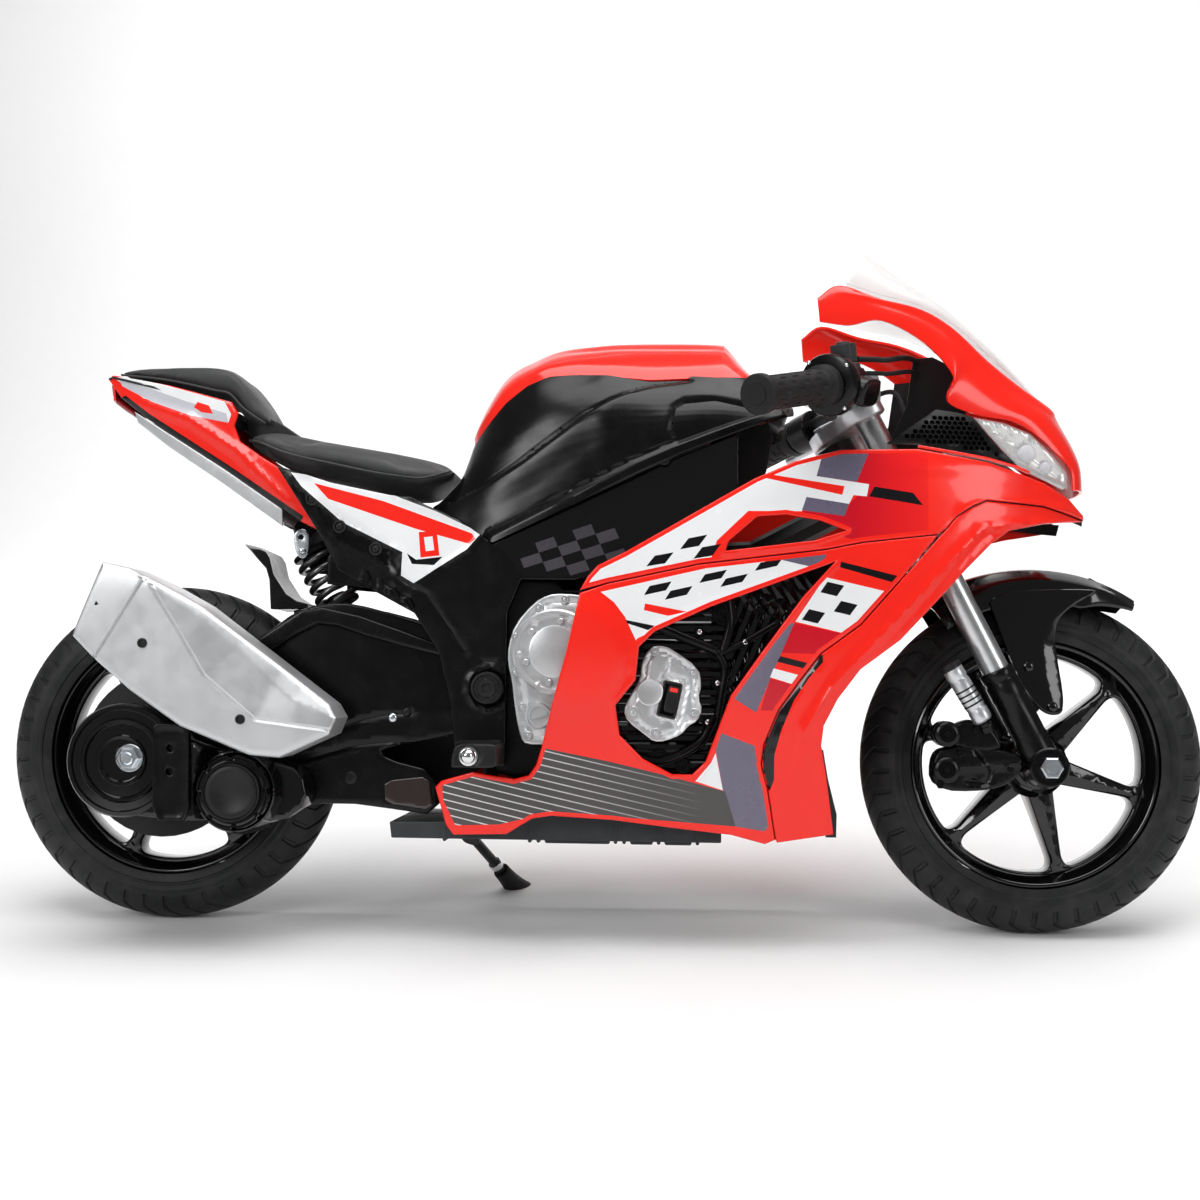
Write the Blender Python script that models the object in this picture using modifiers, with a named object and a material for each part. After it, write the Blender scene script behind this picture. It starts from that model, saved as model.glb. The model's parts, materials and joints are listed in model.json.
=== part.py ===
"""A child's ride-on electric sport motorcycle, resting on its side stand.

The bike is drawn upright in metres: X runs forward, Y to the bike's left and Z up, from the
ground midway between the axles. The empty "bike" then leans all of it onto the stand.
"""
import math

import bmesh
import bpy
from mathutils import Matrix, Vector

# Driving dimensions
WHEELBASE = 0.834
TYRE_RADIUS = 0.1625
TYRE_SECTION = 0.031
TYRE_WALL = 0.006
WHEEL_STEPS = 32
RIM_RADIUS = 0.1175
RIM_HALF_WIDTH = 0.0255
LEAN = math.radians(8.0)
RAKE = math.radians(27.0)
BOX_CENTRE_Y = 0.0671
GAP = 0.0004
SHELL = 0.003
THIN_SHELL = 0.0025
WALL = 0.004
REACH_THROUGH = 0.2

# Round parts that run across the bike or round the bars
AXLE_RADIUS = 0.0060
AXLE_BORE = 0.0064
HUB_BORE = 0.0066
NUT_RADIUS = 0.0105
NUT_HEIGHT = 0.0085
PIVOT_RADIUS = 0.0068
PIVOT_BORE = 0.0072
SPOKES = 6
SHAFT_RADIUS = 0.0040
SHAFT_BORE = 0.0046
BAR_RADIUS = 0.0090
BAR_BORE = 0.0093
CABLE_RADIUS = 0.0028

# Fork, in its own frame: origin on the front axle, Z up the fork, X square to it and forward
FORK_HALF_SPAN = 0.065
STEM_OFFSET = 0.028
TUBE_RADIUS = 0.0127
LEG_RADIUS = 0.0165
LEG_TOP = 0.100
TUBE_TOP = 0.378

# Body
BODY_HALF_WIDTH = 0.132
NOSE_START = 0.20
NOSE_LENGTH = 0.278
ARM_INNER = 0.050
ARM_OUTER = 0.077
ENGINE_HALF_WIDTH = 0.083

# Axis points
FRONT_AXLE = Vector((WHEELBASE / 2, 0, TYRE_RADIUS))
REAR_AXLE = Vector((-WHEELBASE / 2, 0, TYRE_RADIUS))
ARM_PIVOT = Vector((-0.099, 0, 0.229))
MOTOR_AXIS = Vector((-0.323, 0, 0.133))
PINION_RADIUS = 0.018
GEAR_INNER = -0.039
GEAR_OUTER = -0.047
MOTOR_RADIUS = 0.026
BAR_ROOT = Vector((0.212, -0.135, 0.505))
BAR_END = Vector((0.139, -0.235, 0.477))
STAND_PIVOT = Vector((-0.130, 0.047, 0.078))
STAND_FOOT = Vector((-0.0925, 0.125, 0.0176))
STAND_FOLDED = Vector((-0.93, 0.36, 0.0))
SWITCH_PLACE = Vector((0.071, -0.112, 0.221))
SWITCH_TILT = math.radians(12.0)

# Finishes: colour, roughness, metallic
RED = ((0.80, 0.03, 0.01), 0.2, 0.0)
BLACK = ((0.012, 0.012, 0.013), 0.4, 0.0)
RUBBER = ((0.02, 0.02, 0.021), 0.8, 0.0)
GREY = ((0.06, 0.06, 0.065), 0.6, 0.0)
SILVER = ((0.55, 0.56, 0.57), 0.35, 0.6)
ZINC = ((0.7, 0.72, 0.75), 0.25, 1.0)
SMOKE = ((0.8, 0.85, 0.88), 0.05, 0.0)
LAMP = ((0.9, 0.9, 0.9), 0.1, 0.0)


# --- Helpers -----------------------------------------------------------------------------

def start():
    for obj in list(bpy.data.objects):
        bpy.data.objects.remove(obj, do_unlink=True)
    groups = []
    for name in ("ride_on_motorcycle", "cutters"):
        group = bpy.data.collections.new(name)
        bpy.context.scene.collection.children.link(group)
        groups.append(group)
    return groups


PARTS, CUTTERS = start()


def add_axis(name, place, parent=None, turn=None):
    """An empty on a joint's axis; turn is its rotation matrix."""
    empty = bpy.data.objects.new(name, None)
    PARTS.objects.link(empty)
    empty.matrix_world = Matrix.Translation(place) @ (turn or Matrix.Identity(4))
    bpy.context.view_layer.update()
    if parent:
        hang(empty, parent)
    return empty


def hang(obj, parent):
    """Parent an object and keep it where it is."""
    obj.parent = parent
    obj.matrix_parent_inverse = parent.matrix_world.inverted()
    bpy.context.view_layer.update()


def paint(obj, finish):
    colour, roughness, metallic = finish
    material = bpy.data.materials.new(obj.name)
    material.use_nodes = True
    shader = material.node_tree.nodes["Principled BSDF"]
    shader.inputs["Base Color"].default_value = (*colour, 1.0)
    shader.inputs["Roughness"].default_value = roughness
    shader.inputs["Metallic"].default_value = metallic
    obj.data.materials.clear()
    obj.data.materials.append(material)


def piece(name, mesh, finish, parent):
    obj = bpy.data.objects.new(name, mesh)
    PARTS.objects.link(obj)
    hang(obj, parent)
    paint(obj, finish)
    return obj


def mesh_from(bm, name, place=None):
    if place:
        bmesh.ops.transform(bm, matrix=place, verts=bm.verts)
    mesh = bpy.data.meshes.new(name)
    bm.to_mesh(mesh)
    bm.free()
    return mesh


def smooth(obj, degrees=35):
    obj.data.shade_smooth()
    obj.data.set_sharp_from_angle(angle=math.radians(degrees))
    return obj


def boolean(obj, mesh, operation="DIFFERENCE"):
    """Cut, join or trim a piece with a hidden cutter made from a mesh."""
    cutter = bpy.data.objects.new(f"{obj.name}_{operation.lower()}_{len(obj.modifiers)}", mesh)
    CUTTERS.objects.link(cutter)
    hang(cutter, obj.parent)
    cutter.hide_render = True
    cutter.display_type = "WIRE"
    modifier = obj.modifiers.new(cutter.name, "BOOLEAN")
    modifier.operation = operation
    modifier.solver = "EXACT"
    modifier.object = cutter
    return obj


def along(start_point, end_point):
    """The matrix that puts local Z on the line between two points, with its origin at the first."""
    start_point = Vector(start_point)
    turn = (Vector(end_point) - start_point).to_track_quat("Z", "Y").to_matrix().to_4x4()
    return Matrix.Translation(start_point) @ turn


def box_mesh(low, high, bevel=0.0, place=None):
    bm = bmesh.new()
    size = [b - a for a, b in zip(low, high)]
    centre = [(a + b) / 2 for a, b in zip(low, high)]
    bmesh.ops.create_cube(bm, size=1.0, matrix=Matrix.Translation(centre) @ Matrix.Diagonal((*size, 1.0)))
    if bevel:
        bmesh.ops.bevel(bm, geom=bm.edges[:], offset=bevel, segments=1, affect="EDGES", clamp_overlap=True)
    return mesh_from(bm, "box", place)


def rod_mesh(start_point, end_point, radius, sides=16, end_radius=None):
    bm = bmesh.new()
    length = (Vector(end_point) - Vector(start_point)).length
    bmesh.ops.create_cone(bm, cap_ends=True, segments=sides, radius1=radius,
                          radius2=radius if end_radius is None else end_radius, depth=length,
                          matrix=Matrix.Translation((0, 0, length / 2)))
    return mesh_from(bm, "rod", along(start_point, end_point))


def cross_rod_mesh(centre, low_y, high_y, radius, sides=16):
    """A round bar across the bike, centred on an axis point."""
    return rod_mesh((centre.x, low_y, centre.z), (centre.x, high_y, centre.z), radius, sides)


def curve_mesh(curve, place):
    """A closed mesh from a curve's evaluated shape, with its caps welded on."""
    obj = bpy.data.objects.new("guide", curve)
    CUTTERS.objects.link(obj)
    bpy.context.view_layer.update()
    evaluated = obj.evaluated_get(bpy.context.evaluated_depsgraph_get())
    raw = bpy.data.meshes.new_from_object(evaluated)
    bpy.data.objects.remove(obj)
    bm = bmesh.new()
    bm.from_mesh(raw)
    bmesh.ops.remove_doubles(bm, verts=bm.verts, dist=0.00005)
    bmesh.ops.recalc_face_normals(bm, faces=bm.faces)
    return mesh_from(bm, "shape", place)


def prism_mesh(outlines, low_y, high_y):
    """Side-view outlines of (x, z) points, the later ones being holes, made solid across Y."""
    curve = bpy.data.curves.new("outline", "CURVE")
    curve.dimensions = "2D"
    curve.fill_mode = "BOTH"
    curve.extrude = (high_y - low_y) / 2
    for points in outlines:
        spline = curve.splines.new("POLY")
        spline.points.add(len(points) - 1)
        for target, (x, z) in zip(spline.points, points):
            target.co = (x, z, 0, 1)
        spline.use_cyclic_u = True
    turn = Matrix.Rotation(math.radians(90), 4, "X")
    return curve_mesh(curve, Matrix.Translation((0, (low_y + high_y) / 2, 0)) @ turn)


def tube_mesh(points, radius, resolution=2, place=None):
    curve = bpy.data.curves.new("path", "CURVE")
    curve.dimensions = "3D"
    curve.bevel_depth = radius
    curve.bevel_resolution = resolution
    curve.use_fill_caps = True
    spline = curve.splines.new("POLY")
    spline.points.add(len(points) - 1)
    for target, point in zip(spline.points, points):
        target.co = (*point, 1)
    return curve_mesh(curve, place)


def smooth_path(points, per_span):
    """Points along the Catmull-Rom curve through a route."""
    guide = [Vector(p) for p in points]
    guide = [2 * guide[0] - guide[1]] + guide + [2 * guide[-1] - guide[-2]]
    path = []
    for a, b, c, d in zip(guide, guide[1:], guide[2:], guide[3:]):
        for step in range(per_span):
            t = step / per_span
            path.append(0.5 * (2 * b + (c - a) * t + (2 * a - 5 * b + 4 * c - d) * t * t
                               + (3 * b - a - 3 * c + d) * t ** 3))
    path.append(guide[-2])
    return path


def turned(name, profile, finish, parent, place, steps=20):
    """A Screw of an open (r, h) profile that starts and ends on the axis."""
    obj = profile_object(name, profile, False, finish, parent, place)
    return screw(obj, steps)


def turned_ring(name, profile, finish, parent, place, steps=20):
    """A Screw of a closed (r, h) profile."""
    obj = profile_object(name, profile, True, finish, parent, place)
    return screw(obj, steps)


def profile_object(name, profile, closed, finish, parent, place):
    bm = bmesh.new()
    verts = [bm.verts.new((r, 0, h)) for r, h in profile]
    for a, b in zip(verts, verts[1:]):
        bm.edges.new((a, b))
    if closed:
        bm.edges.new((verts[-1], verts[0]))
    obj = bpy.data.objects.new(name, mesh_from(bm, name))
    PARTS.objects.link(obj)
    obj.matrix_world = place
    bpy.context.view_layer.update()
    hang(obj, parent)
    paint(obj, finish)
    return obj


def screw(obj, steps):
    modifier = obj.modifiers.new("turn", "SCREW")
    modifier.steps = steps
    modifier.render_steps = steps
    modifier.use_merge_vertices = True
    modifier.merge_threshold = 0.0001
    return obj


def across(point, side=-1):
    """A frame at a point with its Z across the bike, to the right for side -1."""
    return Matrix.Translation(point) @ Matrix.Rotation(math.radians(-90 * side), 4, "X")


def loft_mesh(rings, closed=True, caps=True, back=False):
    """Faces between unlike cross-sections that have the same number of points."""
    bm = bmesh.new()
    rows = [[bm.verts.new(point) for point in ring] for ring in rings]
    for near, far in zip(rows, rows[1:]):
        for i in range(len(near) if closed else len(near) - 1):
            j = (i + 1) % len(near)
            bm.faces.new((near[i], near[j], far[j], far[i]))
    if caps or back:
        bm.faces.new(rows[0])
    if caps:
        bm.faces.new(rows[-1])
    bmesh.ops.remove_doubles(bm, verts=bm.verts, dist=0.00005)
    bmesh.ops.recalc_face_normals(bm, faces=bm.faces)
    return mesh_from(bm, "loft")


def solidify(obj, thickness=SHELL):
    modifier = obj.modifiers.new("wall", "SOLIDIFY")
    modifier.thickness = thickness
    modifier.offset = -1.0
    modifier.use_even_offset = True
    return obj


def mirrored(outline):
    """The same (x, y, z) points on the bike's other side, in reverse order."""
    return [(x, -y, z) for x, y, z in reversed(outline)]


def arc(centre, radius, start_angle, end_angle, steps):
    """Points on an arc in side view; the angles are in degrees."""
    points = []
    for i in range(steps + 1):
        angle = math.radians(start_angle + (end_angle - start_angle) * i / steps)
        points.append((centre[0] + radius * math.cos(angle), centre[1] + radius * math.sin(angle)))
    return points


def shifted(points, dx, dz):
    return [(x + dx, z + dz) for x, z in points]


def inset(points, distance):
    """An open run of side-view points moved towards its right-hand side."""
    moved = []
    for i, (x, z) in enumerate(points):
        before = Vector(points[max(i - 1, 0)])
        after = Vector(points[min(i + 1, len(points) - 1)])
        run = (after - before).normalized()
        moved.append((x + run.y * distance, z - run.x * distance))
    return moved


def fairing_half_width(x, z):
    """How far the fairing's skin stands from the middle plane."""
    width = BODY_HALF_WIDTH
    if x > NOSE_START:
        width *= math.sqrt(max(0.0, 1 - ((x - NOSE_START) / NOSE_LENGTH) ** 2))
    if x < 0:
        width *= 1 - 0.12 * (x / 0.14) ** 2
    if z < 0.36:
        width *= 1 - 0.25 * ((0.36 - z) / 0.26) ** 1.6
    if z > 0.40:
        width *= 1 - 0.12 * ((z - 0.40) / 0.07) ** 2
    return width


def side_half_width(x, z):
    """How far the black side panels stand from the middle plane."""
    return 0.083 + 0.04 * (x + 0.3) + 0.02 * max(0.0, 0.30 - z)


def panel(name, half_width, outlines, side, finish, parent, cell=0.045):
    """A curved sheet over the side of the bike, trimmed to a side-view outline."""
    xs = [x for x, _ in outlines[0]]
    zs = [z for _, z in outlines[0]]
    low = (min(xs) - 0.004, min(zs) - 0.004)
    high = (max(xs) + 0.004, max(zs) + 0.004)
    bm = bmesh.new()
    bmesh.ops.create_grid(bm, x_segments=max(2, round((high[0] - low[0]) / cell)),
                          y_segments=max(2, round((high[1] - low[1]) / cell)), size=0.5)
    for vert in bm.verts:
        x = low[0] + (vert.co.x + 0.5) * (high[0] - low[0])
        z = low[1] + (vert.co.y + 0.5) * (high[1] - low[1])
        vert.co = (x, side * half_width(x, z), z)
    if side > 0:
        bmesh.ops.reverse_faces(bm, faces=bm.faces)
    obj = piece(name, mesh_from(bm, name), finish, parent)
    solidify(obj)
    low, high = sorted((side * REACH_THROUGH, side * 0.004))
    boolean(obj, prism_mesh(outlines, low, high), "INTERSECT")
    return smooth(obj)


# --- Axes --------------------------------------------------------------------------------

FORK_TURN = Matrix.Rotation(-RAKE, 4, "Y")
FORK = Matrix.Translation(FRONT_AXLE) @ FORK_TURN
STEM_POINT = FORK @ Vector((-STEM_OFFSET, 0, 0.30))
BAR_TURN = (BAR_END - BAR_ROOT).to_track_quat("Z", "Y").to_matrix().to_4x4()
BAR = Matrix.Translation(BAR_ROOT) @ BAR_TURN
LEFT_BAR_ROOT = Vector((BAR_ROOT.x, -BAR_ROOT.y, BAR_ROOT.z))
LEFT_BAR_END = Vector((BAR_END.x, -BAR_END.y, BAR_END.z))
LEFT_BAR = along(LEFT_BAR_ROOT, LEFT_BAR_END)
LEVER_PIVOT = LEFT_BAR_ROOT + Vector((0.036, 0.0, 0.004))
STAND_AXIS = (STAND_FOOT - STAND_PIVOT).cross(STAND_FOLDED).normalized()

BIKE = add_axis("bike", (0, 0, 0))
STEER = add_axis("steering_axis", STEM_POINT, BIKE, FORK_TURN)
SLIDE = add_axis("fork_slide_axis", FRONT_AXLE, STEER, FORK_TURN)
FRONT = add_axis("front_wheel_axis", FRONT_AXLE, SLIDE)
ARM = add_axis("swingarm_axis", ARM_PIVOT, BIKE)
REAR = add_axis("rear_wheel_axis", REAR_AXLE, ARM)
PINION = add_axis("pinion_axis", MOTOR_AXIS, ARM)
TWIST = add_axis("throttle_axis", BAR_ROOT, STEER, BAR_TURN)
LEVER = add_axis("lever_axis", LEVER_PIVOT, STEER)
STAND = add_axis("stand_axis", STAND_PIVOT, BIKE, STAND_AXIS.to_track_quat("Z", "Y").to_matrix().to_4x4())
ROCKER = add_axis("rocker_axis", SWITCH_PLACE, BIKE, Matrix.Rotation(SWITCH_TILT, 4, "Y"))


# --- Wheels ------------------------------------------------------------------------------

def wheel(prefix, axis, centre, first_spoke):
    place = across(centre)
    crown = RIM_RADIUS + 0.014
    bead = math.degrees(math.acos((RIM_RADIUS + GAP - crown) / TYRE_SECTION))
    section = arc((crown, 0), TYRE_SECTION, bead, -bead, 8)
    section += arc((crown, 0), TYRE_SECTION - TYRE_WALL, -bead, bead, 5)
    smooth(turned_ring(f"{prefix}_tyre", section, RUBBER, axis, place, WHEEL_STEPS), 50)
    ring = [(RIM_RADIUS, RIM_HALF_WIDTH), (RIM_RADIUS, -RIM_HALF_WIDTH), (0.109, -RIM_HALF_WIDTH),
            (0.104, -0.012), (0.104, 0.012), (0.109, RIM_HALF_WIDTH)]
    rim = turned_ring(f"{prefix}_rim", ring, BLACK, axis, place, WHEEL_STEPS)
    boolean(rim, cross_rod_mesh(centre, -0.034, 0.034, 0.0265), "UNION")
    for spoke in range(SPOKES):
        boolean(rim, spoke_mesh(centre, first_spoke + spoke * math.tau / SPOKES), "UNION")
    boolean(rim, cross_rod_mesh(centre, -REACH_THROUGH, REACH_THROUGH, HUB_BORE, 16))
    smooth(rim)


def spoke_mesh(centre, angle):
    """A tapered arm, wide at the hub and narrow at the rim."""
    place = Matrix.Translation(centre) @ Matrix.Rotation(-angle, 4, "Y")
    bm = bmesh.new()
    bmesh.ops.create_cube(bm, size=1.0)
    for vert in bm.verts:
        outer = vert.co.x > 0
        vert.co.x = 0.1062 if outer else 0.0125
        vert.co.y *= 0.026 if outer else 0.044
        vert.co.z *= 0.013 if outer else 0.027
    return mesh_from(bm, "spoke", place)


def axle(name, parent, centre, low_y, high_y, finish):
    """A bar with a nut on each end; the y values are the nuts' inner faces."""
    end = NUT_HEIGHT + 0.0005
    obj = piece(name, cross_rod_mesh(centre, low_y - end, high_y + end, AXLE_RADIUS, 16), finish, parent)
    for y in (low_y - NUT_HEIGHT, high_y):
        boolean(obj, cross_rod_mesh(centre, y, y + NUT_HEIGHT, NUT_RADIUS, 6), "UNION")


def front_wheel():
    wheel("front", FRONT, FRONT_AXLE, math.radians(44.3))
    axle("front_axle", SLIDE, FRONT_AXLE, -0.0845, 0.0845, ZINC)


def rear_wheel():
    wheel("rear", REAR, REAR_AXLE, math.radians(7.2))
    reach = (MOTOR_AXIS - REAR_AXLE).length - PINION_RADIUS - GAP
    disc = cross_rod_mesh(REAR_AXLE, GEAR_OUTER, GEAR_INNER, reach, 40)
    gear = piece("drive_gear", disc, GREY, REAR)
    boolean(gear, cross_rod_mesh(REAR_AXLE, -REACH_THROUGH, REACH_THROUGH, HUB_BORE, 16))
    disc = cross_rod_mesh(MOTOR_AXIS, GEAR_OUTER, GEAR_INNER, PINION_RADIUS, 24)
    pinion = piece("motor_pinion", disc, GREY, PINION)
    boolean(pinion, cross_rod_mesh(MOTOR_AXIS, -0.0795, GEAR_INNER - 0.001, SHAFT_RADIUS, 12), "UNION")
    axle("rear_axle", ARM, REAR_AXLE, -0.1405, 0.0775, ZINC)


# --- Fork and steering -------------------------------------------------------------------

def fork_rod(x, y, low, high, radius, sides=16):
    return rod_mesh(FORK @ Vector((x, y, low)), FORK @ Vector((x, y, high)), radius, sides)


def fork_box(low, high, bevel=0.0):
    return box_mesh(low, high, bevel, FORK)


def fork_side(side, label):
    tube = piece(f"fork_tube_{label}", fork_rod(0, side * FORK_HALF_SPAN, 0.052, TUBE_TOP, TUBE_RADIUS),
                 SILVER, STEER)
    smooth(tube)
    bore = TUBE_RADIUS + GAP
    cup = [(0, 0.022), (bore, 0.022), (bore, LEG_TOP), (LEG_RADIUS, LEG_TOP), (LEG_RADIUS, -0.014),
           (0, -0.014)]
    place = FORK @ Matrix.Translation((0, side * FORK_HALF_SPAN, 0))
    leg = turned(f"fork_leg_{label}", cup, BLACK, SLIDE, place)
    low, high = sorted((side * 0.046, side * 0.084))
    boolean(leg, cross_rod_mesh(FRONT_AXLE, low, high, 0.022, 24), "UNION")
    boolean(leg, cross_rod_mesh(FRONT_AXLE, -REACH_THROUGH, REACH_THROUGH, AXLE_BORE, 16))
    smooth(leg)


def yokes():
    plate = fork_box((-0.045, -0.084, 0.248), (0.018, 0.084, 0.266), 0.003)
    stem = piece("steering_stem", plate, BLACK, STEER)
    boolean(stem, fork_rod(-STEM_OFFSET, 0, 0.255, 0.3615, 0.010), "UNION")
    plate = fork_box((-0.046, -0.084, 0.362), (0.019, 0.084, 0.376), 0.003)
    top = piece("upper_yoke", plate, GREY, STEER)
    for yoke, low, high in ((stem, 0.24, 0.28), (top, 0.35, 0.39)):
        for side in (-1, 1):
            boolean(yoke, fork_rod(0, side * FORK_HALF_SPAN, low, high, TUBE_RADIUS + GAP))
    for side in (-1, 1):
        low, high = sorted((side * 0.022, side * 0.044))
        boolean(top, box_mesh((0.236, low, 0.492), (0.268, high, 0.537)), "UNION")
    boolean(top, tube_mesh(bar_route(), BAR_BORE))


def bar_route():
    """The handlebar's centre line, from the right end to the left end."""
    right = [BAR_END, BAR_ROOT, Vector((0.244, -0.080, 0.520)), Vector((0.252, -0.050, 0.523))]
    left = [Vector((p.x, -p.y, p.z)) for p in reversed(right)]
    return right + left


def bars():
    smooth(piece("handlebar", tube_mesh(bar_route(), BAR_RADIUS), BLACK, STEER))
    housing = [(BAR_BORE, 0.010), (0.030, 0.010), (0.031, -0.004), (0.024, -0.010), (0.020, -0.026),
               (BAR_BORE, -0.026)]
    case = smooth(turned_ring("throttle_housing", housing, BLACK, STEER, BAR))
    grip("throttle_grip", TWIST, BAR)
    grip("left_grip", STEER, LEFT_BAR)
    perch = [(BAR_BORE, 0.009), (0.020, 0.009), (0.020, -0.018), (BAR_BORE, -0.018)]
    clamp = turned_ring("brake_perch", perch, BLACK, STEER, LEFT_BAR, 16)
    boolean(clamp, box_mesh((-0.020, -0.007, -0.011), (0.009, 0.007, -0.0045), 0,
                            Matrix.Translation(LEVER_PIVOT)), "UNION")
    for obj in (clamp, case):
        boolean(obj, tube_mesh(bar_route(), BAR_BORE))
    lever()


def grip(name, parent, place):
    """A rubber sleeve with a thick inner collar and a round end flange."""
    end = (BAR_END - BAR_ROOT).length
    bore = BAR_RADIUS + GAP
    profile = [(bore, end), (0.0175, end), (0.0175, end - 0.008), (0.0140, end - 0.010), (0.0150, 0.024),
               (0.0190, 0.022), (0.0190, 0.012), (bore, 0.012)]
    smooth(turned_ring(name, profile, RUBBER, parent, place), 50)


def lever():
    """The brake lever runs out in front of the left grip."""
    outward = (LEFT_BAR_END - LEFT_BAR_ROOT).normalized()
    tip = LEVER_PIVOT + outward * 0.105 + Vector((0.012, 0, 0))
    middle = LEVER_PIVOT + outward * 0.045 + Vector((0.010, 0, 0))
    route = [LEVER_PIVOT + Vector((0, 0, 0.004)), middle, tip]
    obj = piece("brake_lever", tube_mesh(route, 0.0045, 1), SILVER, LEVER)
    eye_low = LEVER_PIVOT - Vector((0, 0, 0.0025))
    eye_high = LEVER_PIVOT + Vector((0, 0, 0.009))
    boolean(obj, rod_mesh(eye_low, eye_high, 0.009, 12), "UNION")


def cables():
    """The throttle lead and the brake cable, joined where a clip holds them in front of the stem."""
    clip_low = FORK @ Vector((0.034, 0, 0.268))
    meet = FORK @ Vector((0.034, 0, 0.290))
    throttle = [BAR @ Vector((0.012, 0.020, -0.029)), (0.262, -0.100, 0.535), (0.300, -0.060, 0.540),
                (0.310, -0.030, 0.490), meet]
    brake = [LEFT_BAR @ Vector((0.0, 0.012, -0.022)), (0.262, 0.100, 0.530), (0.296, 0.060, 0.535),
             (0.306, 0.030, 0.490), meet]
    obj = piece("control_cables", tube_mesh(smooth_path(throttle, 4), CABLE_RADIUS, 1), BLACK, STEER)
    boolean(obj, tube_mesh(smooth_path(brake, 4), CABLE_RADIUS, 1), "UNION")
    boolean(obj, rod_mesh(meet, clip_low, 0.006, 10), "UNION")


def fender():
    """A curved guard over the front tyre, with two arms down to the fork legs."""
    section = [(0.155, 0.0445), (0.175, 0.040), (0.185, 0.022), (0.187, 0.0), (0.185, -0.022),
               (0.175, -0.040), (0.155, -0.0445)]
    front_edge = math.radians(58)
    sweep = math.radians(66)
    steps = 8
    rings = []
    for step in range(steps + 1):
        angle = front_edge + sweep * step / steps
        outward = Vector((math.cos(angle), 0, math.sin(angle)))
        rings.append([FRONT_AXLE + outward * r + Vector((0, y, 0)) for r, y in section])
    obj = piece("front_fender", loft_mesh(rings, False, False), BLACK, SLIDE)
    solidify(obj, THIN_SHELL)
    arm_outline = [(0.385, 0.325), (0.384, 0.280), (0.406, 0.224), (0.424, 0.208), (0.440, 0.213),
                   (0.437, 0.280), (0.462, 0.322)]
    for low, high in ((-0.0480, -0.0430), (0.0430, 0.0480)):
        boolean(obj, prism_mesh([arm_outline], low, high), "UNION")
    tip = [(0.470, 0.340), (0.500, 0.329), (0.470, 0.331)]
    boolean(obj, prism_mesh([tip], -0.020, 0.020), "UNION")
    smooth(obj)


def caliper():
    """The dummy brake caliper and its oil bottle behind the right fork leg."""
    body = [(0.313, 0.204), (0.345, 0.208), (0.366, 0.196), (0.382, 0.184), (0.388, 0.150), (0.370, 0.141),
            (0.311, 0.141)]
    bottle = [(0.319, 0.250), (0.334, 0.258), (0.364, 0.210), (0.350, 0.198)]
    obj = piece("brake_caliper", prism_mesh([body], -0.082, -0.052), BLACK, SLIDE)
    boolean(obj, prism_mesh([bottle], -0.095, -0.076), "UNION")


# --- Frame, running gear and rear end ----------------------------------------------------

def frame():
    """Head tube, spine, swingarm lug, seat rail and stand bracket, welded into one."""
    head_low = FORK @ Vector((-STEM_OFFSET, 0, 0.2685))
    head_high = FORK @ Vector((-STEM_OFFSET, 0, 0.3600))
    obj = piece("frame_spine", rod_mesh(head_low, head_high, 0.018, 20), BLACK, BIKE)
    neck = FORK @ Vector((-STEM_OFFSET - 0.006, 0, 0.30))
    knee = Vector((-0.030, 0, 0.350))
    spine = [neck, Vector((0.150, 0, 0.362)), knee, Vector((-0.100, 0, 0.330)), ARM_PIVOT]
    boolean(obj, tube_mesh(spine, 0.014), "UNION")
    boolean(obj, cross_rod_mesh(ARM_PIVOT, -0.044, 0.044, 0.020), "UNION")
    seat_rail = [knee, Vector((-0.200, 0, 0.372)), Vector((-0.300, 0, 0.412)), Vector((-0.400, 0, 0.478))]
    boolean(obj, tube_mesh(seat_rail, 0.010), "UNION")
    boolean(obj, rod_mesh((-0.262, 0, 0.396), (-0.2885, 0, 0.3665), 0.011, 12), "UNION")
    stand_strut = [ARM_PIVOT, Vector((-0.112, 0.030, 0.120)), STAND_PIVOT + Vector((0, 0, 0.003))]
    boolean(obj, tube_mesh(stand_strut, 0.009), "UNION")
    head_length = head_high - head_low
    boolean(obj, rod_mesh(head_low - head_length, head_high + head_length, 0.0106))
    boolean(obj, cross_rod_mesh(ARM_PIVOT, -REACH_THROUGH, REACH_THROUGH, PIVOT_BORE, 16))
    stand_slot = box_mesh((-0.022, -0.022, -0.0055), (0.022, 0.022, 0.0055), 0, STAND.matrix_world.copy())
    boolean(obj, stand_slot)


def kickstand():
    direction = (STAND_FOOT - STAND_PIVOT).normalized()
    shaft = [STAND_PIVOT + direction * 0.002, STAND_PIVOT + direction * 0.083]
    leg = piece("kickstand_leg", tube_mesh(shaft, 0.0050), BLACK, STAND)
    eye = STAND_AXIS * 0.0050
    boolean(leg, rod_mesh(STAND_PIVOT - eye, STAND_PIVOT + eye, 0.0095, 16), "UNION")
    flare = [STAND_PIVOT + direction * distance for distance in (0.070, 0.130)]
    foot = piece("kickstand_foot", rod_mesh(*flare, 0.0085, 16, 0.0160), RUBBER, STAND)
    socket = [STAND_PIVOT + direction * distance for distance in (0.060, 0.0834)]
    boolean(foot, rod_mesh(*socket, 0.0054, 16))
    ground = box_mesh((-0.3, -0.3, -0.2), (0.3, 0.4, 0.0), 0, Matrix.Rotation(LEAN, 4, "X"))
    boolean(foot, ground)
    smooth(foot)


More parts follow.
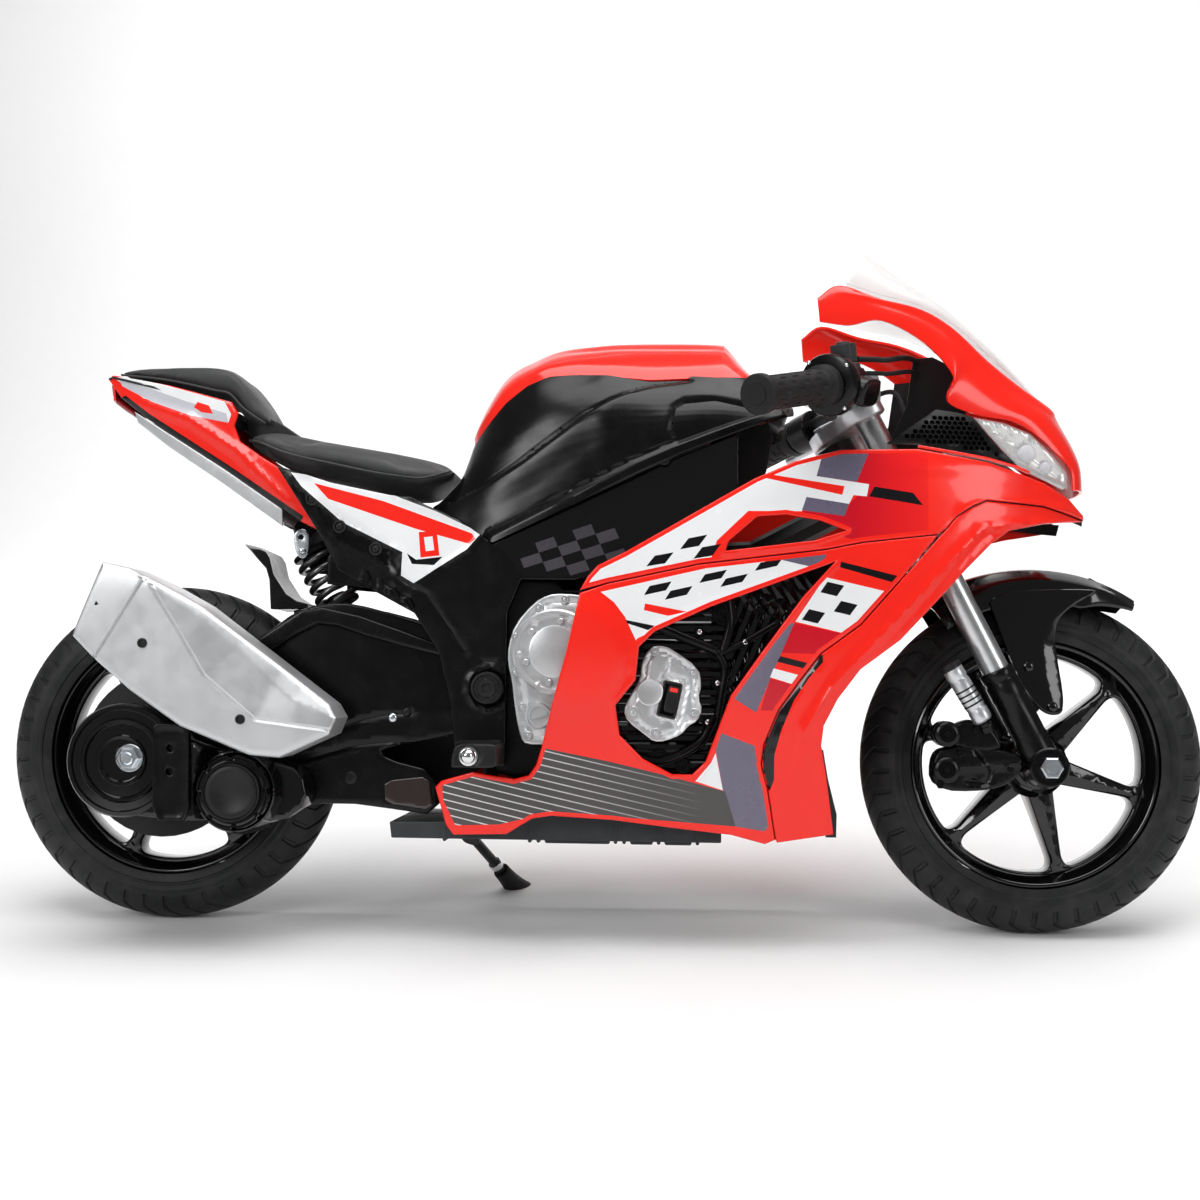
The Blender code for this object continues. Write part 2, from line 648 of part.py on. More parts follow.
def pivot_bolt():
    obj = piece("swingarm_bolt", cross_rod_mesh(ARM_PIVOT, -0.1, 0.1, PIVOT_RADIUS, 16), GREY, BIKE)
    for low, high in ((-0.1065, -0.0965), (0.0965, 0.1065)):
        boolean(obj, cross_rod_mesh(ARM_PIVOT, low, high, 0.0150, 20), "UNION")


def swingarm():
    outline = [(-0.447, 0.165), (-0.440, 0.188), (-0.410, 0.202), (-0.365, 0.216), (-0.424, 0.252),
               (-0.420, 0.276), (-0.395, 0.280), (-0.340, 0.262), (-0.328, 0.266), (-0.298, 0.292),
               (-0.275, 0.304), (-0.233, 0.308), (-0.181, 0.295), (-0.134, 0.279), (-0.100, 0.264),
               (-0.072, 0.250), (-0.064, 0.229), (-0.072, 0.207), (-0.099, 0.194), (-0.142, 0.182),
               (-0.202, 0.171), (-0.198, 0.162), (-0.148, 0.150), (-0.148, 0.109), (-0.187, 0.114),
               (-0.238, 0.120), (-0.300, 0.114), (-0.345, 0.114), (-0.400, 0.130), (-0.436, 0.140)]
    obj = piece("swingarm", prism_mesh([outline], ARM_INNER, ARM_OUTER), BLACK, ARM)
    boolean(obj, prism_mesh([outline], -ARM_OUTER, -ARM_INNER), "UNION")
    boolean(obj, box_mesh((-0.293, -ARM_INNER - 0.01, 0.287), (-0.237, ARM_INNER + 0.01, 0.303)), "UNION")
    boolean(obj, box_mesh((-0.225, -ARM_INNER - 0.01, 0.135), (-0.200, ARM_INNER + 0.01, 0.155)), "UNION")
    boolean(obj, cross_rod_mesh(ARM_PIVOT, -REACH_THROUGH, REACH_THROUGH, PIVOT_BORE, 16))
    boolean(obj, cross_rod_mesh(REAR_AXLE, -REACH_THROUGH, REACH_THROUGH, AXLE_BORE, 16))
    boolean(obj, cross_rod_mesh(MOTOR_AXIS, -REACH_THROUGH, 0, SHAFT_BORE, 12))


def drive_unit():
    outline = arc((-0.425, 0.160), 0.052, 75, 245, 10)
    outline += [(-0.400, 0.109), (-0.355, 0.106), (-0.300, 0.104), (-0.272, 0.112), (-0.262, 0.130),
                (-0.266, 0.148), (-0.285, 0.158), (-0.310, 0.160), (-0.369, 0.180), (-0.395, 0.200)]
    cover = piece("drive_cover", prism_mesh([outline], -0.140, -ARM_OUTER - GAP), BLACK, ARM)
    bracket = [(-0.396, 0.190), (-0.380, 0.188), (-0.362, 0.176), (-0.360, 0.107), (-0.394, 0.107)]
    boolean(cover, prism_mesh([bracket], -0.147, -0.139), "UNION")
    boolean(cover, cross_rod_mesh(REAR_AXLE, -REACH_THROUGH, 0.0, AXLE_BORE, 16))
    boolean(cover, cross_rod_mesh(MOTOR_AXIS, -REACH_THROUGH, 0.0, MOTOR_RADIUS + GAP, 24))
    for z in (0.151, 0.172):
        boolean(cover, cross_rod_mesh(Vector((-0.379, 0, z)), -REACH_THROUGH, -0.141, 0.0035, 10))
    can = [(0, 0.065), (0.020, 0.065), (0.022, 0.0665), (MOTOR_RADIUS, 0.0665), (MOTOR_RADIUS, 0), (0, 0)]
    smooth(turned("drive_motor", can, BLACK, ARM, across(MOTOR_AXIS + Vector((0, -0.0800, 0)))))


def muffler():
    outline = [(-0.443, 0.339), (-0.388, 0.320), (-0.353, 0.301), (-0.234, 0.213), (-0.227, 0.201),
               (-0.233, 0.186), (-0.278, 0.165), (-0.305, 0.167), (-0.369, 0.192), (-0.415, 0.223),
               (-0.448, 0.250), (-0.470, 0.272)]
    obj = piece("muffler", prism_mesh([outline], -0.158, -0.100), SILVER, ARM)
    bevel = obj.modifiers.new("edges", "BEVEL")
    bevel.width = 0.006
    bevel.segments = 1
    for x, z in ((-0.403, 0.266), (-0.312, 0.199)):
        boolean(obj, cross_rod_mesh(Vector((x, 0, z)), -0.105, -ARM_OUTER - GAP, 0.008, 12), "UNION")


def rear_guard():
    outline = [(-0.355, 0.368), (-0.318, 0.361), (-0.3115, 0.357), (-0.3095, 0.340), (-0.2985, 0.318),
               (-0.2950, 0.311), (-0.284, 0.3085), (-0.284, 0.3034), (-0.310, 0.3034), (-0.312, 0.335),
               (-0.335, 0.352)]
    piece("rear_mudguard", prism_mesh([outline], -0.032, 0.032), BLACK, ARM)


def rear_spring():
    low = Vector((-0.258, 0, 0.3075))
    high = Vector((-0.2885, 0, 0.3625))
    turns = 3.5
    per_turn = 10
    coil_radius = 0.017
    wire_radius = 0.0035
    end_gap = 0.005
    length = (high - low).length - 2 * end_gap
    points = []
    for step in range(int(turns * per_turn) + 1):
        angle = 2 * math.pi * step / per_turn
        height = end_gap + length * step / (turns * per_turn)
        points.append((coil_radius * math.cos(angle), coil_radius * math.sin(angle), height))
    smooth(piece("rear_spring", tube_mesh(points, wire_radius, 1, along(low, high)), SILVER, BIKE))


# --- Engine, pegs and belly --------------------------------------------------------------

def engine():
    block = [(-0.057, 0.190), (-0.057, 0.300), (-0.045, 0.322), (0.150, 0.322), (0.192, 0.300),
             (0.196, 0.240), (0.168, 0.180), (0.140, 0.125), (-0.050, 0.125)]
    case = piece("engine_block", prism_mesh([block], -ENGINE_HALF_WIDTH, ENGINE_HALF_WIDTH), BLACK, BIKE)
    inside = inset(block[:-2], WALL) + [(0.136, 0.100), (-0.047, 0.100)]
    boolean(case, prism_mesh([inside], WALL - ENGINE_HALF_WIDTH, ENGINE_HALF_WIDTH - WALL))
    outer = -ENGINE_HALF_WIDTH - GAP
    clutch = [(-0.059, 0.308), (-0.030, 0.317), (0.000, 0.314), (0.020, 0.290), (0.020, 0.215),
              (0.000, 0.188), (-0.043, 0.178), (-0.066, 0.178), (-0.074, 0.200), (-0.080, 0.240),
              (-0.080, 0.268)]
    cover = piece("clutch_cover", prism_mesh([clutch], -0.104, outer), SILVER, BIKE)
    boolean(cover, cross_rod_mesh(Vector((-0.040, 0, 0.262)), -0.112, -0.100, 0.040, 28), "UNION")
    pump = [(0.060, 0.270), (0.096, 0.248), (0.099, 0.221), (0.088, 0.187), (0.056, 0.182), (0.026, 0.206),
            (0.042, 0.238)]
    cover = piece("switch_cover", prism_mesh([pump], -0.112, outer), SILVER, BIKE)
    turn = ROCKER.matrix_world.copy()
    boolean(cover, box_mesh((-0.0075, -0.02, -0.0155), (0.0075, 0.013, 0.0155), 0, turn))
    button = box_mesh((-0.0062, -0.004, -0.0130), (0.0062, 0.009, 0.0130), 0.001, turn)
    piece("rocker_switch", button, BLACK, ROCKER)


def pegs():
    for side, label in ((-1, "right"), (1, "left")):
        low, high = sorted((side * 0.1010, side * 0.166))
        block = box_mesh((-0.123, low, 0.1595), (-0.082, high, 0.1805), 0.004)
        obj = piece(f"foot_peg_{label}", block, BLACK, BIKE)
        low, high = sorted((side * 0.165, side * 0.171))
        boolean(obj, cross_rod_mesh(Vector((-0.107, 0, 0.169)), low, high, 0.0085, 14), "UNION")


def belly():
    outline = [(-0.192, 0.103), (-0.190, 0.088), (0.118, 0.088), (0.118, 0.1245), (-0.070, 0.1245),
               (-0.085, 0.104)]
    obj = piece("belly_pan", prism_mesh([outline], -0.075, 0.075), GREY, BIKE)
    boolean(obj, box_mesh((-0.158, 0.014, 0.06), (-0.090, 0.066, 0.13)))


def battery():
    piece("battery", box_mesh((-0.045, -0.033, 0.382), (0.105, 0.033, 0.477), 0.002), GREY, BIKE)


# --- Body --------------------------------------------------------------------------------

CAP_LINE = [(-0.160, 0.452), (-0.124, 0.462), (-0.112, 0.477), (-0.090, 0.502), (-0.069, 0.518),
            (-0.048, 0.526), (-0.018, 0.527), (0.048, 0.521), (0.084, 0.523), (0.160, 0.527)]
SEAM_LINE = [(-0.175, 0.408), (-0.164, 0.402), (-0.130, 0.387), (-0.097, 0.364), (-0.020, 0.400),
             (0.076, 0.446), (0.190, 0.492)]

# Half cross-sections of the tank, each from x: top height, cap edge, widest place, lower edge as (y, z)
TANK_STATIONS = [
    (-0.170, 0.400, (0.030, 0.396), (0.055, 0.380), (0.070, 0.345)),
    (-0.147, 0.422, (0.038, 0.416), (0.064, 0.395), (0.080, 0.340)),
    (-0.134, 0.436, (0.042, 0.430), (0.068, 0.405), (0.084, 0.340)),
    (-0.122, 0.480, (0.045, 0.456), (0.073, 0.410), (0.088, 0.335)),
    (-0.103, 0.520, (0.052, 0.490), (0.080, 0.425), (0.092, 0.335)),
    (-0.060, 0.553, (0.066, 0.520), (0.091, 0.450), (0.097, 0.345)),
    (0.000, 0.566, (0.073, 0.526), (0.103, 0.470), (0.100, 0.365)),
    (0.060, 0.568, (0.075, 0.523), (0.106, 0.476), (0.101, 0.395)),
    (0.118, 0.567, (0.072, 0.524), (0.101, 0.480), (0.098, 0.420)),
    (0.138, 0.545, (0.068, 0.522), (0.096, 0.480), (0.094, 0.435)),
    (0.182, 0.500, (0.060, 0.497), (0.087, 0.478), (0.087, 0.455)),
]


def tank_rings():
    rings = []
    for x, top, cap, flank, low in TANK_STATIONS:
        half = [(0.5 * cap[0], 0.25 * cap[1] + 0.75 * top), cap, flank, low]
        right = [(x, -y, z) for y, z in reversed(half)]
        left = [(x, y, z) for y, z in half]
        rings.append(right + [(x, 0, top)] + left)
    return rings


def tank():
    above = CAP_LINE + [(0.160, 0.600), (-0.160, 0.600)]
    between = shifted(CAP_LINE[:-1], 0, -0.0008) + [(0.190, 0.526)] + list(reversed(SEAM_LINE))
    between += [(-0.175, 0.452)]
    for name, outline, finish in (("tank_cap", above, RED), ("tank_cover", between, BLACK)):
        obj = piece(name, loft_mesh(tank_rings(), False, False), finish, BIKE)
        solidify(obj)
        boolean(obj, prism_mesh([outline], -REACH_THROUGH, REACH_THROUGH), "INTERSECT")
        smooth(obj)


def pad(name, stations, finish):
    """A cushion lofted from (x, low z, high z, half width) stations."""
    rings = []
    for x, low, high, half in stations:
        crown = high - 0.25 * (high - low)
        rings.append([(x, -0.75 * half, low), (x, -half, low + 0.2 * (high - low)), (x, -half, crown),
                      (x, -0.7 * half, high), (x, 0, high + 0.001), (x, 0.7 * half, high), (x, half, crown),
                      (x, half, low + 0.2 * (high - low)), (x, 0.75 * half, low)])
    return smooth(piece(name, loft_mesh(rings), finish, BIKE), 60)


def cushions():
    pad("seat", [(-0.346, 0.465, 0.475, 0.040), (-0.336, 0.461, 0.476, 0.048),
                 (-0.303, 0.443, 0.470, 0.058), (-0.254, 0.430, 0.460, 0.068),
                 (-0.199, 0.418, 0.451, 0.072), (-0.172, 0.417, 0.447, 0.064),
                 (-0.150, 0.430, 0.443, 0.050), (-0.138, 0.4395, 0.4420, 0.040)], GREY)
    pad("pillion_pad", [(-0.481, 0.5335, 0.5375, 0.026), (-0.472, 0.532, 0.539, 0.030),
                        (-0.421, 0.5215, 0.539, 0.042), (-0.375, 0.508, 0.538, 0.049),
                        (-0.360, 0.504, 0.534, 0.050), (-0.349, 0.492, 0.523, 0.050),
                        (-0.335, 0.484, 0.504, 0.048), (-0.321, 0.479, 0.484, 0.042)], GREY)


# Tail cross-sections from x: side wall's top (y, z), its foot (y, z) and the middle of the floor
TAIL_STATIONS = [
    (-0.4885, (0.029, 0.545), (0.022, 0.511), 0.508),
    (-0.450, (0.040, 0.540), (0.032, 0.487), 0.484),
    (-0.400, (0.051, 0.530), (0.041, 0.453), 0.450),
    (-0.350, (0.059, 0.515), (0.048, 0.421), 0.418),
    (-0.300, (0.067, 0.480), (0.056, 0.389), 0.386),
    (-0.245, (0.074, 0.450), (0.064, 0.357), 0.354),
]
TAIL_TOP = [(-0.490, 0.530), (-0.483, 0.533), (-0.421, 0.520), (-0.357, 0.502), (-0.350, 0.491),
            (-0.354, 0.479), (-0.348, 0.464), (-0.325, 0.448), (-0.308, 0.438), (-0.256, 0.372)]
TAIL_LOW = [(-0.286, 0.386), (-0.364, 0.438), (-0.447, 0.489), (-0.476, 0.511)]
TRAY = [(-0.462, 0.4975), (-0.447, 0.4882), (-0.364, 0.4372), (-0.305, 0.3980), (-0.305, 0.3820),
        (-0.368, 0.4250), (-0.424, 0.4610), (-0.458, 0.4860)]
REAR_LAMP = [(-0.491, 0.5270), (-0.479, 0.5110), (-0.4635, 0.4995), (-0.4640, 0.4920), (-0.4860, 0.5070)]


def tail():
    rings = []
    for x, top, foot, floor in TAIL_STATIONS:
        rings.append([(x, -top[0], top[1]), (x, -foot[0], foot[1]), (x, 0, floor), (x, foot[0], foot[1]),
                      (x, top[0], top[1])])
    for name, outline, finish in (("tail_cowl", TAIL_TOP + TAIL_LOW, RED), ("tail_tray", TRAY, SILVER)):
        obj = piece(name, loft_mesh(rings, False, False, True), finish, BIKE)
        solidify(obj, THIN_SHELL)
        boolean(obj, prism_mesh([outline], -REACH_THROUGH, REACH_THROUGH), "INTERSECT")
    piece("tail_light", prism_mesh([REAR_LAMP], -0.018, 0.018), RED, BIKE)


def side_panels():
    top = shifted(SEAM_LINE[:-1], 0, -0.0009)
    outline = [(-0.305, 0.437), (-0.252, 0.4205), (-0.194, 0.4085)] + top
    outline += [(0.130, 0.466), (0.130, 0.405), (0.050, 0.350), (-0.020, 0.330), (-0.070, 0.330),
                (-0.0825, 0.300), (-0.0825, 0.157), (-0.128, 0.157), (-0.134, 0.215), (-0.146, 0.262),
                (-0.170, 0.298), (-0.205, 0.3165), (-0.243, 0.338), (-0.262, 0.372)]
    for side, label in ((-1, "right"), (1, "left")):
        obj = panel(f"side_panel_{label}", side_half_width, [outline], side, BLACK, BIKE, 0.05)
        boolean(obj, cross_rod_mesh(ARM_PIVOT, -REACH_THROUGH, REACH_THROUGH, 0.0156, 20))


UPPER_TOP = [(-0.013, 0.3185), (-0.006, 0.331), (0.003, 0.341), (0.027, 0.353), (0.060, 0.372),
             (0.108, 0.400), (0.144, 0.421), (0.180, 0.437), (0.221, 0.448), (0.292, 0.450),
             (0.356, 0.440), (0.412, 0.424), (0.440, 0.411), (0.456, 0.398)]
BEAK = [(0.457, 0.393), (0.412, 0.4025), (0.355, 0.405), (0.341, 0.399), (0.327, 0.390), (0.318, 0.379)]
WAIST = [(0.309, 0.3725), (0.240, 0.364), (0.208, 0.3575), (0.095, 0.3435), (0.012, 0.3255)]
INTAKE = [(0.118, 0.355), (0.121, 0.364), (0.146, 0.386), (0.172, 0.388), (0.202, 0.383), (0.226, 0.374),
          (0.198, 0.365)]
WINDOW = [(0.216, 0.346), (0.106, 0.305), (0.055, 0.282), (0.041, 0.268), (0.038, 0.238), (0.020, 0.215),
          (0.024, 0.188), (0.045, 0.167), (0.072, 0.153), (0.090, 0.153), (0.102, 0.165), (0.124, 0.225),
          (0.151, 0.264), (0.188, 0.315)]
LOWER_FRONT = [(0.274, 0.330), (0.239, 0.290), (0.204, 0.264), (0.186, 0.240), (0.167, 0.213),
               (0.154, 0.181), (0.152, 0.163), (0.158, 0.141), (0.166, 0.094)]
LOWER_EDGE = [(0.157, 0.090), (0.126, 0.098), (0.078, 0.103), (0.018, 0.110), (-0.038, 0.113),
              (-0.056, 0.110), (-0.080, 0.095), (-0.130, 0.093), (-0.137, 0.102), (-0.147, 0.137),
              (-0.141, 0.143), (-0.111, 0.152), (-0.073, 0.146), (-0.059, 0.150), (-0.052, 0.160),
              (-0.047, 0.177), (-0.038, 0.214), (-0.025, 0.262), (-0.013, 0.316)]
STRIP_FRONT = [(0.457, 0.3915), (0.412, 0.386), (0.377, 0.378), (0.360, 0.366), (0.336, 0.342),
               (0.302, 0.305), (0.276, 0.277), (0.240, 0.250), (0.220, 0.223), (0.208, 0.199),
               (0.206, 0.181), (0.211, 0.154), (0.219, 0.100)]


def fairings():
    upper = UPPER_TOP + BEAK + WAIST
    lower = shifted(WAIST[::-1], 0, -0.001) + LOWER_FRONT + LOWER_EDGE
    strip_back = shifted(BEAK[1:], 0, -0.0012) + [(0.3105, 0.3702)] + shifted(LOWER_FRONT, 0.0009, -0.0005)
    strip = STRIP_FRONT + [(0.168, 0.0915)] + strip_back[::-1]
    for side, label in ((-1, "right"), (1, "left")):
        panel(f"fairing_upper_{label}", fairing_half_width, [upper, INTAKE], side, RED, BIKE)
        panel(f"fairing_lower_{label}", fairing_half_width, [lower, WINDOW], side, RED, BIKE)
        panel(f"fairing_front_{label}", fairing_half_width, [strip], side, RED, BIKE)


# Nose cowl from its inner, upper edge to its outer, lower edge, back to front on the right side
COWL_EDGES = [
    ((0.203, -0.086, 0.596), (0.205, -0.090, 0.573)),
    ((0.224, -0.083, 0.609), (0.232, -0.093, 0.569)),
    ((0.262, -0.080, 0.597), (0.262, -0.095, 0.573)),
    ((0.300, -0.0755, 0.588), (0.300, -0.097, 0.552)),
    ((0.330, -0.0655, 0.573), (0.327, -0.099, 0.520)),
    ((0.366, -0.049, 0.546), (0.322, -0.098, 0.497)),
    ((0.398, -0.030, 0.523), (0.350, -0.0913, 0.4860)),
    ((0.431, -0.0105, 0.501), (0.385, -0.0830, 0.4810)),
    ((0.438, 0.0, 0.494), (0.410, -0.0770, 0.4675)),
    ((0.452, 0.0, 0.470), (0.430, -0.0700, 0.4500)),
    ((0.461, 0.0, 0.446), (0.442, -0.0640, 0.4380)),
    ((0.463, 0.0, 0.421), (0.444, -0.0620, 0.4200)),
]
SCREEN_EDGES = [
    ((0.257, 0.0, 0.660), (0.224, -0.0780, 0.615)),
    ((0.293, 0.0, 0.633), (0.262, -0.0745, 0.603)),
    ((0.332, 0.0, 0.604), (0.300, -0.0700, 0.594)),
    ((0.362, 0.0, 0.578), (0.332, -0.0590, 0.578)),
    ((0.391, 0.0, 0.5525), (0.368, -0.0430, 0.552)),
    ((0.415, 0.0, 0.5280), (0.400, -0.0240, 0.530)),
    ((0.434, 0.0, 0.5070), (0.431, -0.0050, 0.509)),
]


def bowed(inner, outer, steps):
    """Points from one edge to the other that bulge outward like a quarter of an ellipse."""
    points = []
    for i in range(steps + 1):
        angle = math.pi / 2 * i / steps
        rise = 1 - math.cos(angle)
        share = Vector((rise, math.sin(angle), rise))
        span = Vector(outer) - Vector(inner)
        points.append(Vector(inner) + Vector(a * b for a, b in zip(span, share)))
    return points


def nose():
    half = [bowed(inner, outer, 3) for inner, outer in COWL_EDGES]
    cowl = piece("nose_cowl", loft_mesh(half, False, False), RED, BIKE)
    mirror = cowl.modifiers.new("other_side", "MIRROR")
    mirror.use_axis = (False, True, False)
    mirror.merge_threshold = 0.0001
    solidify(cowl)
    smooth(cowl)
    rings = []
    for centre, edge in SCREEN_EDGES:
        right = bowed(centre, edge, 3)[::-1]
        rings.append(right + mirrored(right)[1:])
    screen = piece("windscreen", loft_mesh(rings, False, False), SMOKE, BIKE)
    solidify(screen, 0.0022)
    smooth(screen)
    lamp = [(0.262, 0.4545), (0.311, 0.4900), (0.332, 0.4875), (0.349, 0.4830), (0.375, 0.4800),
            (0.401, 0.4710), (0.423, 0.4520), (0.4385, 0.4360), (0.4385, 0.4190), (0.412, 0.4285),
            (0.386, 0.4385), (0.356, 0.4450), (0.292, 0.4540)]
    for side, label in ((-1, "right"), (1, "left")):
        panel(f"headlight_{label}", fairing_half_width, [lamp], side, LAMP, BIKE)


def build():
    front_wheel()
    rear_wheel()
    for side, label in ((-1, "right"), (1, "left")):
        fork_side(side, label)
    yokes()
    bars()
    cables()
    fender()
    caliper()
    frame()
    kickstand()
    pivot_bolt()
    swingarm()
    drive_unit()
    muffler()
    rear_guard()
    rear_spring()
    engine()
    pegs()
    belly()
    battery()
    tank()
    cushions()
    tail()
    side_panels()
    fairings()
    nose()
    BIKE.matrix_world = Matrix.Translation((0, -BOX_CENTRE_Y, 0)) @ Matrix.Rotation(-LEAN, 4, "X")


build()
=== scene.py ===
"""The looks of a child's ride-on electric sport motorcycle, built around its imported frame.

Every piece is drawn in the bike's own upright frame, in metres: X forward, Y to the bike's left, Z up,
from the ground midway between the axles. BIKE is that frame's place in the world, where the bike leans
on its side stand.
"""
import json
import math

import bmesh
import bpy
import numpy as np
from mathutils import Matrix, Vector, geometry


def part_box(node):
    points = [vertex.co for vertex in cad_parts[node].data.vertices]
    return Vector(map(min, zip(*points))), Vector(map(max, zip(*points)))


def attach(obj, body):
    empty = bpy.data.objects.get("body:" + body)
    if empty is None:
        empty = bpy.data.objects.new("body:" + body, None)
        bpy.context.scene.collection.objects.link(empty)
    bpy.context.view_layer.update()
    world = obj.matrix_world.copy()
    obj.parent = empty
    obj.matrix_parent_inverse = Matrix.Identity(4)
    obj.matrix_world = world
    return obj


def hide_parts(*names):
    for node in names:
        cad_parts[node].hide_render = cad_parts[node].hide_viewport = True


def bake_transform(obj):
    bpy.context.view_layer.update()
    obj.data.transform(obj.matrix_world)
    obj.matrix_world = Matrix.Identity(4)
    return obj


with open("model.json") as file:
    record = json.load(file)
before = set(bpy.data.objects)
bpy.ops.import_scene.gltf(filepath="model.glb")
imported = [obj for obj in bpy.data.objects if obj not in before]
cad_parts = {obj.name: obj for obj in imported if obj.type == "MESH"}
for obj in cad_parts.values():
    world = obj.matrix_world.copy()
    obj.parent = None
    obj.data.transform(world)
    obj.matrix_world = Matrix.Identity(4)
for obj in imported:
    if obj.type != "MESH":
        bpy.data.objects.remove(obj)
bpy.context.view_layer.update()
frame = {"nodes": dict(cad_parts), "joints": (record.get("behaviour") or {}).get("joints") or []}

# --- The bike's own frame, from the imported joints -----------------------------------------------
JOINTS = {joint["name"]: joint for joint in frame["joints"]}


def joint_point(name):
    return Vector(JOINTS[name]["pos_m"])


def bike_frame():
    """The upright bike's place in the world, from its axles and its front tyre."""
    front = joint_point("front_wheel_spin")
    rear = joint_point("rear_wheel_spin")
    left = Vector(JOINTS["front_wheel_spin"]["axis"]).normalized()
    forward = (front - rear).normalized()
    up = forward.cross(left).normalized()
    low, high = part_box("front_tyre")
    radius = (high.x - low.x) / 2
    matrix = Matrix((forward, left, up)).transposed().to_4x4()
    matrix.translation = (front + rear) / 2 - up * radius
    return matrix


BIKE = bike_frame()
TO_BIKE = BIKE.inverted()


def local(point):
    """A world point in the bike's frame."""
    return TO_BIKE @ Vector(point)


def local_axis(name):
    return (TO_BIKE.to_3x3() @ Vector(JOINTS[name]["axis"])).normalized()


FRONT_AXLE = local(joint_point("front_wheel_spin"))
REAR_AXLE = local(joint_point("rear_wheel_spin"))
ARM_PIVOT = local(joint_point("swingarm_pivot"))
MOTOR_AXIS = local(joint_point("pinion_spin"))
FORK_UP = local_axis("fork_slide")
RAKE = math.atan2(-FORK_UP.x, FORK_UP.z)
FORK = Matrix.Translation(FRONT_AXLE) @ Matrix.Rotation(-RAKE, 4, "Y")
BAR_ROOT = local(joint_point("throttle_twist"))
BAR_OUT = local_axis("throttle_twist")
STAND_PIVOT = local(joint_point("kickstand_fold"))
SWITCH_PLACE = local(joint_point("rocker_tip"))

RIM_RADIUS = 0.1175
TYRE_SECTION = 0.031
BODY_HALF_WIDTH = 0.132
NOSE_START = 0.20
NOSE_LENGTH = 0.278
SHELL = 0.0026
MM = 0.001


# --- Materials ----------------------------------------------------------------------------------

def new_material(name):
    made = bpy.data.materials.new(name)
    made.use_nodes = True
    return made, made.node_tree, made.node_tree.nodes["Principled BSDF"]


def place_coords(tree):
    """Coordinates fixed to the piece, in metres."""
    return tree.nodes.new("ShaderNodeTexCoord").outputs["Object"]


def noise(tree, coords, scale, detail=3.0):
    node = tree.nodes.new("ShaderNodeTexNoise")
    node.inputs["Scale"].default_value = scale
    node.inputs["Detail"].default_value = detail
    node.inputs["Roughness"].default_value = 0.55
    tree.links.new(coords, node.inputs["Vector"])
    return node.outputs["Fac"]


def math_node(tree, operation, a, b=None):
    node = tree.nodes.new("ShaderNodeMath")
    node.operation = operation
    for socket, value in zip(node.inputs, (a, b)):
        if value is None:
            continue
        if isinstance(value, (int, float)):
            socket.default_value = value
        else:
            tree.links.new(value, socket)
    return node.outputs[0]


def spread(tree, value, low, high, from_low=0.3, from_high=0.7):
    node = tree.nodes.new("ShaderNodeMapRange")
    node.inputs["From Min"].default_value = from_low
    node.inputs["From Max"].default_value = from_high
    node.inputs["To Min"].default_value = low
    node.inputs["To Max"].default_value = high
    tree.links.new(value, node.inputs["Value"])
    return node.outputs["Result"]


def mix_colour(tree, factor, first, second):
    node = tree.nodes.new("ShaderNodeMix")
    node.data_type = "RGBA"
    if isinstance(factor, float):
        node.inputs["Factor"].default_value = factor
    else:
        tree.links.new(factor, node.inputs["Factor"])
    for socket, value in ((node.inputs[6], first), (node.inputs[7], second)):
        if isinstance(value, tuple):
            socket.default_value = (*value, 1.0)
        else:
            tree.links.new(value, socket)
    return node.outputs[2]


def tone(colour, factor):
    return tuple(min(1.0, c * factor) for c in colour)


def bump(tree, height, depth, strength=1.0, below=None):
    node = tree.nodes.new("ShaderNodeBump")
    node.inputs["Distance"].default_value = depth
    node.inputs["Strength"].default_value = strength
    tree.links.new(height, node.inputs["Height"])
    if below is not None:
        tree.links.new(below, node.inputs["Normal"])
    return node.outputs["Normal"]


def moulded(name, colour, roughness, metallic=0.0, coat=0.0, vary=0.08, grain=900.0, depth=0.00002,
            dust=0.0, wave=0.0, shine=0.5):
    """Plastic, paint or metal: a slightly mottled colour, uneven gloss and fine grain."""
    made, tree, shader = new_material(name)
    coords = place_coords(tree)
    broad = noise(tree, coords, 14.0)
    fine = noise(tree, coords, grain, 2.0)
    patches = noise(tree, coords, 55.0, 5.0)
    base = mix_colour(tree, spread(tree, broad, 0.0, 1.0), tone(colour, 1 - vary), tone(colour, 1 + vary))
    if dust:
        amount = math_node(tree, "MULTIPLY", spread(tree, patches, 0.0, 1.0, 0.45, 0.75), dust)
        base = mix_colour(tree, amount, base, (0.32, 0.31, 0.29))
    tree.links.new(base, shader.inputs["Base Color"])
    tree.links.new(spread(tree, patches, roughness * 0.86, min(1.0, roughness * 1.18)),
                   shader.inputs["Roughness"])
    shader.inputs["Metallic"].default_value = metallic
    shader.inputs["Specular IOR Level"].default_value = shine
    shader.inputs["Coat Weight"].default_value = coat
    shader.inputs["Coat Roughness"].default_value = 0.06
    normal = bump(tree, fine, depth)
    if wave:
        normal = bump(tree, noise(tree, coords, 38.0, 1.0), wave, 1.0, normal)
    tree.links.new(normal, shader.inputs["Normal"])
    return made


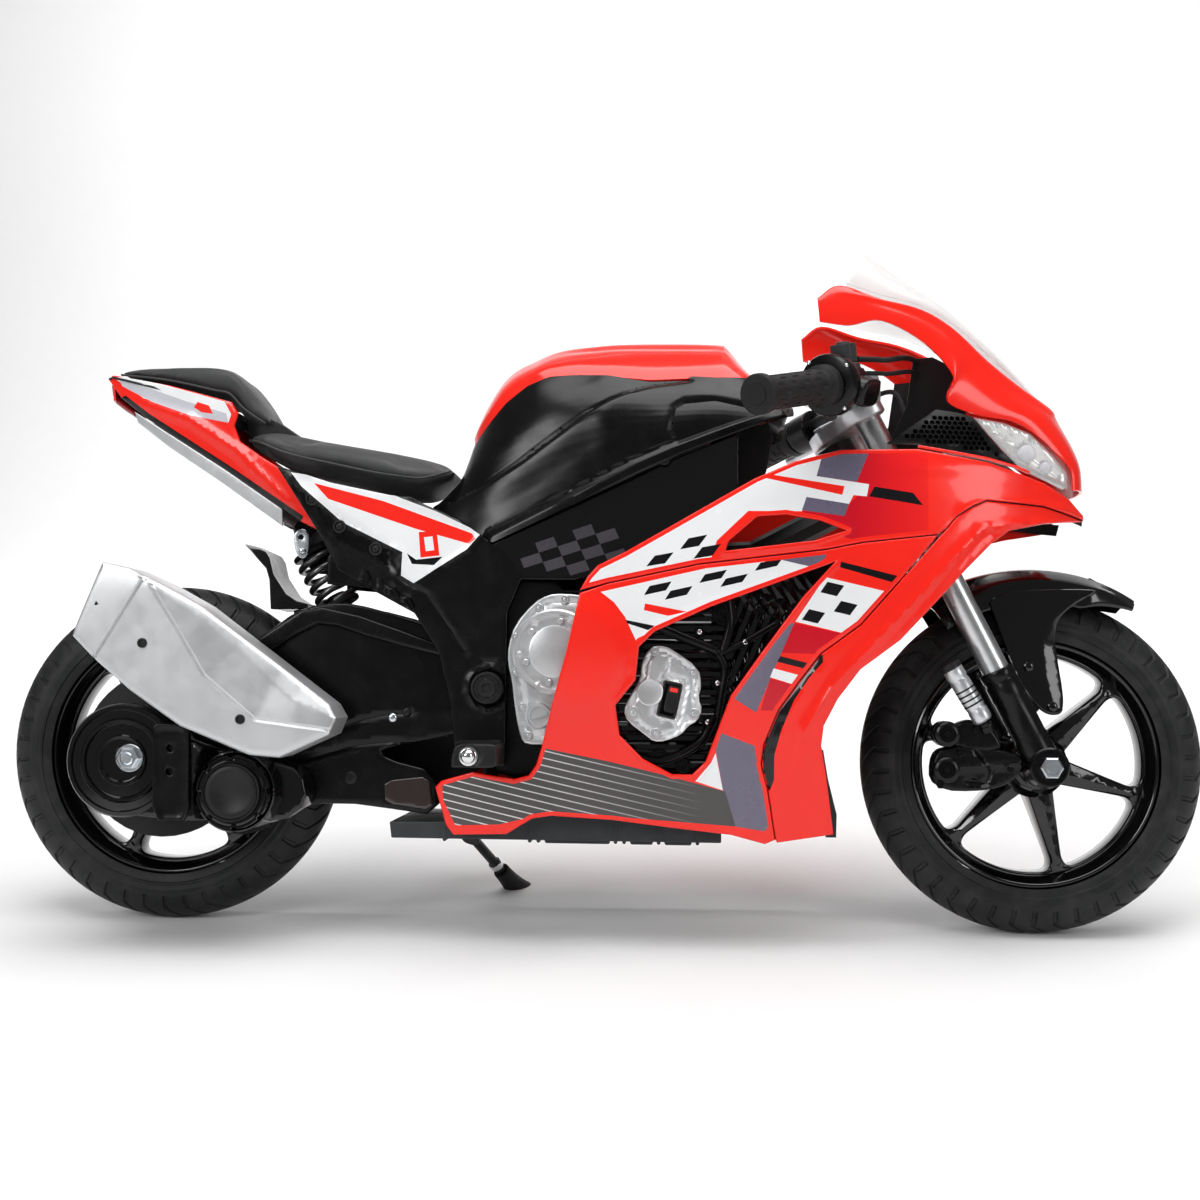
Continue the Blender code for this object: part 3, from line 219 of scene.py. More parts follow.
def fading(name, near, far, start, end, roughness):
    """Two tones of film that fade into each other along the bike, between two x values."""
    made, tree, shader = new_material(name)
    coords = place_coords(tree)
    parts = tree.nodes.new("ShaderNodeSeparateXYZ")
    tree.links.new(coords, parts.inputs[0])
    where = spread(tree, parts.outputs["X"], 0.0, 1.0, start, end)
    base = mix_colour(tree, where, near, far)
    broad = noise(tree, coords, 20.0)
    base = mix_colour(tree, spread(tree, broad, 0.0, 0.12), base, tone(near, 1.5))
    tree.links.new(base, shader.inputs["Base Color"])
    shader.inputs["Roughness"].default_value = roughness
    shader.inputs["Coat Weight"].default_value = 0.2
    shader.inputs["Specular IOR Level"].default_value = 0.3
    tree.links.new(bump(tree, noise(tree, coords, 900.0, 2.0), 0.00001), shader.inputs["Normal"])
    return made


def pinstriped(name, colour, stripe, direction, spacing, fade_start, fade_end):
    """Dark film with thin pale lines that fade out along the bike."""
    made, tree, shader = new_material(name)
    coords = place_coords(tree)
    dot = tree.nodes.new("ShaderNodeVectorMath")
    dot.operation = "DOT_PRODUCT"
    dot.inputs[1].default_value = direction
    tree.links.new(coords, dot.inputs[0])
    cycle = math_node(tree, "FRACT", math_node(tree, "DIVIDE", dot.outputs["Value"], spacing))
    line = math_node(tree, "LESS_THAN", cycle, 0.16)
    parts = tree.nodes.new("ShaderNodeSeparateXYZ")
    tree.links.new(coords, parts.inputs[0])
    fade = spread(tree, parts.outputs["X"], 0.9, 0.0, fade_start, fade_end)
    broad = noise(tree, coords, 16.0)
    base = mix_colour(tree, spread(tree, broad, 0.0, 1.0), tone(colour, 0.9), tone(colour, 1.1))
    base = mix_colour(tree, math_node(tree, "MULTIPLY", line, fade), base, stripe)
    tree.links.new(base, shader.inputs["Base Color"])
    shader.inputs["Roughness"].default_value = 0.34
    tree.links.new(bump(tree, noise(tree, coords, 700.0, 2.0), 0.00001), shader.inputs["Normal"])
    return made


def vinyl(name, colour, roughness):
    """Soft grained vinyl: leather cells with a fine noise over them, a random paler and darker tone, and
    painted shade that darkens the creases between the cells.
    """
    made, tree, shader = new_material(name)
    coords = place_coords(tree)
    cells = tree.nodes.new("ShaderNodeTexVoronoi")
    cells.feature = "DISTANCE_TO_EDGE"
    cells.inputs["Scale"].default_value = 620.0
    tree.links.new(coords, cells.inputs["Vector"])
    creases = spread(tree, cells.outputs["Distance"], 0.0, 1.0, 0.0, 0.12)
    broad = noise(tree, coords, 22.0)
    base = mix_colour(tree, spread(tree, broad, 0.0, 1.0), tone(colour, 0.85), tone(colour, 1.15))
    # painted shade: the creases between the leather cells are darkened towards 0.55 of the colour
    base = mix_colour(tree, spread(tree, creases, 0.35, 0.0, 0.0, 1.0), base, tone(colour, 0.55))
    tree.links.new(base, shader.inputs["Base Color"])
    tree.links.new(spread(tree, broad, roughness * 0.9, roughness * 1.15), shader.inputs["Roughness"])
    shader.inputs["Sheen Weight"].default_value = 0.15
    normal = bump(tree, creases, 0.00008, 0.8)
    normal = bump(tree, noise(tree, coords, 1500.0, 2.0), 0.00003, 0.7, normal)
    tree.links.new(normal, shader.inputs["Normal"])
    return made


def clear(name, tint, roughness, alpha=None):
    """Clear moulded plastic with faint flow marks."""
    made, tree, shader = new_material(name)
    coords = place_coords(tree)
    marks = noise(tree, coords, 40.0, 2.0)
    tree.links.new(mix_colour(tree, spread(tree, marks, 0.0, 1.0), tone(tint, 0.96), tint),
                   shader.inputs["Base Color"])
    tree.links.new(spread(tree, marks, roughness, roughness * 1.6), shader.inputs["Roughness"])
    shader.inputs["IOR"].default_value = 1.46
    if alpha is None:
        shader.inputs["Transmission Weight"].default_value = 1.0
    else:
        shader.inputs["Alpha"].default_value = alpha
    tree.links.new(bump(tree, noise(tree, coords, 25.0, 1.0), 0.00008, 0.3), shader.inputs["Normal"])
    return made


RED_TONE = (0.90, 0.017, 0.008)
CRIMSON_TONE = (0.55, 0.004, 0.016)
MAT = {
    "red": moulded("red_gloss_plastic", RED_TONE, 0.22, coat=0.35, vary=0.03, depth=0.000006, wave=0.00003,
                   shine=0.3),
    "crimson": fading("crimson_film", CRIMSON_TONE, RED_TONE, 0.23, 0.32, 0.2),
    "white": moulded("white_film", (0.82, 0.83, 0.84), 0.24, coat=0.4, vary=0.02, depth=0.000006),
    "purple": moulded("grey_violet_film", (0.125, 0.110, 0.165), 0.26, coat=0.4, vary=0.05, depth=0.000006),
    "film_black": moulded("black_film", (0.004, 0.004, 0.005), 0.2, coat=0.3, depth=0.000006, shine=0.3),
    "film_grey": moulded("dark_grey_film", (0.045, 0.041, 0.048), 0.26, coat=0.2, depth=0.000006),
    "pale_grey": moulded("pale_grey_film", (0.52, 0.52, 0.57), 0.25, coat=0.4, depth=0.000006),
    "panel": pinstriped("pinstripe_film", (0.062, 0.056, 0.056), (0.75, 0.73, 0.72), (0.216, 0.0, 0.976),
                        0.0066, -0.07, 0.10),
    "black": moulded("black_satin_plastic", (0.0022, 0.0022, 0.0026), 0.25, vary=0.15, depth=0.000015,
                     dust=0.003, wave=0.00002, shine=0.27),
    "gloss": moulded("black_gloss_plastic", (0.002, 0.002, 0.0024), 0.13, coat=0.4, depth=0.000005,
                     wave=0.00003, shine=0.4),
    "dull": moulded("black_grained_plastic", (0.006, 0.006, 0.0065), 0.46, vary=0.15, grain=1300.0,
                    depth=0.00005, dust=0.012, shine=0.32),
    "grey": moulded("dark_grey_plastic", (0.030, 0.033, 0.036), 0.48, grain=1200.0, depth=0.00005, dust=0.03,
                    shine=0.3),
    "silver": moulded("silver_paint", (0.60, 0.61, 0.62), 0.36, metallic=0.7, vary=0.03, grain=2400.0,
                      depth=0.00001),
    "tyre": moulded("tyre_rubber", (0.0085, 0.009, 0.0095), 0.52, vary=0.18, grain=1500.0, depth=0.00005,
                    dust=0.05, shine=0.30),
    "rubber": moulded("grip_rubber", (0.009, 0.009, 0.0095), 0.60, vary=0.15, grain=1800.0, depth=0.00005,
                      dust=0.03, shine=0.28),
    "chrome": moulded("plated_steel", (0.78, 0.79, 0.80), 0.16, metallic=1.0, vary=0.03, depth=0.000004),
    "brushed": moulded("satin_steel_tube", (0.66, 0.67, 0.68), 0.30, metallic=1.0, vary=0.04, depth=0.00001),
    "zinc": moulded("zinc_plate", (0.70, 0.74, 0.78), 0.24, metallic=1.0, vary=0.15, depth=0.00002),
    "steel_black": moulded("powder_coat", (0.005, 0.005, 0.0055), 0.40, grain=1700.0, depth=0.00004,
                           shine=0.35),
    "alloy": moulded("satin_alloy", (0.62, 0.63, 0.65), 0.36, metallic=0.9, vary=0.06, depth=0.00002),
    "vinyl": vinyl("seat_vinyl", (0.017, 0.018, 0.019), 0.50),
    "screen": clear("clear_screen", (0.90, 0.91, 0.90), 0.06, alpha=0.34),
    "lens": clear("lamp_lens", (0.95, 0.95, 0.94), 0.04, alpha=0.13),
    "reflector": moulded("lamp_reflector", (0.66, 0.66, 0.65), 0.24, metallic=0.9, depth=0.00001),
    "tail_lens": moulded("red_lens", (0.30, 0.008, 0.012), 0.10, coat=0.8, depth=0.00001),
    "spring": moulded("spring_steel", (0.16, 0.16, 0.165), 0.30, metallic=0.9, depth=0.00001),
    "brown": moulded("smoked_plastic", (0.030, 0.020, 0.018), 0.16, coat=0.5, depth=0.00001),
    "shade": moulded("check_print", (0.050, 0.046, 0.055), 0.30, coat=0.2, depth=0.00001),
}


# --- Mesh helpers -------------------------------------------------------------------------------

def add_piece(name, mesh, materials, body, nodes=(), angle=35, bevel=0.0):
    """A piece in the bike's frame that rides on a body and stands for some CAD nodes."""
    obj = bpy.data.objects.new(name, mesh)
    bpy.context.collection.objects.link(obj)
    obj.matrix_world = BIKE
    for material in materials.split():
        mesh.materials.append(MAT[material])
    mesh.shade_smooth()
    mesh.set_sharp_from_angle(angle=math.radians(angle))
    if bevel:
        modifier = obj.modifiers.new("edges", "BEVEL")
        modifier.width = bevel
        modifier.segments = 3
        modifier.limit_method = "ANGLE"
        modifier.angle_limit = math.radians(28)
        modifier.harden_normals = True
    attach(obj, body)
    if nodes:
        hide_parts(*nodes)
    return obj


def mesh_of(bm, name="shape", place=None, weld=0.00002):
    if weld:
        bmesh.ops.remove_doubles(bm, verts=bm.verts, dist=weld)
    bmesh.ops.recalc_face_normals(bm, faces=bm.faces)
    if place:
        bmesh.ops.transform(bm, matrix=place, verts=bm.verts)
    mesh = bpy.data.meshes.new(name)
    bm.to_mesh(mesh)
    bm.free()
    return mesh


def joined(*meshes, slots=None):
    """One mesh from several closed ones; slots gives each one's material index."""
    bm = bmesh.new()
    for i, mesh in enumerate(meshes):
        first = len(bm.faces)
        bm.from_mesh(mesh)
        bm.faces.ensure_lookup_table()
        if slots:
            for face in bm.faces[first:]:
                face.material_index = slots[i]
    mesh = bpy.data.meshes.new("joined")
    bm.to_mesh(mesh)
    bm.free()
    return mesh


def moved(mesh, matrix):
    mesh = mesh.copy()
    mesh.transform(matrix)
    if matrix.determinant() < 0:
        mesh.flip_normals()
    return mesh


MIRROR = Matrix.Diagonal((1, -1, 1, 1))
SIDES = ((-1, "right"), (1, "left"))


def along(start, end):
    """A frame at start whose Z points at end."""
    start = Vector(start)
    turn = (Vector(end) - start).to_track_quat("Z", "Y").to_matrix().to_4x4()
    return Matrix.Translation(start) @ turn


def across(x, z, y=0.0, side=-1):
    """A frame whose Z runs across the bike, to the right for side -1."""
    return Matrix.Translation((x, y, z)) @ Matrix.Rotation(math.radians(-90 * side), 4, "X")


def lathe(profile, place=None, steps=64, closed=False, wobble=None):
    """A turned shape from (radius, height) points in millimetres."""
    bm = bmesh.new()
    rows = []
    for i in range(steps):
        angle = 2 * math.pi * i / steps
        row = []
        for radius, height in profile:
            extra = wobble(angle, radius, height) if wobble else 0.0
            row.append(bm.verts.new(((radius + extra) * math.cos(angle) * MM,
                                     (radius + extra) * math.sin(angle) * MM, height * MM)))
        rows.append(row)
    count = len(profile)
    for i in range(steps):
        here, there = rows[i], rows[(i + 1) % steps]
        for k in range(count if closed else count - 1):
            m = (k + 1) % count
            bm.faces.new((here[k], there[k], there[m], here[m]))
    bmesh.ops.dissolve_degenerate(bm, dist=0.000001, edges=bm.edges)
    return mesh_of(bm, "lathe", place)


def loft(rings):
    """A closed skin over cross-sections, flat at both ends."""
    bm = bmesh.new()
    rows = [[bm.verts.new(point) for point in ring] for ring in rings]
    for near, far in zip(rows, rows[1:]):
        for i in range(len(near)):
            j = (i + 1) % len(near)
            bm.faces.new((near[i], near[j], far[j], far[i]))
    bm.faces.new(rows[0])
    bm.faces.new(rows[-1])
    return mesh_of(bm, "loft")


def curve_through(points, per_span):
    """Points on the Catmull-Rom curve through a route."""
    guide = [Vector(p) for p in points]
    guide = [2 * guide[0] - guide[1]] + guide + [2 * guide[-1] - guide[-2]]
    path = []
    for a, b, c, d in zip(guide, guide[1:], guide[2:], guide[3:]):
        for step in range(per_span):
            t = step / per_span
            path.append(0.5 * (2 * b + (c - a) * t + (2 * a - 5 * b + 4 * c - d) * t * t
                               + (3 * b - a - 3 * c + d) * t ** 3))
    path.append(guide[-2])
    return path


def tube(path, radius, sides, radii=None):
    """A round tube along points, without twist."""
    path = [Vector(p) for p in path]
    normal = None
    rings = []
    for i, point in enumerate(path):
        tangent = (path[min(i + 1, len(path) - 1)] - path[max(i - 1, 0)]).normalized()
        if normal is None:
            normal = tangent.orthogonal().normalized()
        normal = (normal - tangent * normal.dot(tangent)).normalized()
        side = tangent.cross(normal)
        r = radii[i] if radii else radius
        rings.append([point + (normal * math.cos(a) + side * math.sin(a)) * r
                      for a in (2 * math.pi * k / sides for k in range(sides))])
    return loft(rings)


def prism(outline, near, far):
    """A side-view outline in millimetres made solid across the bike, from y near to y far."""
    return loft([[Vector((x, y, z)) * MM for x, z in outline] for y in (near, far)])


def area_sign(points):
    total = 0.0
    for (x0, z0), (x1, z1) in zip(points, points[1:] + points[:1]):
        total += x0 * z1 - x1 * z0
    return 1.0 if total > 0 else -1.0


def offset_ring(points, distance):
    """A closed outline moved inward."""
    sign = area_sign(points)
    result = []
    count = len(points)
    for i, here in enumerate(points):
        here = Vector(here[:2])
        before = (here - Vector(points[i - 1][:2])).normalized()
        after = (Vector(points[(i + 1) % count][:2]) - here).normalized()
        normal = Vector((-(before.y + after.y), before.x + after.x)) * sign
        if normal.length < 0.2:
            normal = Vector((-after.y, after.x)) * sign
        normal.normalize()
        cosine = max(0.5, normal.dot(Vector((-after.y, after.x)) * sign))
        result.append(tuple(here + normal * (distance / cosine)))
    return result


def resampled(points, step, closed=True):
    """The same line with no stretch longer than step."""
    points = [Vector(p[:2]) for p in points]
    ends = points[1:] + points[:1] if closed else points[1:]
    result = []
    for a, b in zip(points, ends):
        count = max(1, math.ceil((b - a).length / step))
        result += [a + (b - a) * i / count for i in range(count)]
    if not closed:
        result.append(points[-1])
    return [tuple(p) for p in result]


def rounded(points, rounds=2, cut=0.25):
    """A closed outline with its corners cut repeatedly."""
    for _ in range(rounds):
        result = []
        for (x0, z0), (x1, z1) in zip(points, points[1:] + points[:1]):
            result.append((x0 + (x1 - x0) * cut, z0 + (z1 - z0) * cut))
            result.append((x1 - (x1 - x0) * cut, z1 - (z1 - z0) * cut))
        points = result
    return points


def ring_of(cx, cz, radius, steps=32):
    """A circle as a closed outline."""
    return [(cx + radius * math.cos(2 * math.pi * i / steps),
             cz + radius * math.sin(2 * math.pi * i / steps)) for i in range(steps)]


def line_distance(points, line, closed=True):
    """Each point's distance to a line, as arrays."""
    a = np.array([p[:2] for p in line], float)
    b = np.roll(a, -1, axis=0) if closed else a[1:]
    a = a if closed else a[:-1]
    best = np.full(len(points), 1e9)
    for start, end in zip(a, b):
        run = end - start
        length = max(float(run @ run), 1e-12)
        share = np.clip(((points - start) @ run) / length, 0, 1)
        best = np.minimum(best, np.linalg.norm(points - start - share[:, None] * run, axis=1))
    return best


def inside(points, outline):
    """Which of the points are inside an outline, as an array."""
    result = np.zeros(len(points), bool)
    a = np.array([p[:2] for p in outline], float)
    for (x0, z0), (x1, z1) in zip(a, np.roll(a, -1, axis=0)):
        crosses = (z0 > points[:, 1]) != (z1 > points[:, 1])
        with np.errstate(divide="ignore", invalid="ignore"):
            where = (x1 - x0) * (points[:, 1] - z0) / (z1 - z0) + x0
        result ^= crosses & (points[:, 0] < where)
    return result


def depth_inside(points, outline):
    """How far inside an outline each point is, and 0 outside it."""
    return np.where(inside(points, outline), line_distance(points, outline), 0.0)


def step_up(distance, start, end):
    """0 before start, 1 after end, smooth between."""
    t = np.clip((distance - start) / (end - start), 0, 1)
    return t * t * (3 - 2 * t)


def ridge(distance, half):
    """1 on a line, falling to 0 at half a width from it."""
    return 1 - step_up(distance, 0, half)


ROW_PITCH = 0.87  # of the spacing along a row, in a grid of triangles or hexagons


def flat_cells(outline, holes, decals, guides, cell, edge_rings):
    """Triangles that fill an outline, as points, faces and the decal over each face."""
    verts, edges, faces = [], [], []

    def line_in(line, closed, as_face):
        line = resampled(line, cell, closed)
        if as_face and area_sign(line) < 0:
            line.reverse()
        first = len(verts)
        verts.extend(Vector(p) for p in line)
        indices = list(range(first, first + len(line)))
        if as_face:
            faces.append(indices)
        else:
            ends = indices[1:] + indices[:1] if closed else indices[1:]
            edges.extend(zip(indices, ends))
        return line

    kept = [line_in(outline, True, True)]
    kept += [line_in(hole, True, True) for hole in holes]
    kept += [line_in(decal, True, True) for decal, _ in decals]
    for distance in edge_rings:
        line_in(offset_ring(resampled(outline, cell), distance), True, False)
    for hole in holes:
        for distance in edge_rings:
            line_in(offset_ring(resampled(hole, cell), -distance), True, False)
    for guide in guides:
        kept.append(line_in(guide, False, False))
    low = np.min(np.array(outline), axis=0)
    high = np.max(np.array(outline), axis=0)
    spots = []
    pitch = cell * ROW_PITCH
    for row in range(int((high[1] - low[1]) / pitch) + 1):
        z = low[1] + (row + 0.5) * pitch
        for column in range(int((high[0] - low[0]) / cell) + 1):
            spots.append((low[0] + (column + 0.5 * (row % 2)) * cell, z))
    spots = np.array(spots)
    spots = spots[inside(spots, outline)]
    clear_by = max(edge_rings, default=0) + cell * 0.35
    near = np.full(len(spots), 1e9)
    for line in kept[:1 + len(holes)]:
        near = np.minimum(near, line_distance(spots, line))
    spots = spots[near > clear_by]
    for line in kept[1 + len(holes):]:
        spots = spots[line_distance(spots, line, False) > cell * 0.4]
    verts.extend(Vector(p) for p in spots)
    made = geometry.delaunay_2d_cdt(verts, edges, faces, 0, 0.001, True)
    points, triangles, origins = made[0], made[2], made[5]
    hole_ids = set(range(1, 1 + len(holes)))
    first_decal = 1 + len(holes)
    kept_faces, indices = [], []
    for triangle, origin in zip(triangles, origins):
        if 0 not in origin or hole_ids & set(origin):
            continue
        over = [i for i in origin if i >= first_decal]
        indices.append(decals[max(over) - first_decal][1] if over else 0)
        kept_faces.append(triangle)
    return np.array([tuple(p) for p in points]), kept_faces, indices


def shell(outline, front, thickness, holes=(), decals=(), guides=(), cell=5.0, roll=1.4, relief=None,
          back=None, side=-1, rim=0.0):
    """A closed plate over an outline, in millimetres. front gives each point's height over the middle
    plane, relief is added to it, and the border is rolled over."""
    edge_rings = [roll * share for share in (0.2, 0.55, 1.0)] if roll else []
    if rim:
        edge_rings.append(rim)
        guides = list(guides) + [offset_ring(hole, -rim) for hole in holes]
    points, faces, indices = flat_cells(outline, holes, decals, guides, cell, edge_rings)
    distance = line_distance(points, outline)
    for hole in holes:
        distance = np.minimum(distance, line_distance(points, hole))
    if rim:
        middles = np.array([np.mean([points[i] for i in triangle], axis=0) for triangle in faces])
        reach = line_distance(middles, outline)
        for hole in holes:
            reach = np.minimum(reach, line_distance(middles, hole))
        indices = [0 if gap < rim else index for gap, index in zip(reach, indices)]
    height = np.array([front(x, z) for x, z in points])
    depth = np.array([back(x, z) for x, z in points]) if back else height - thickness
    if relief is not None:
        height = height + relief(points, distance)
    if roll:
        gap = np.clip(roll - distance, 0, roll)
        height = height - (roll - np.sqrt(np.maximum(roll * roll - gap * gap, 0)))
    bm = bmesh.new()
    outer = [bm.verts.new((x * MM, side * h * MM, z * MM)) for (x, z), h in zip(points, height)]
    inner = [bm.verts.new((x * MM, side * h * MM, z * MM)) for (x, z), h in zip(points, depth)]
    rims = {}
    for triangle, index in zip(faces, indices):
        face = bm.faces.new([outer[i] for i in triangle])
        face.material_index = index
        bm.faces.new([inner[i] for i in reversed(triangle)])
        for a, b in zip(triangle, triangle[1:] + triangle[:1]):
            rims[(a, b)] = True
    for a, b in rims:
        if (b, a) not in rims:
            bm.faces.new((outer[b], outer[a], inner[a], inner[b]))
    loose = [v for v in bm.verts if not v.link_faces]
    bmesh.ops.delete(bm, geom=loose, context="VERTS")
    bmesh.ops.recalc_face_normals(bm, faces=bm.faces)
    mesh = bpy.data.meshes.new("shell")
    bm.to_mesh(mesh)
    bm.free()
    return mesh


def flat_front(height):
    return lambda x, z: height


SCREW_HEAD = [(0, 0.55), (0.30, 0.55), (0.34, 1.0), (0.62, 0.93), (0.86, 0.70), (0.97, 0.35), (1.0, 0.0),
              (0, 0.0)]


def screw_mesh(radius, height, place, sides=28):
    """A domed screw head with a round recess, standing on the place's XY plane; millimetres."""
    return lathe([(radius * r, height * h) for r, h in SCREW_HEAD], place, sides)


def hex_nut(radius, height, place, washer=0.0):
    """A nut with chamfered corners; radius is to the corners, in millimetres."""
    def flats(angle, r, h):
        if r < radius * 0.75:
            return 0.0
        local_angle = (angle % (math.pi / 3)) - math.pi / 6
        return r * (math.cos(math.pi / 6) / math.cos(local_angle) - 1)

    profile = [(0, height * 0.92), (radius * 0.5, height * 0.92), (radius * 0.56, height * 0.80),
               (radius * 0.62, height), (radius * 0.86, height), (radius, height * 0.82),
               (radius, height * 0.14), (radius * 0.9, 0), (0, 0)]
    made = lathe(profile, place, 48, wobble=flats)
    if washer:
        ring = lathe([(radius * 0.5, 1.6), (washer - 0.4, 1.6), (washer, 1.2), (washer, -0.4),
                      (radius * 0.5, -0.4)], place, 48, True)
        made = joined(made, ring)
    return made


# --- Stage: camera, floor and lights ------------------------------------------------------------

def turn(x=0.0, y=0.0, z=0.0):
    return Matrix.Rotation(z, 4, "Z") @ Matrix.Rotation(x, 4, "X") @ Matrix.Rotation(y, 4, "Y")


CAMERA_PLACE = (0.0688, -1.5, 0.2376)
CAMERA_AIM = (0.0525, -0.0118, 0.0462)
LENS_MM = 45.72


def make_camera():
    data = bpy.data.cameras.new("camera")
    data.sensor_width = 36.0
    data.lens = LENS_MM
    camera = bpy.data.objects.new("camera", data)
    bpy.context.collection.objects.link(camera)
    camera.matrix_world = BIKE @ Matrix.Translation(CAMERA_PLACE) @ turn(*CAMERA_AIM) @ turn(math.pi / 2)
    bpy.context.scene.camera = camera


def make_floor():
    """A pale floor that curves up into a backdrop."""
    reach, bend_start, bend = 9.0, 5.0, 2.5
    bm = bmesh.new()
    rows = []
    for x in (-reach, reach):
        row = [(x, -reach, 0.0), (x, bend_start, 0.0)]
        row += [(x, bend_start + bend * math.sin(a), bend * (1 - math.cos(a)))
                for a in (math.radians(6 * k) for k in range(1, 16))]
        row.append((x, bend_start + bend, reach))
        rows.append([bm.verts.new(p) for p in row])
    for k in range(len(rows[0]) - 1):
        bm.faces.new((rows[0][k], rows[1][k], rows[1][k + 1], rows[0][k + 1]))
    mesh = bpy.data.meshes.new("floor")
    bm.to_mesh(mesh)
    bm.free()
    mesh.shade_smooth()
    floor = bpy.data.objects.new("floor", mesh)
    bpy.context.collection.objects.link(floor)
    made = moulded("studio_paper", (0.86, 0.86, 0.86), 0.75, vary=0.006, grain=300.0, depth=0.00002)
    mesh.materials.append(made)


def area_light(name, place, target, size, tall, power):
    data = bpy.data.lights.new(name, "AREA")
    data.shape = "RECTANGLE"
    data.size = size
    data.size_y = tall
    data.energy = power
    lamp = bpy.data.objects.new(name, data)
    bpy.context.collection.objects.link(lamp)
    lamp.location = place
    lamp.rotation_euler = (Vector(target) - Vector(place)).to_track_quat("-Z", "Y").to_euler()


def make_lights():
    world = bpy.data.worlds.new("studio")
    world.use_nodes = True
    background = world.node_tree.nodes["Background"]
    background.inputs["Color"].default_value = (1.0, 1.0, 1.0, 1.0)
    background.inputs["Strength"].default_value = 0.16
    bpy.context.scene.world = world
    area_light("top", (0.2, -0.4, 3.0), (0, 0, 0.2), 3.4, 1.8, 92)
    area_light("key", (-2.2, -2.8, 2.1), (0, 0, 0.3), 0.9, 1.7, 52)
    area_light("fill", (2.8, -2.4, 1.5), (0.1, 0, 0.3), 1.0, 1.8, 26)
    area_light("backdrop", (0.0, 2.6, 4.0), (0.0, 6.4, 1.0), 6.0, 2.0, 360)
    bpy.context.scene.view_settings.view_transform = "Standard"


make_camera()
make_floor()
make_lights()


# --- Wheels -------------------------------------------------------------------------------------

SPOKES = 6
CROWN = RIM_RADIUS * 1000 + 14.0
TREADS = 46
SLIT = (0.0, 0.30, 0.36, 0.50, 0.56, 0.78)  # shares of a tread's pitch, with the cut's floor in the middle
SLIT_FLOOR = (2, 3)
SLIT_DEPTH = 1.7
WINDOW_RADIUS = 104.0


def tyre_profile():
    """(radius, height, angle round the section) over the outside of the tyre."""
    bead = math.degrees(math.acos((RIM_RADIUS * 1000 + 0.4 - CROWN) / (TYRE_SECTION * 1000)))
    half = [bead, 112, 106, 101, 99, 97, 95, 90, 87, 85, 83, 79, 76, 74, 70, 64, 58, 52, 46, 40, 34, 28,
            22, 16, 12, 9, 5, 0]
    angles = half + [-a for a in half[-2::-1]]
    profile = []
    for degrees in angles:
        radius = TYRE_SECTION * 1000
        if 96 <= abs(degrees) <= 100:
            radius += 0.9
        if 84 <= abs(degrees) <= 88:
            radius += 0.5
        if abs(degrees) > 76:
            radius -= 0.35
        a = math.radians(degrees)
        profile.append((CROWN + radius * math.cos(a), radius * math.sin(a), degrees))
    return profile


def tyre_mesh(cx, cz):
    outside = tyre_profile()
    inner = [(CROWN + 25 * math.cos(math.radians(a)), 25 * math.sin(math.radians(a)), 180)
             for a in range(-112, 113, 28)]
    profile = outside + inner
    pitch = 2 * math.pi / TREADS
    sunk = SLIT_DEPTH / (TYRE_SECTION * 1000)
    bm = bmesh.new()
    rows = []
    for n in range(TREADS):
        for j, share in enumerate(SLIT):
            row = []
            for radius, height, degrees in profile:
                steep = abs(degrees)
                lean = pitch * 1.1 * (1 - min(1.0, steep / 46))
                if j in SLIT_FLOOR and 8 < steep < 75:
                    radius -= (radius - CROWN) * sunk
                    height -= height * sunk
                angle = pitch * (n + share) + lean
                row.append(bm.verts.new(((cx + radius * math.cos(angle)) * MM, height * MM,
                                         (cz + radius * math.sin(angle)) * MM)))
            rows.append(row)
    for near, far in zip(rows, rows[1:] + rows[:1]):
        for k in range(len(profile)):
            m = (k + 1) % len(profile)
            bm.faces.new((near[k], near[m], far[m], far[k]))
    return mesh_of(bm, "tyre", weld=0)


def spoke_half(r):
    """Half a spoke's width at a radius, in millimetres."""
    return 5.2 + 9.0 * max(0.0, (100 - r) / 87.5) ** 1.15 + 5.5 * max(0.0, (r - 91) / 13) ** 2


def wheel_windows(cx, cz, first):
    """The openings between the spokes."""
    windows = []
    for k in range(SPOKES):
        start = math.radians(first + 60 * k)
        stop = start + math.radians(60)
        radii = [r for r in range(27, 105, 3) if spoke_half(r) < r * math.sin(math.radians(30)) * 0.985]
        low = [(r, start + math.asin(spoke_half(r) / r)) for r in radii]
        high = [(r, stop - math.asin(spoke_half(r) / r)) for r in reversed(radii)]
        span = high[0][1] - low[-1][1]
        arc_points = [(WINDOW_RADIUS, low[-1][1] + span * (i + 0.5) / 10) for i in range(10)]
        polar = low + arc_points + high
        points = [(cx + r * math.cos(a), cz + r * math.sin(a)) for r, a in polar]
        windows.append(rounded(points, 3))
    return windows


def wheel_plate(cx, cz, first, side):
    def front(x, z):
        r = math.hypot(x - cx, z - cz)
        return 21.0 - 8.5 * min(1.0, max(0.0, (r - 22) / 80)) ** 0.8

    def relief(points, distance):
        offsets = points - np.array([cx, cz])
        r = np.linalg.norm(offsets, axis=1)
        angle = np.degrees(np.arctan2(offsets[:, 1], offsets[:, 0])) - first
        swing = np.radians((angle + 30) % 60 - 30)
        sideways = np.abs(r * np.sin(swing))
        return 3.0 * ridge(sideways, 7.0) * step_up(r, 24, 40) * (1 - step_up(r, 94, 103))

    guides = []
    for k in range(SPOKES):
        a = math.radians(first + 60 * k)
        guides.append([(cx + r * math.cos(a), cz + r * math.sin(a)) for r in (30, 100)])
    outline = ring_of(cx, cz, 108.5, 96)
    return shell(outline, front, 0, wheel_windows(cx, cz, first), (), guides, 4.0, 2.6, relief,
                 flat_front(0.0), side)


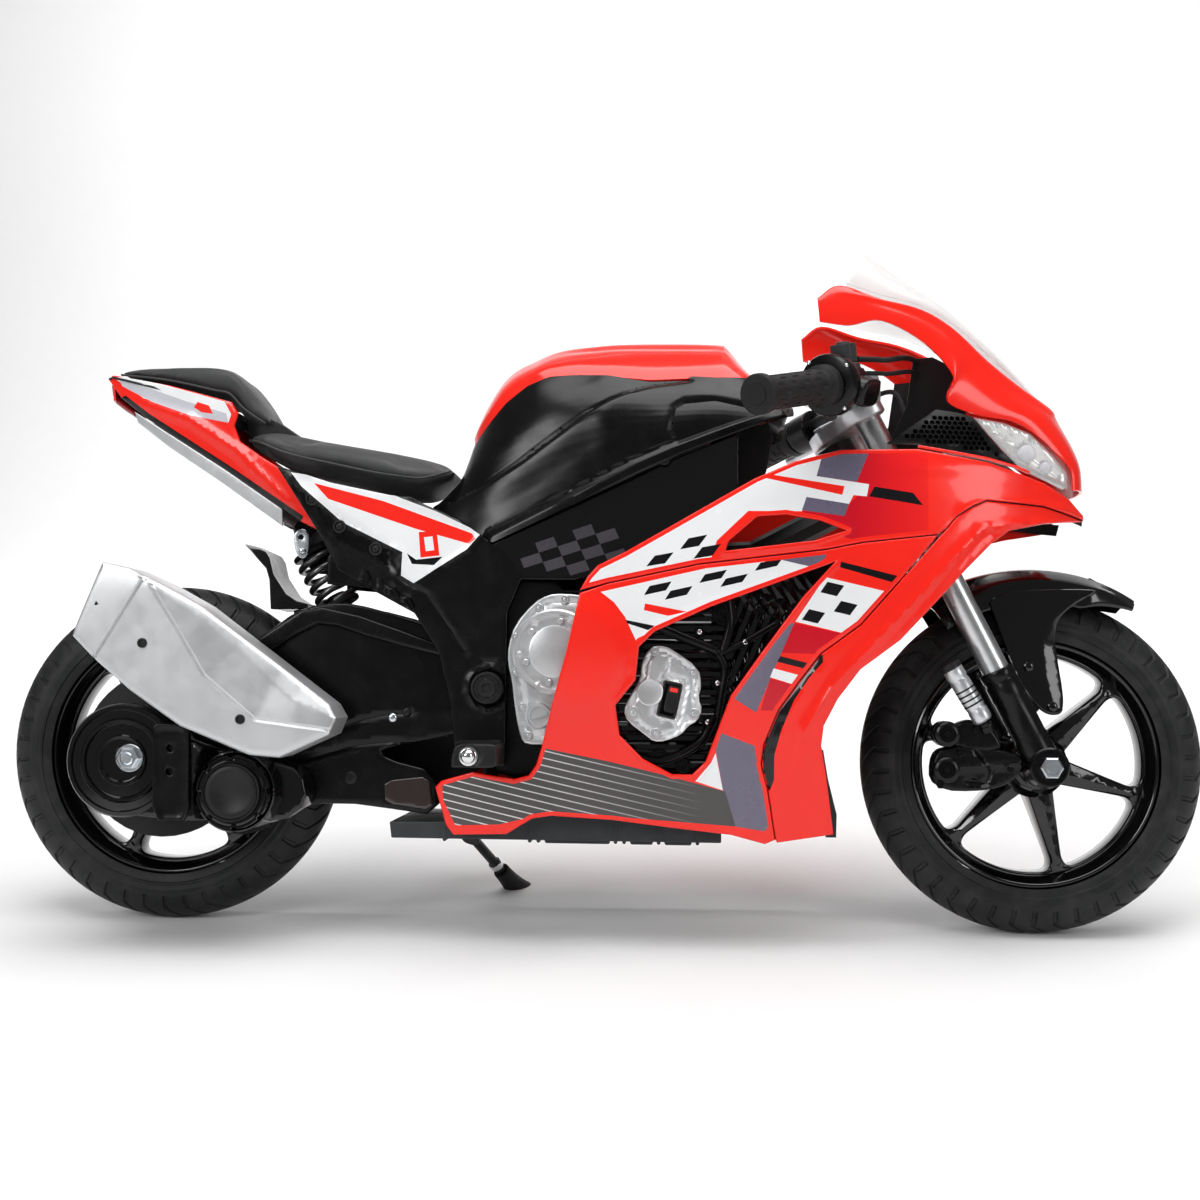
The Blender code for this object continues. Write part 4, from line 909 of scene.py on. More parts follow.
def make_wheel(prefix, body, centre, first):
    cx, cz = centre.x / MM, centre.z / MM
    add_piece(f"{prefix}_tyre_tread", tyre_mesh(cx, cz), "tyre", body, [f"{prefix}_tyre"],
              angle=28)
    lip = [(117.4, 24.6), (116.6, 26.0), (115.2, 26.6), (113.8, 26.2), (112.8, 25.0), (110.5, 20.5),
           (107.5, 17.5), (106.2, 13.0), (105.8, 6.0)]
    profile = lip + [(105.8, -6.0)] + [(r, -h) for r, h in reversed(lip[:-1])]
    place = across(centre.x, centre.z)
    meshes = [lathe(profile, place, 128, True), wheel_plate(cx, cz, first, -1),
              wheel_plate(cx, cz, first, 1)]
    hub = [(0, 34), (21, 34), (23.5, 33.2), (24.5, 31.5), (25, 27), (27.5, 24), (30, 21.4), (32, 19.5)]
    meshes.append(lathe(hub + [(32, -19.5)] + [(r, -h) for r, h in reversed(hub[:-1])], place, 64))
    for side in (-1, 1):
        for k in range(SPOKES):
            a = math.radians(first + 30 + 60 * k)
            spot = across(centre.x + 0.0185 * math.cos(a), centre.z + 0.0185 * math.sin(a),
                          side * 0.034, side)
            meshes.append(screw_mesh(2.3, 1.6, spot, 16))
    add_piece(f"{prefix}_rim_cast", joined(*meshes), "gloss", body, [f"{prefix}_rim"])


make_wheel("front", "front_wheel", FRONT_AXLE, 44)
make_wheel("rear", "rear_wheel", REAR_AXLE, 7)


# --- Fork, front hub, fender and caliper --------------------------------------------------------

FORK_SPREAD = 0.065


def fork_place(side):
    """A fork leg's frame, with its Z up the leg from the axle."""
    return FORK @ Matrix.Translation((0, side * FORK_SPREAD, 0))


def fork_parts():
    """The bright tubes, the dark legs with their axle clamps, and the front axle."""
    for side, label in SIDES:
        tube_profile = [(0, 52), (12.7, 52), (12.7, 248), (12.7, 376.5), (12.2, 378), (8, 378), (7.4, 377),
                        (6.0, 377), (5.6, 378), (0, 378)]
        add_piece(f"fork_stanchion_{label}", lathe(tube_profile, fork_place(side), 56), "brushed",
                  "steering", [f"fork_tube_{label}"])
        leg_profile = [(0, -14), (13.5, -14), (16.0, -12), (16.5, -9), (16.5, 30), (15.7, 32), (15.7, 70),
                       (16.5, 73), (16.5, 86), (15.4, 88), (15.4, 90), (16.5, 92), (16.5, 98.5),
                       (15.6, 100), (13.2, 100), (13.1, 96), (13.1, 22), (0, 22)]
        parts = [lathe(leg_profile, fork_place(side), 56)]
        clamp = [(0, 0), (21, 0), (21.6, 1.2), (21.6, 14), (20.4, 16), (17.6, 30), (18.2, 32), (18.2, 37.0),
                 (16.8, 38.4), (14.5, 38.4), (13.8, 37.4), (12.4, 37.4), (0, 37.4)]
        parts.append(lathe(clamp, across(FRONT_AXLE.x, FRONT_AXLE.z, side * 0.0462, side), 56))
        for z in (0.012, 0.020):
            spot = fork_place(side) @ Matrix.Translation((-0.0160, 0, z)) @ turn(y=-math.pi / 2)
            parts.append(screw_mesh(3.2, 2.6, spot, 20))
        add_piece(f"fork_slider_{label}", joined(*parts), "black", "fork_slider", [f"fork_leg_{label}"])
    ends = [hex_nut(10.5, 8.5, across(FRONT_AXLE.x, FRONT_AXLE.z, side * 0.0846, side))
            for side in (-1, 1)]
    rod = lathe([(0, -92.6), (4.8, -92.6), (5.8, -91.6), (5.8, 91.6), (4.8, 92.6), (0, 92.6)],
                across(FRONT_AXLE.x, FRONT_AXLE.z), 32)
    add_piece("front_axle_bolt", joined(rod, *ends), "zinc", "fork_slider", ["front_axle"])


def fender():
    """The gloss guard: a creased saddle over the tyre, a pointed tip and two arms."""
    steps = 44
    start, sweep = math.radians(58), math.radians(66)
    rings = []
    half = [(0, 187.0), (5.0, 187.6), (9.0, 187.0), (15, 186.2), (22, 184.8), (29, 181.4), (35.0, 178.2),
            (40, 175), (42.4, 168), (44, 161), (44.5, 155)]
    section = [(-w, r) for w, r in reversed(half)] + half[1:]
    for step in range(steps + 1):
        share = step / steps
        angle = start + sweep * share
        outward = Vector((math.cos(angle), 0, math.sin(angle)))
        rise = 3.2 * max(0.0, 1 - share * 6)
        ring = []
        for y, r in section:
            crease = -1.2 * max(0.0, 1 - abs(abs(y) - 29) / 3.0)
            skirt = min(1.0, 0.12 + share / 0.30)
            if abs(y) > 30:
                r = 181.4 - (181.4 - r) * skirt
            narrow = 0.60 + 0.40 * min(1.0, share / 0.22) ** 0.8
            ring.append(FRONT_AXLE + outward * ((r + crease - (0 if abs(y) < 40 else rise)) * MM)
                        + Vector((0, y * narrow * MM, 0)))
        rings.append(ring)
    inner = [[FRONT_AXLE + (p - FRONT_AXLE) * 0.9865 for p in ring] for ring in rings]
    loops = [outer + back[::-1] for outer, back in zip(rings, inner)]
    meshes = [loft(loops)]
    arm = [(366, 326), (376, 296), (391, 257), (406, 228), (417, 214), (427, 209), (438, 211), (440, 226),
           (434, 262), (431, 285), (434, 300), (446, 312), (463, 322), (474, 330)]
    tip = [(462, 338.2), (474, 341.0), (488, 334.5), (500, 329.2), (487, 328.0), (470, 329.0), (458, 331)]
    fold = [(428, 219), (421, 250), (419, 278), (428, 298), (446, 314), (458, 322)]

    def relief(points, distance):
        beyond = inside(points, fold + [(500, 300), (470, 200)])
        return np.where(beyond, -0.30 * np.minimum(line_distance(points, fold, False), 16), 0.0)

    for side in (-1, 1):
        meshes.append(shell(rounded(arm, 2), flat_front(48.0), 4.6, (), (), [fold], 5.0, 1.5, relief,
                            side=side))
        for x, z in ((428.0, 217.5), (406.0, 255.0)):
            meshes.append(screw_mesh(5.0, 3.0, across(x * MM, z * MM, side * 0.0478, side)))
    rings = []
    for y, shrink in ((-20, 5), (-14, 1.5), (-5, 0), (5, 0), (14, 1.5), (20, 5)):
        ring = []
        for x, z in tip:
            ring.append(Vector((x - shrink * max(0, (x - 458) / 42) * 1.6, y, z)) * MM)
        rings.append(ring)
    meshes.append(loft(rings))
    add_piece("front_guard", joined(*meshes), "gloss", "fork_slider", ["front_fender"],
              angle=24)


def caliper():
    """The brake body behind the fork leg and its fluid reservoir."""
    carrier = [(312, 139.5), (360, 139), (384, 147), (398, 161), (394, 175), (356, 179), (330, 181),
               (312, 174)]
    bridge = [(330, 199), (345, 206), (362, 202), (372, 190), (378, 176), (330, 176)]
    rail = [(318, 160), (392, 166)]
    web = [(352, 176), (366, 158), (362, 146), (344, 148)]

    def relief(points, distance):
        made = 3.0 * ridge(line_distance(points, rail, False), 6.0)
        made -= 2.6 * ridge(line_distance(points, web, False), 3.0)
        return made - 3.0 - 0.06 * (points[:, 0] - 312)

    meshes = [shell(rounded(carrier, 2), flat_front(80.0), 0, (), (), [rail, web], 3.4, 2.6, relief,
                    flat_front(53.0)),
              shell(rounded(bridge, 2), flat_front(74.0), 18, (), (), (), 4.0, 3.0)]
    for x, z, radius in ((325.0, 191.5, 12.0), (324.5, 158.5, 12.4)):
        pod = [(0, 5.0), (3.2, 5.0), (4.4, 3.6), (6.0, 3.6), (7.4, 5.2), (radius - 2.6, 4.8),
               (radius - 0.6, 3.2), (radius, 0.8), (radius, -3.2), (radius - 1.4, -4.2),
               (radius - 1.4, -6.2), (radius, -7.2), (radius, -22), (0, -22)]
        meshes.append(lathe(pod, across(x * MM, z * MM, -0.0760), 44))
    neck = [(0, 0), (6.6, 0), (6.6, 5), (5.2, 6), (5.2, 9), (0, 9)]
    meshes.append(lathe(neck, along((0.3615, -0.0790, 0.1960), (0.3555, -0.0830, 0.2060)), 24))
    for x, z in ((338, 175), (318, 145), (352, 145), (382, 160), (352, 197)):
        meshes.append(hex_nut(3.6, 2.6, across(x * MM, z * MM, -0.0788)))
    add_piece("brake_body", joined(*meshes), "black", "fork_slider", ["brake_caliper"])
    low, high = Vector((0.357, -0.0855, 0.204)), Vector((0.3265, -0.0855, 0.254))
    length = (high - low).length / MM
    bottle = [(0, 0), (6.5, 0), (8.6, 1.6), (9.2, 4), (9.2, 12), (8.6, 13), (8.6, 15), (9.2, 16),
              (9.2, length - 16), (8.7, length - 15), (8.7, length - 13), (9.4, length - 12),
              (9.4, length - 2), (8.0, length), (0, length)]
    add_piece("reservoir", lathe(bottle, along(low, high), 40), "alloy", "fork_slider")
    cap = [(0, length - 3), (9.55, length - 3), (9.9, length - 1), (9.2, length + 3.0), (6.0, length + 3.6),
           (0, length + 3.6)]
    marks = [lathe(cap, along(low, high), 40)]
    for k in range(4):
        band = 18 + 5 * k
        marks.append(lathe([(9.15, band), (9.34, band), (9.34, band + 1.6), (9.15, band + 1.6)],
                           along(low, high), 40, True))
    add_piece("reservoir_cap", joined(*marks), "dull", "fork_slider")


fork_parts()
fender()
caliper()


# --- Fairings -----------------------------------------------------------------------------------

def fairing_width(x, z):
    """Half the fairing's width at a point in side view; all in millimetres."""
    x, z = x * MM, z * MM
    width = BODY_HALF_WIDTH
    if x > NOSE_START:
        width *= math.sqrt(max(0.0, 1 - ((x - NOSE_START) / NOSE_LENGTH) ** 2))
    if x < 0:
        width *= 1 - 0.12 * (x / 0.14) ** 2
    if z < 0.36:
        width *= 1 - 0.25 * ((0.36 - z) / 0.26) ** 1.6
    if z > 0.40:
        width *= 1 - 0.12 * ((z - 0.40) / 0.07) ** 2
    return width / MM


def behind_fairing(gap):
    """The surface a gap inside the fairing's; a negative gap stands proud of it."""
    return lambda x, z: fairing_width(x, z) - gap


def shifted(points, dx, dz):
    return [(x + dx, z + dz) for x, z in points]


UPPER_TOP = [(-13, 318.5), (-6, 331), (3, 341), (27, 353), (60, 372), (108, 400), (144, 421), (180, 437),
             (221, 448), (292, 450), (356, 440), (412, 424), (440, 411), (456, 398)]
BEAK = [(457, 393), (412, 402.5), (355, 405), (341, 399), (327, 390), (318, 379)]
WAIST = [(309, 372.5), (240, 364), (208, 357.5), (95, 343.5), (12, 325.5)]
INTAKE = [(118, 355), (121, 364), (146, 386), (172, 388), (202, 383), (226, 374), (198, 365)]
WINDOW = [(216, 346), (106, 305), (55, 282), (41, 268), (38, 238), (20, 215), (24, 188), (45, 167),
          (72, 153), (90, 153), (102, 165), (124, 225), (151, 264), (188, 315)]
LOWER_FRONT = [(274, 330), (239, 290), (204, 264), (186, 240), (167, 213), (154, 181), (152, 163),
               (158, 141), (166, 94)]
LOWER_EDGE = [(157, 90), (126, 98), (78, 103), (18, 110), (-38, 113), (-56, 110), (-80, 95), (-130, 93),
              (-137, 102), (-147, 137), (-141, 143), (-111, 152), (-73, 146), (-59, 150), (-52, 160),
              (-47, 177), (-38, 214), (-25, 262), (-13, 316)]
STRIP_FRONT = [(457, 391.5), (412, 386), (377, 378), (360, 366), (336, 342), (302, 305), (276, 277),
               (240, 250), (220, 223), (208, 199), (206, 181), (211, 154), (219, 100)]

WHITE_UP = [(-12, 319), (-7, 331), (3, 340), (164, 431), (189, 441), (205, 444), (199, 423), (246, 416),
            (244, 405), (232, 406), (228, 398), (190, 404), (186, 391), (138, 391), (110, 364), (105, 348),
            (94, 344)]
CRIMSON_UP = [(199, 423), (205, 444), (212, 446), (300, 449), (300, 366), (240, 364), (224, 368),
              (202, 383), (186, 391), (228, 398), (246, 416)]
RED_STRIPE_UP = [(149, 422), (154, 425), (224, 414), (222, 406)]
GREY_TOP = [(205, 443), (215, 445.5), (247, 447), (235, 418), (199, 423)]
GREY_MID = [(190, 404), (228, 398), (224, 387), (186, 392)]
BADGE = [(251, 414), (286, 409), (295, 398), (246, 405)]
WHITE_LOW = [(6, 317), (105, 340), (167, 353), (164, 348), (193, 342), (153, 326), (40, 276), (38, 274),
             (28, 295), (18, 308)]
STRIPE_LOW = [(46, 307), (84, 300), (67, 296), (45, 301)]
LINE_LOW = [(29, 292), (55, 287), (49, 283), (30, 289)]
GREY_LOW = [(167, 351), (209, 355), (207, 349), (195, 341), (164, 348)]
WHITE_BOX = [(207, 332), (297, 312), (264, 273), (181, 292)]
LINE_A = [(221, 346), (310, 325), (305, 318), (220, 341)]
GREY_BAND = [(176, 290), (180, 291), (162, 247), (147, 210), (126, 223), (151, 258)]
CRIMSON_A = [(180, 291), (216, 283), (254, 275), (241, 254), (205, 263), (169, 264)]
LINE_B = [(168, 261), (234, 245), (231, 240), (165, 256)]
WHITE_B = [(162, 250), (224, 234), (219, 224), (159, 242)]
CRIMSON_B = [(159, 241), (178, 236), (168, 212), (151, 212)]
GREY_FOOT = [(116, 191), (146, 180), (151, 148), (160, 134), (162, 108), (156, 102), (130, 106),
             (118, 139), (111, 176)]
WHITE_TRI = [(111, 173), (118, 139), (93, 147), (107, 164)]
DARK_PANEL = [(-140, 139), (-111, 149), (-67, 145), (-50, 160), (-44, 175), (14, 164), (70, 151),
              (120, 138), (130, 106), (25, 113), (-30, 116), (-67, 109), (-86, 104), (-128, 102),
              (-139, 125)]
BULGE = (-14.0, 259.0)
SLOT = [(206, 263), (200, 260), (183, 243), (170, 222), (159, 195), (153.5, 172), (155, 149), (160, 139),
        (164, 149), (164, 172), (170, 195), (181, 222), (194, 242), (206, 256)]
TRIM = [(206, 181), (211, 154), (219, 100), (229, 97), (224, 140), (213, 179)]
RIDGE_UP = [(321, 366), (333, 394), (349, 400), (386, 402), (437, 400), (459, 394)]
RIDGE_FRONT = [(241, 373), (283, 351), (313, 378)]
FOLD_FRONT = [(431, 389), (352, 381), (322, 350), (262, 285), (216, 236), (190, 196), (188, 160)]


EVEN, ODD = 0, 1


def slanted_blocks(low_left, low_right, high_left, high_right, columns, rows, gap, skipped):
    """Slanted blocks that fill a four-sided field, leaving out the even or the odd ones."""
    corners = [Vector(p) for p in (low_left, low_right, high_left, high_right)]

    def at(u, v):
        low = corners[0].lerp(corners[1], u)
        high = corners[2].lerp(corners[3], u)
        return tuple(low.lerp(high, v))

    blocks = []
    for row in range(rows):
        for column in range(columns):
            if (column + row) % 2 == skipped:
                continue
            u0, u1 = (column + gap) / columns, (column + 1 - gap) / columns
            v0, v1 = (row + gap * 0.8) / rows, (row + 1 - gap * 0.8) / rows
            blocks.append([at(u0, v0), at(u1, v0), at(u1, v1), at(u0, v1)])
    return blocks


FAIRING_MATERIALS = "red white crimson film_black purple panel"
RED, WHITE, CRIMSON, INK, PURPLE, PANEL = range(6)


UPPER_DECALS = [(CRIMSON_UP, CRIMSON), (WHITE_UP, WHITE), (RED_STRIPE_UP, RED), (GREY_TOP, PURPLE),
                (GREY_MID, PURPLE), (BADGE, INK)]
LOWER_DECALS = [(WHITE_LOW, WHITE), (STRIPE_LOW, RED), (LINE_LOW, INK), (GREY_LOW, PURPLE),
                (WHITE_BOX, WHITE), (LINE_A, INK), (GREY_BAND, PURPLE), (CRIMSON_A, CRIMSON), (LINE_B, INK),
                (WHITE_B, WHITE), (CRIMSON_B, CRIMSON), (GREY_FOOT, PURPLE), (WHITE_TRI, WHITE),
                (DARK_PANEL, PANEL)]


def seam_blocks():
    """Generic slanted blocks above the seam between the fairings, below it, and on the white box."""
    high = slanted_blocks((44, 339), (150, 357), (62, 362), (168, 384), 5, 2, 0.10, ODD)
    low = slanted_blocks((36, 303), (160, 333), (48, 323), (172, 350), 5, 2, 0.10, EVEN)
    box = slanted_blocks((183, 293), (262, 275), (207, 330), (291, 311), 4, 3, 0.14, ODD)
    return high, low, box


def fits_in(block, outline, margin=1.5):
    """True if the block lies inside the outline, clear of its edge by the margin."""
    points = np.array(block)
    return bool(inside(points, outline).all() and line_distance(points, outline).min() > margin)


def fairings():
    """The upper, lower and front panels on both sides, with their film as material indices."""
    upper = UPPER_TOP + BEAK + WAIST
    lower = shifted(WAIST[::-1], 0, -1.0) + LOWER_FRONT + LOWER_EDGE
    back = shifted(BEAK[1:], 0, -1.2) + [(310.5, 370.2)] + shifted(LOWER_FRONT, 0.9, -0.5)
    strip = STRIP_FRONT + [(168, 91.5)] + back[::-1]
    high, low, box = seam_blocks()

    def upper_relief(points, distance):
        made = 2.2 * ridge(line_distance(points, RIDGE_UP, False), 7.0)
        made += 1.2 * (1 - step_up(line_distance(points, INTAKE), 1.0, 7.0))
        return made + 1.4 * step_up(points[:, 1], 424, 432) * step_up(points[:, 0], 210, 250)

    def lower_relief(points, distance):
        made = 1.6 * (1 - step_up(line_distance(points, WINDOW), 1.2, 8.0))
        gap = np.linalg.norm((points - np.array(BULGE)) / np.array([1.0, 1.25]), axis=1)
        return made + 3.0 * (1 - step_up(gap, 34, 50))

    def front_relief(points, distance):
        slot = depth_inside(points, SLOT)
        return -2.2 * step_up(slot, 0.0, 0.8) + 2.4 * ridge(line_distance(points, FOLD_FRONT, False), 6.0)

    inner_upper = [(b, INK) for b in high if fits_in(b, upper) and not fits_in(b, INTAKE, 0)]
    inner_lower = [(b, INK) for b in low + box if fits_in(b, lower)]
    slot_floor = [(SLOT, INK), (TRIM, INK)]
    panels = (("upper", upper, [INTAKE], UPPER_DECALS + inner_upper, [RIDGE_UP], upper_relief),
              ("lower", lower, [WINDOW], LOWER_DECALS + inner_lower, [], lower_relief),
              ("front", strip, [], slot_floor, [RIDGE_FRONT], front_relief))
    for label, outline, holes, decals, guides, relief in panels:
        for side, hand in SIDES:
            mesh = shell(outline, fairing_width, SHELL / MM, holes, decals, guides, 5.0, 1.6, relief,
                         side=side, rim=0.0 if label == "front" else 4.2)
            add_piece(f"fairing_{label}_skin_{hand}", mesh, FAIRING_MATERIALS, "root",
                      [f"fairing_{label}_{hand}"])


def ribbon(line, half):
    """A strip of even width along a line."""
    left, right = [], []
    for i, (x, z) in enumerate(line):
        before, after = line[max(i - 1, 0)], line[min(i + 1, len(line) - 1)]
        way = Vector((after[0] - before[0], after[1] - before[1])).normalized()
        left.append((x - way.y * half, z + way.x * half))
        right.append((x + way.y * half, z - way.x * half))
    return left + right[::-1]


def seam_backs():
    """Dark flanges behind the joints, so that no light shows between the panels."""
    lines = (WAIST[::-1], BEAK, LOWER_FRONT)
    for side, hand in SIDES:
        meshes = [shell(ribbon(line, 5.5), behind_fairing(3.4), 1.4, (), (), (), 5.0, 0.0, side=side)
                  for line in lines]
        add_piece(f"fairing_flanges_{hand}", joined(*meshes), "dull", "root")


def front_trims():
    """The black rubber edges of the front strips, next to the wheel."""
    outline = [(203, 178), (208, 177), (213, 150), (221.5, 118), (221.5, 97), (212, 97), (213, 118),
               (206, 148)]
    for side, hand in SIDES:
        mesh = shell(outline, behind_fairing(1.5), 5.0, (), (), (), 4.0, 1.2, side=side)
        add_piece(f"front_trim_{hand}", mesh, "dull", "root")


fairings()
seam_backs()
front_trims()


# --- Tank and side panels -----------------------------------------------------------------------

CAP_LINE = [(-160, 452), (-124, 462), (-112, 477), (-90, 502), (-69, 518), (-48, 526), (-18, 527),
            (48, 521), (84, 523), (160, 527)]
SEAM_LINE = [(-175, 408), (-164, 402), (-130, 387), (-97, 364), (-20, 400), (76, 446), (190, 492)]
# From each x: top height, cap edge, widest place and lower edge as (y, z)
TANK_STATIONS = [
    (-170, 400, (30, 396), (55, 380), (70, 345)),
    (-147, 422, (38, 416), (64, 395), (80, 340)),
    (-134, 436, (42, 430), (68, 405), (84, 340)),
    (-122, 480, (45, 456), (73, 410), (88, 335)),
    (-103, 520, (52, 490), (80, 425), (92, 335)),
    (-60, 553, (66, 520), (91, 450), (97, 345)),
    (0, 566, (73, 526), (103, 470), (100, 365)),
    (60, 568, (75, 523), (106, 476), (101, 395)),
    (118, 567, (72, 524), (101, 480), (98, 420)),
    (138, 545, (68, 522), (96, 480), (94, 435)),
    (182, 500, (60, 497), (87, 478), (87, 455)),
]
TANK_CREASE = [(-140, 405), (-111, 418), (-74, 440), (-11, 486), (24, 505), (49, 513), (84, 519)]
TANK_LIP = [(-96, 367), (-20, 404), (37, 433), (80, 452), (169, 488)]
HOLLOW = [(66, 494), (78, 503), (110, 506), (140, 500), (160, 486), (120, 470), (88, 457), (72, 452),
          (62, 468)]


def smooth_value(x, xs, ys):
    """A cubic through the points that doesn't overshoot."""
    slopes = np.gradient(ys, xs)
    i = int(np.clip(np.searchsorted(xs, x) - 1, 0, len(xs) - 2))
    span = xs[i + 1] - xs[i]
    t = min(1.0, max(0.0, (x - xs[i]) / span))
    rise = (ys[i + 1] - ys[i]) / span
    first = max(-3 * abs(rise), min(3 * abs(rise), slopes[i]))
    second = max(-3 * abs(rise), min(3 * abs(rise), slopes[i + 1]))
    return ((2 * t ** 3 - 3 * t * t + 1) * ys[i] + (t ** 3 - 2 * t * t + t) * span * first
            + (3 * t * t - 2 * t ** 3) * ys[i + 1] + (t ** 3 - t * t) * span * second)


def line_height(line, x):
    return float(np.interp(x, [p[0] for p in line], [p[1] for p in line]))


TANK_COLUMNS = np.array([[s[0], s[1], *s[2], *s[3], *s[4]] for s in TANK_STATIONS], float)


def tank_section(x):
    """The right half of the tank's cross-section, from the top down, as (y, z)."""
    top, cy, cz, fy, fz, ly, lz = [smooth_value(x, TANK_COLUMNS[:, 0], TANK_COLUMNS[:, k])
                                   for k in range(1, 8)]
    shoulder = (0.5 * cy, 0.25 * cz + 0.75 * top)
    half = [(-shoulder[0], shoulder[1]), (0, top), shoulder, (cy, cz), (fy, fz), (ly, lz)]
    path = curve_through([(y, z, 0) for y, z in half], 10)[10:]
    return [(p.x, p.y) for p in path]


def tank_width(x, z):
    rising = np.array(tank_section(x))[::-1]
    return float(np.interp(z, rising[:, 1], rising[:, 0]))


def cut_section(section, high, low):
    """The stretch of a cross-section between two heights, as evenly spread points."""
    points = []
    for (y0, z0), (y1, z1) in zip(section, section[1:]):
        for limit in (high, low):
            if (z0 - limit) * (z1 - limit) < 0:
                t = (z0 - limit) / (z0 - z1)
                points.append((y0 + (y1 - y0) * t, limit, "cut"))
        points.append((y1, z1, ""))
    points = [(*section[0], "")] + points
    kept = [(y, z) for y, z, _ in points if low - 1e-6 <= z <= high + 1e-6]
    return sorted(kept, key=lambda p: -p[1])


def evenly(points, count):
    points = [Vector((*p, 0)) for p in points]
    lengths = [0.0]
    for a, b in zip(points, points[1:]):
        lengths.append(lengths[-1] + (b - a).length)
    result = []
    for i in range(count):
        at = lengths[-1] * i / (count - 1)
        k = max(0, min(len(points) - 2, int(np.searchsorted(lengths, at, "right")) - 1))
        span = max(lengths[k + 1] - lengths[k], 1e-9)
        p = points[k].lerp(points[k + 1], (at - lengths[k]) / span)
        result.append((p.x, p.y))
    return result


def grid_shell(rows, thickness, relief, inward):
    """A closed sheet from rows of points in millimetres, with its back towards the inward point."""
    grid = np.array(rows, float)
    along_rows = np.gradient(grid, axis=0)
    along_columns = np.gradient(grid, axis=1)
    normals = np.cross(along_rows, along_columns)
    normals /= np.maximum(np.linalg.norm(normals, axis=2, keepdims=True), 1e-9)
    if float(((grid - np.array(inward, float)) * normals).sum()) < 0:
        normals = -normals
    back = grid - normals * thickness
    if relief is not None:
        grid = grid + normals * relief(grid)[..., None]
    bm = bmesh.new()
    front_rows = [[bm.verts.new(tuple(p * MM)) for p in row] for row in grid]
    back_rows = [[bm.verts.new(tuple(p * MM)) for p in row] for row in back]
    count, width = len(front_rows), len(front_rows[0])

    def quad(a, b, c, d):
        if len({a, b, c, d}) == 4:
            bm.faces.new((a, b, c, d))

    for i in range(count - 1):
        for j in range(width - 1):
            quad(front_rows[i][j], front_rows[i][j + 1], front_rows[i + 1][j + 1], front_rows[i + 1][j])
            quad(back_rows[i][j], back_rows[i + 1][j], back_rows[i + 1][j + 1], back_rows[i][j + 1])
        for j in (0, width - 1):
            quad(front_rows[i][j], front_rows[i + 1][j], back_rows[i + 1][j], back_rows[i][j])
    for i in (0, count - 1):
        for j in range(width - 1):
            quad(front_rows[i][j], front_rows[i][j + 1], back_rows[i][j + 1], back_rows[i][j])
    return mesh_of(bm, "sheet")


def tank_cap():
    """The red top of the tank, one sheet from side to side with a raised middle."""
    xs = np.linspace(-126.5, 153.5, 72)
    rows = []
    for x in xs:
        half = evenly(cut_section(tank_section(x), 700, line_height(CAP_LINE, x)), 20)
        row = [(x, -y, z) for y, z in reversed(half)] + [(x, y, z) for y, z in half[1:]]
        rows.append(row)

    def relief(grid):
        edge = np.array([line_height(CAP_LINE, x) for x in grid[..., 0].ravel()]).reshape(grid.shape[:2])
        above = grid[..., 2] - edge
        waist = np.abs(np.abs(grid[..., 1]) - 34)
        made = -1.0 * (1 - step_up(above, 0.0, 3.0))
        made += 2.2 * step_up(above, 3.0, 9.0) * (1 - step_up(grid[..., 0], 110, 150))
        middle = step_up(grid[..., 0], -60, 0) * (1 - step_up(grid[..., 0], 90, 140))
        return made - 2.0 * ridge(waist, 10.0) * middle

    add_piece("tank_top_cap", grid_shell(rows, 2.6, relief, (0, 0, 430)), "red", "root", ["tank_cap"],
              angle=40, bevel=0.0008)


def tank_cover():
    """The black shrouds on the tank's sides, with their crease, lip and hollow."""
    xs = np.concatenate([np.linspace(-163, -100, 44), np.linspace(-98, 183, 150)])
    meshes = []
    for side in (-1, 1):
        rows = []
        for x in xs:
            section = tank_section(x)
            half = evenly(cut_section(section, line_height(CAP_LINE, x) - 0.8, line_height(SEAM_LINE, x)), 72)
            rows.append([(x, side * y, z) for y, z in half])

        def relief(grid):
            flat = grid[..., [0, 2]].reshape(-1, 2)
            crease = line_distance(flat, TANK_CREASE, False)
            above = inside(flat, TANK_CREASE + [(84, 700), (-160, 700), (-170, 405)])
            made = np.where(above, -2.6 * (1 - step_up(crease, 0.0, 26.0)),
                            2.2 * (1 - step_up(crease, 2.0, 30.0)))
            made -= 1.5 * (1 - step_up(crease, 0.5, 4.5))
            lip = line_distance(flat, TANK_LIP, False)
            made += 2.4 * (1 - step_up(lip, 3.0, 7.5)) - 1.8 * ridge(np.abs(lip - 9.5), 2.6)
            made -= 5.0 * step_up(depth_inside(flat, HOLLOW), 0.0, 13.0)
            made += 1.6 * np.exp(-((flat[:, 0] - 8) / 16) ** 2) * step_up(flat[:, 1], 430, 480)
            return made.reshape(grid.shape[:2])

        meshes.append(grid_shell(rows, 2.6, relief, (0, 0, 440)))
    add_piece("tank_shroud", joined(*meshes), "black", "root", ["tank_cover"], angle=50,
              bevel=0.0006)
    x, z = 62.0, 441.0
    spot = across(x * MM, z * MM, -(tank_width(x, z) - 1.0) * MM)
    collar = lathe([(0, -3), (5.2, -3), (5.2, 1.6), (4.6, 2.1), (3.4, 2.1), (3.2, 0.6), (0, 0.6)], spot, 28)
    head = screw_mesh(3.0, 1.6, spot @ Matrix.Translation((0, 0, 0.0006)), 20)
    add_piece("tank_screw", joined(collar, head), "dull", "root")


def side_width(x, z):
    x, z = x * MM, z * MM
    return (0.083 + 0.04 * (x + 0.3) + 0.02 * max(0.0, 0.30 - z)) / MM


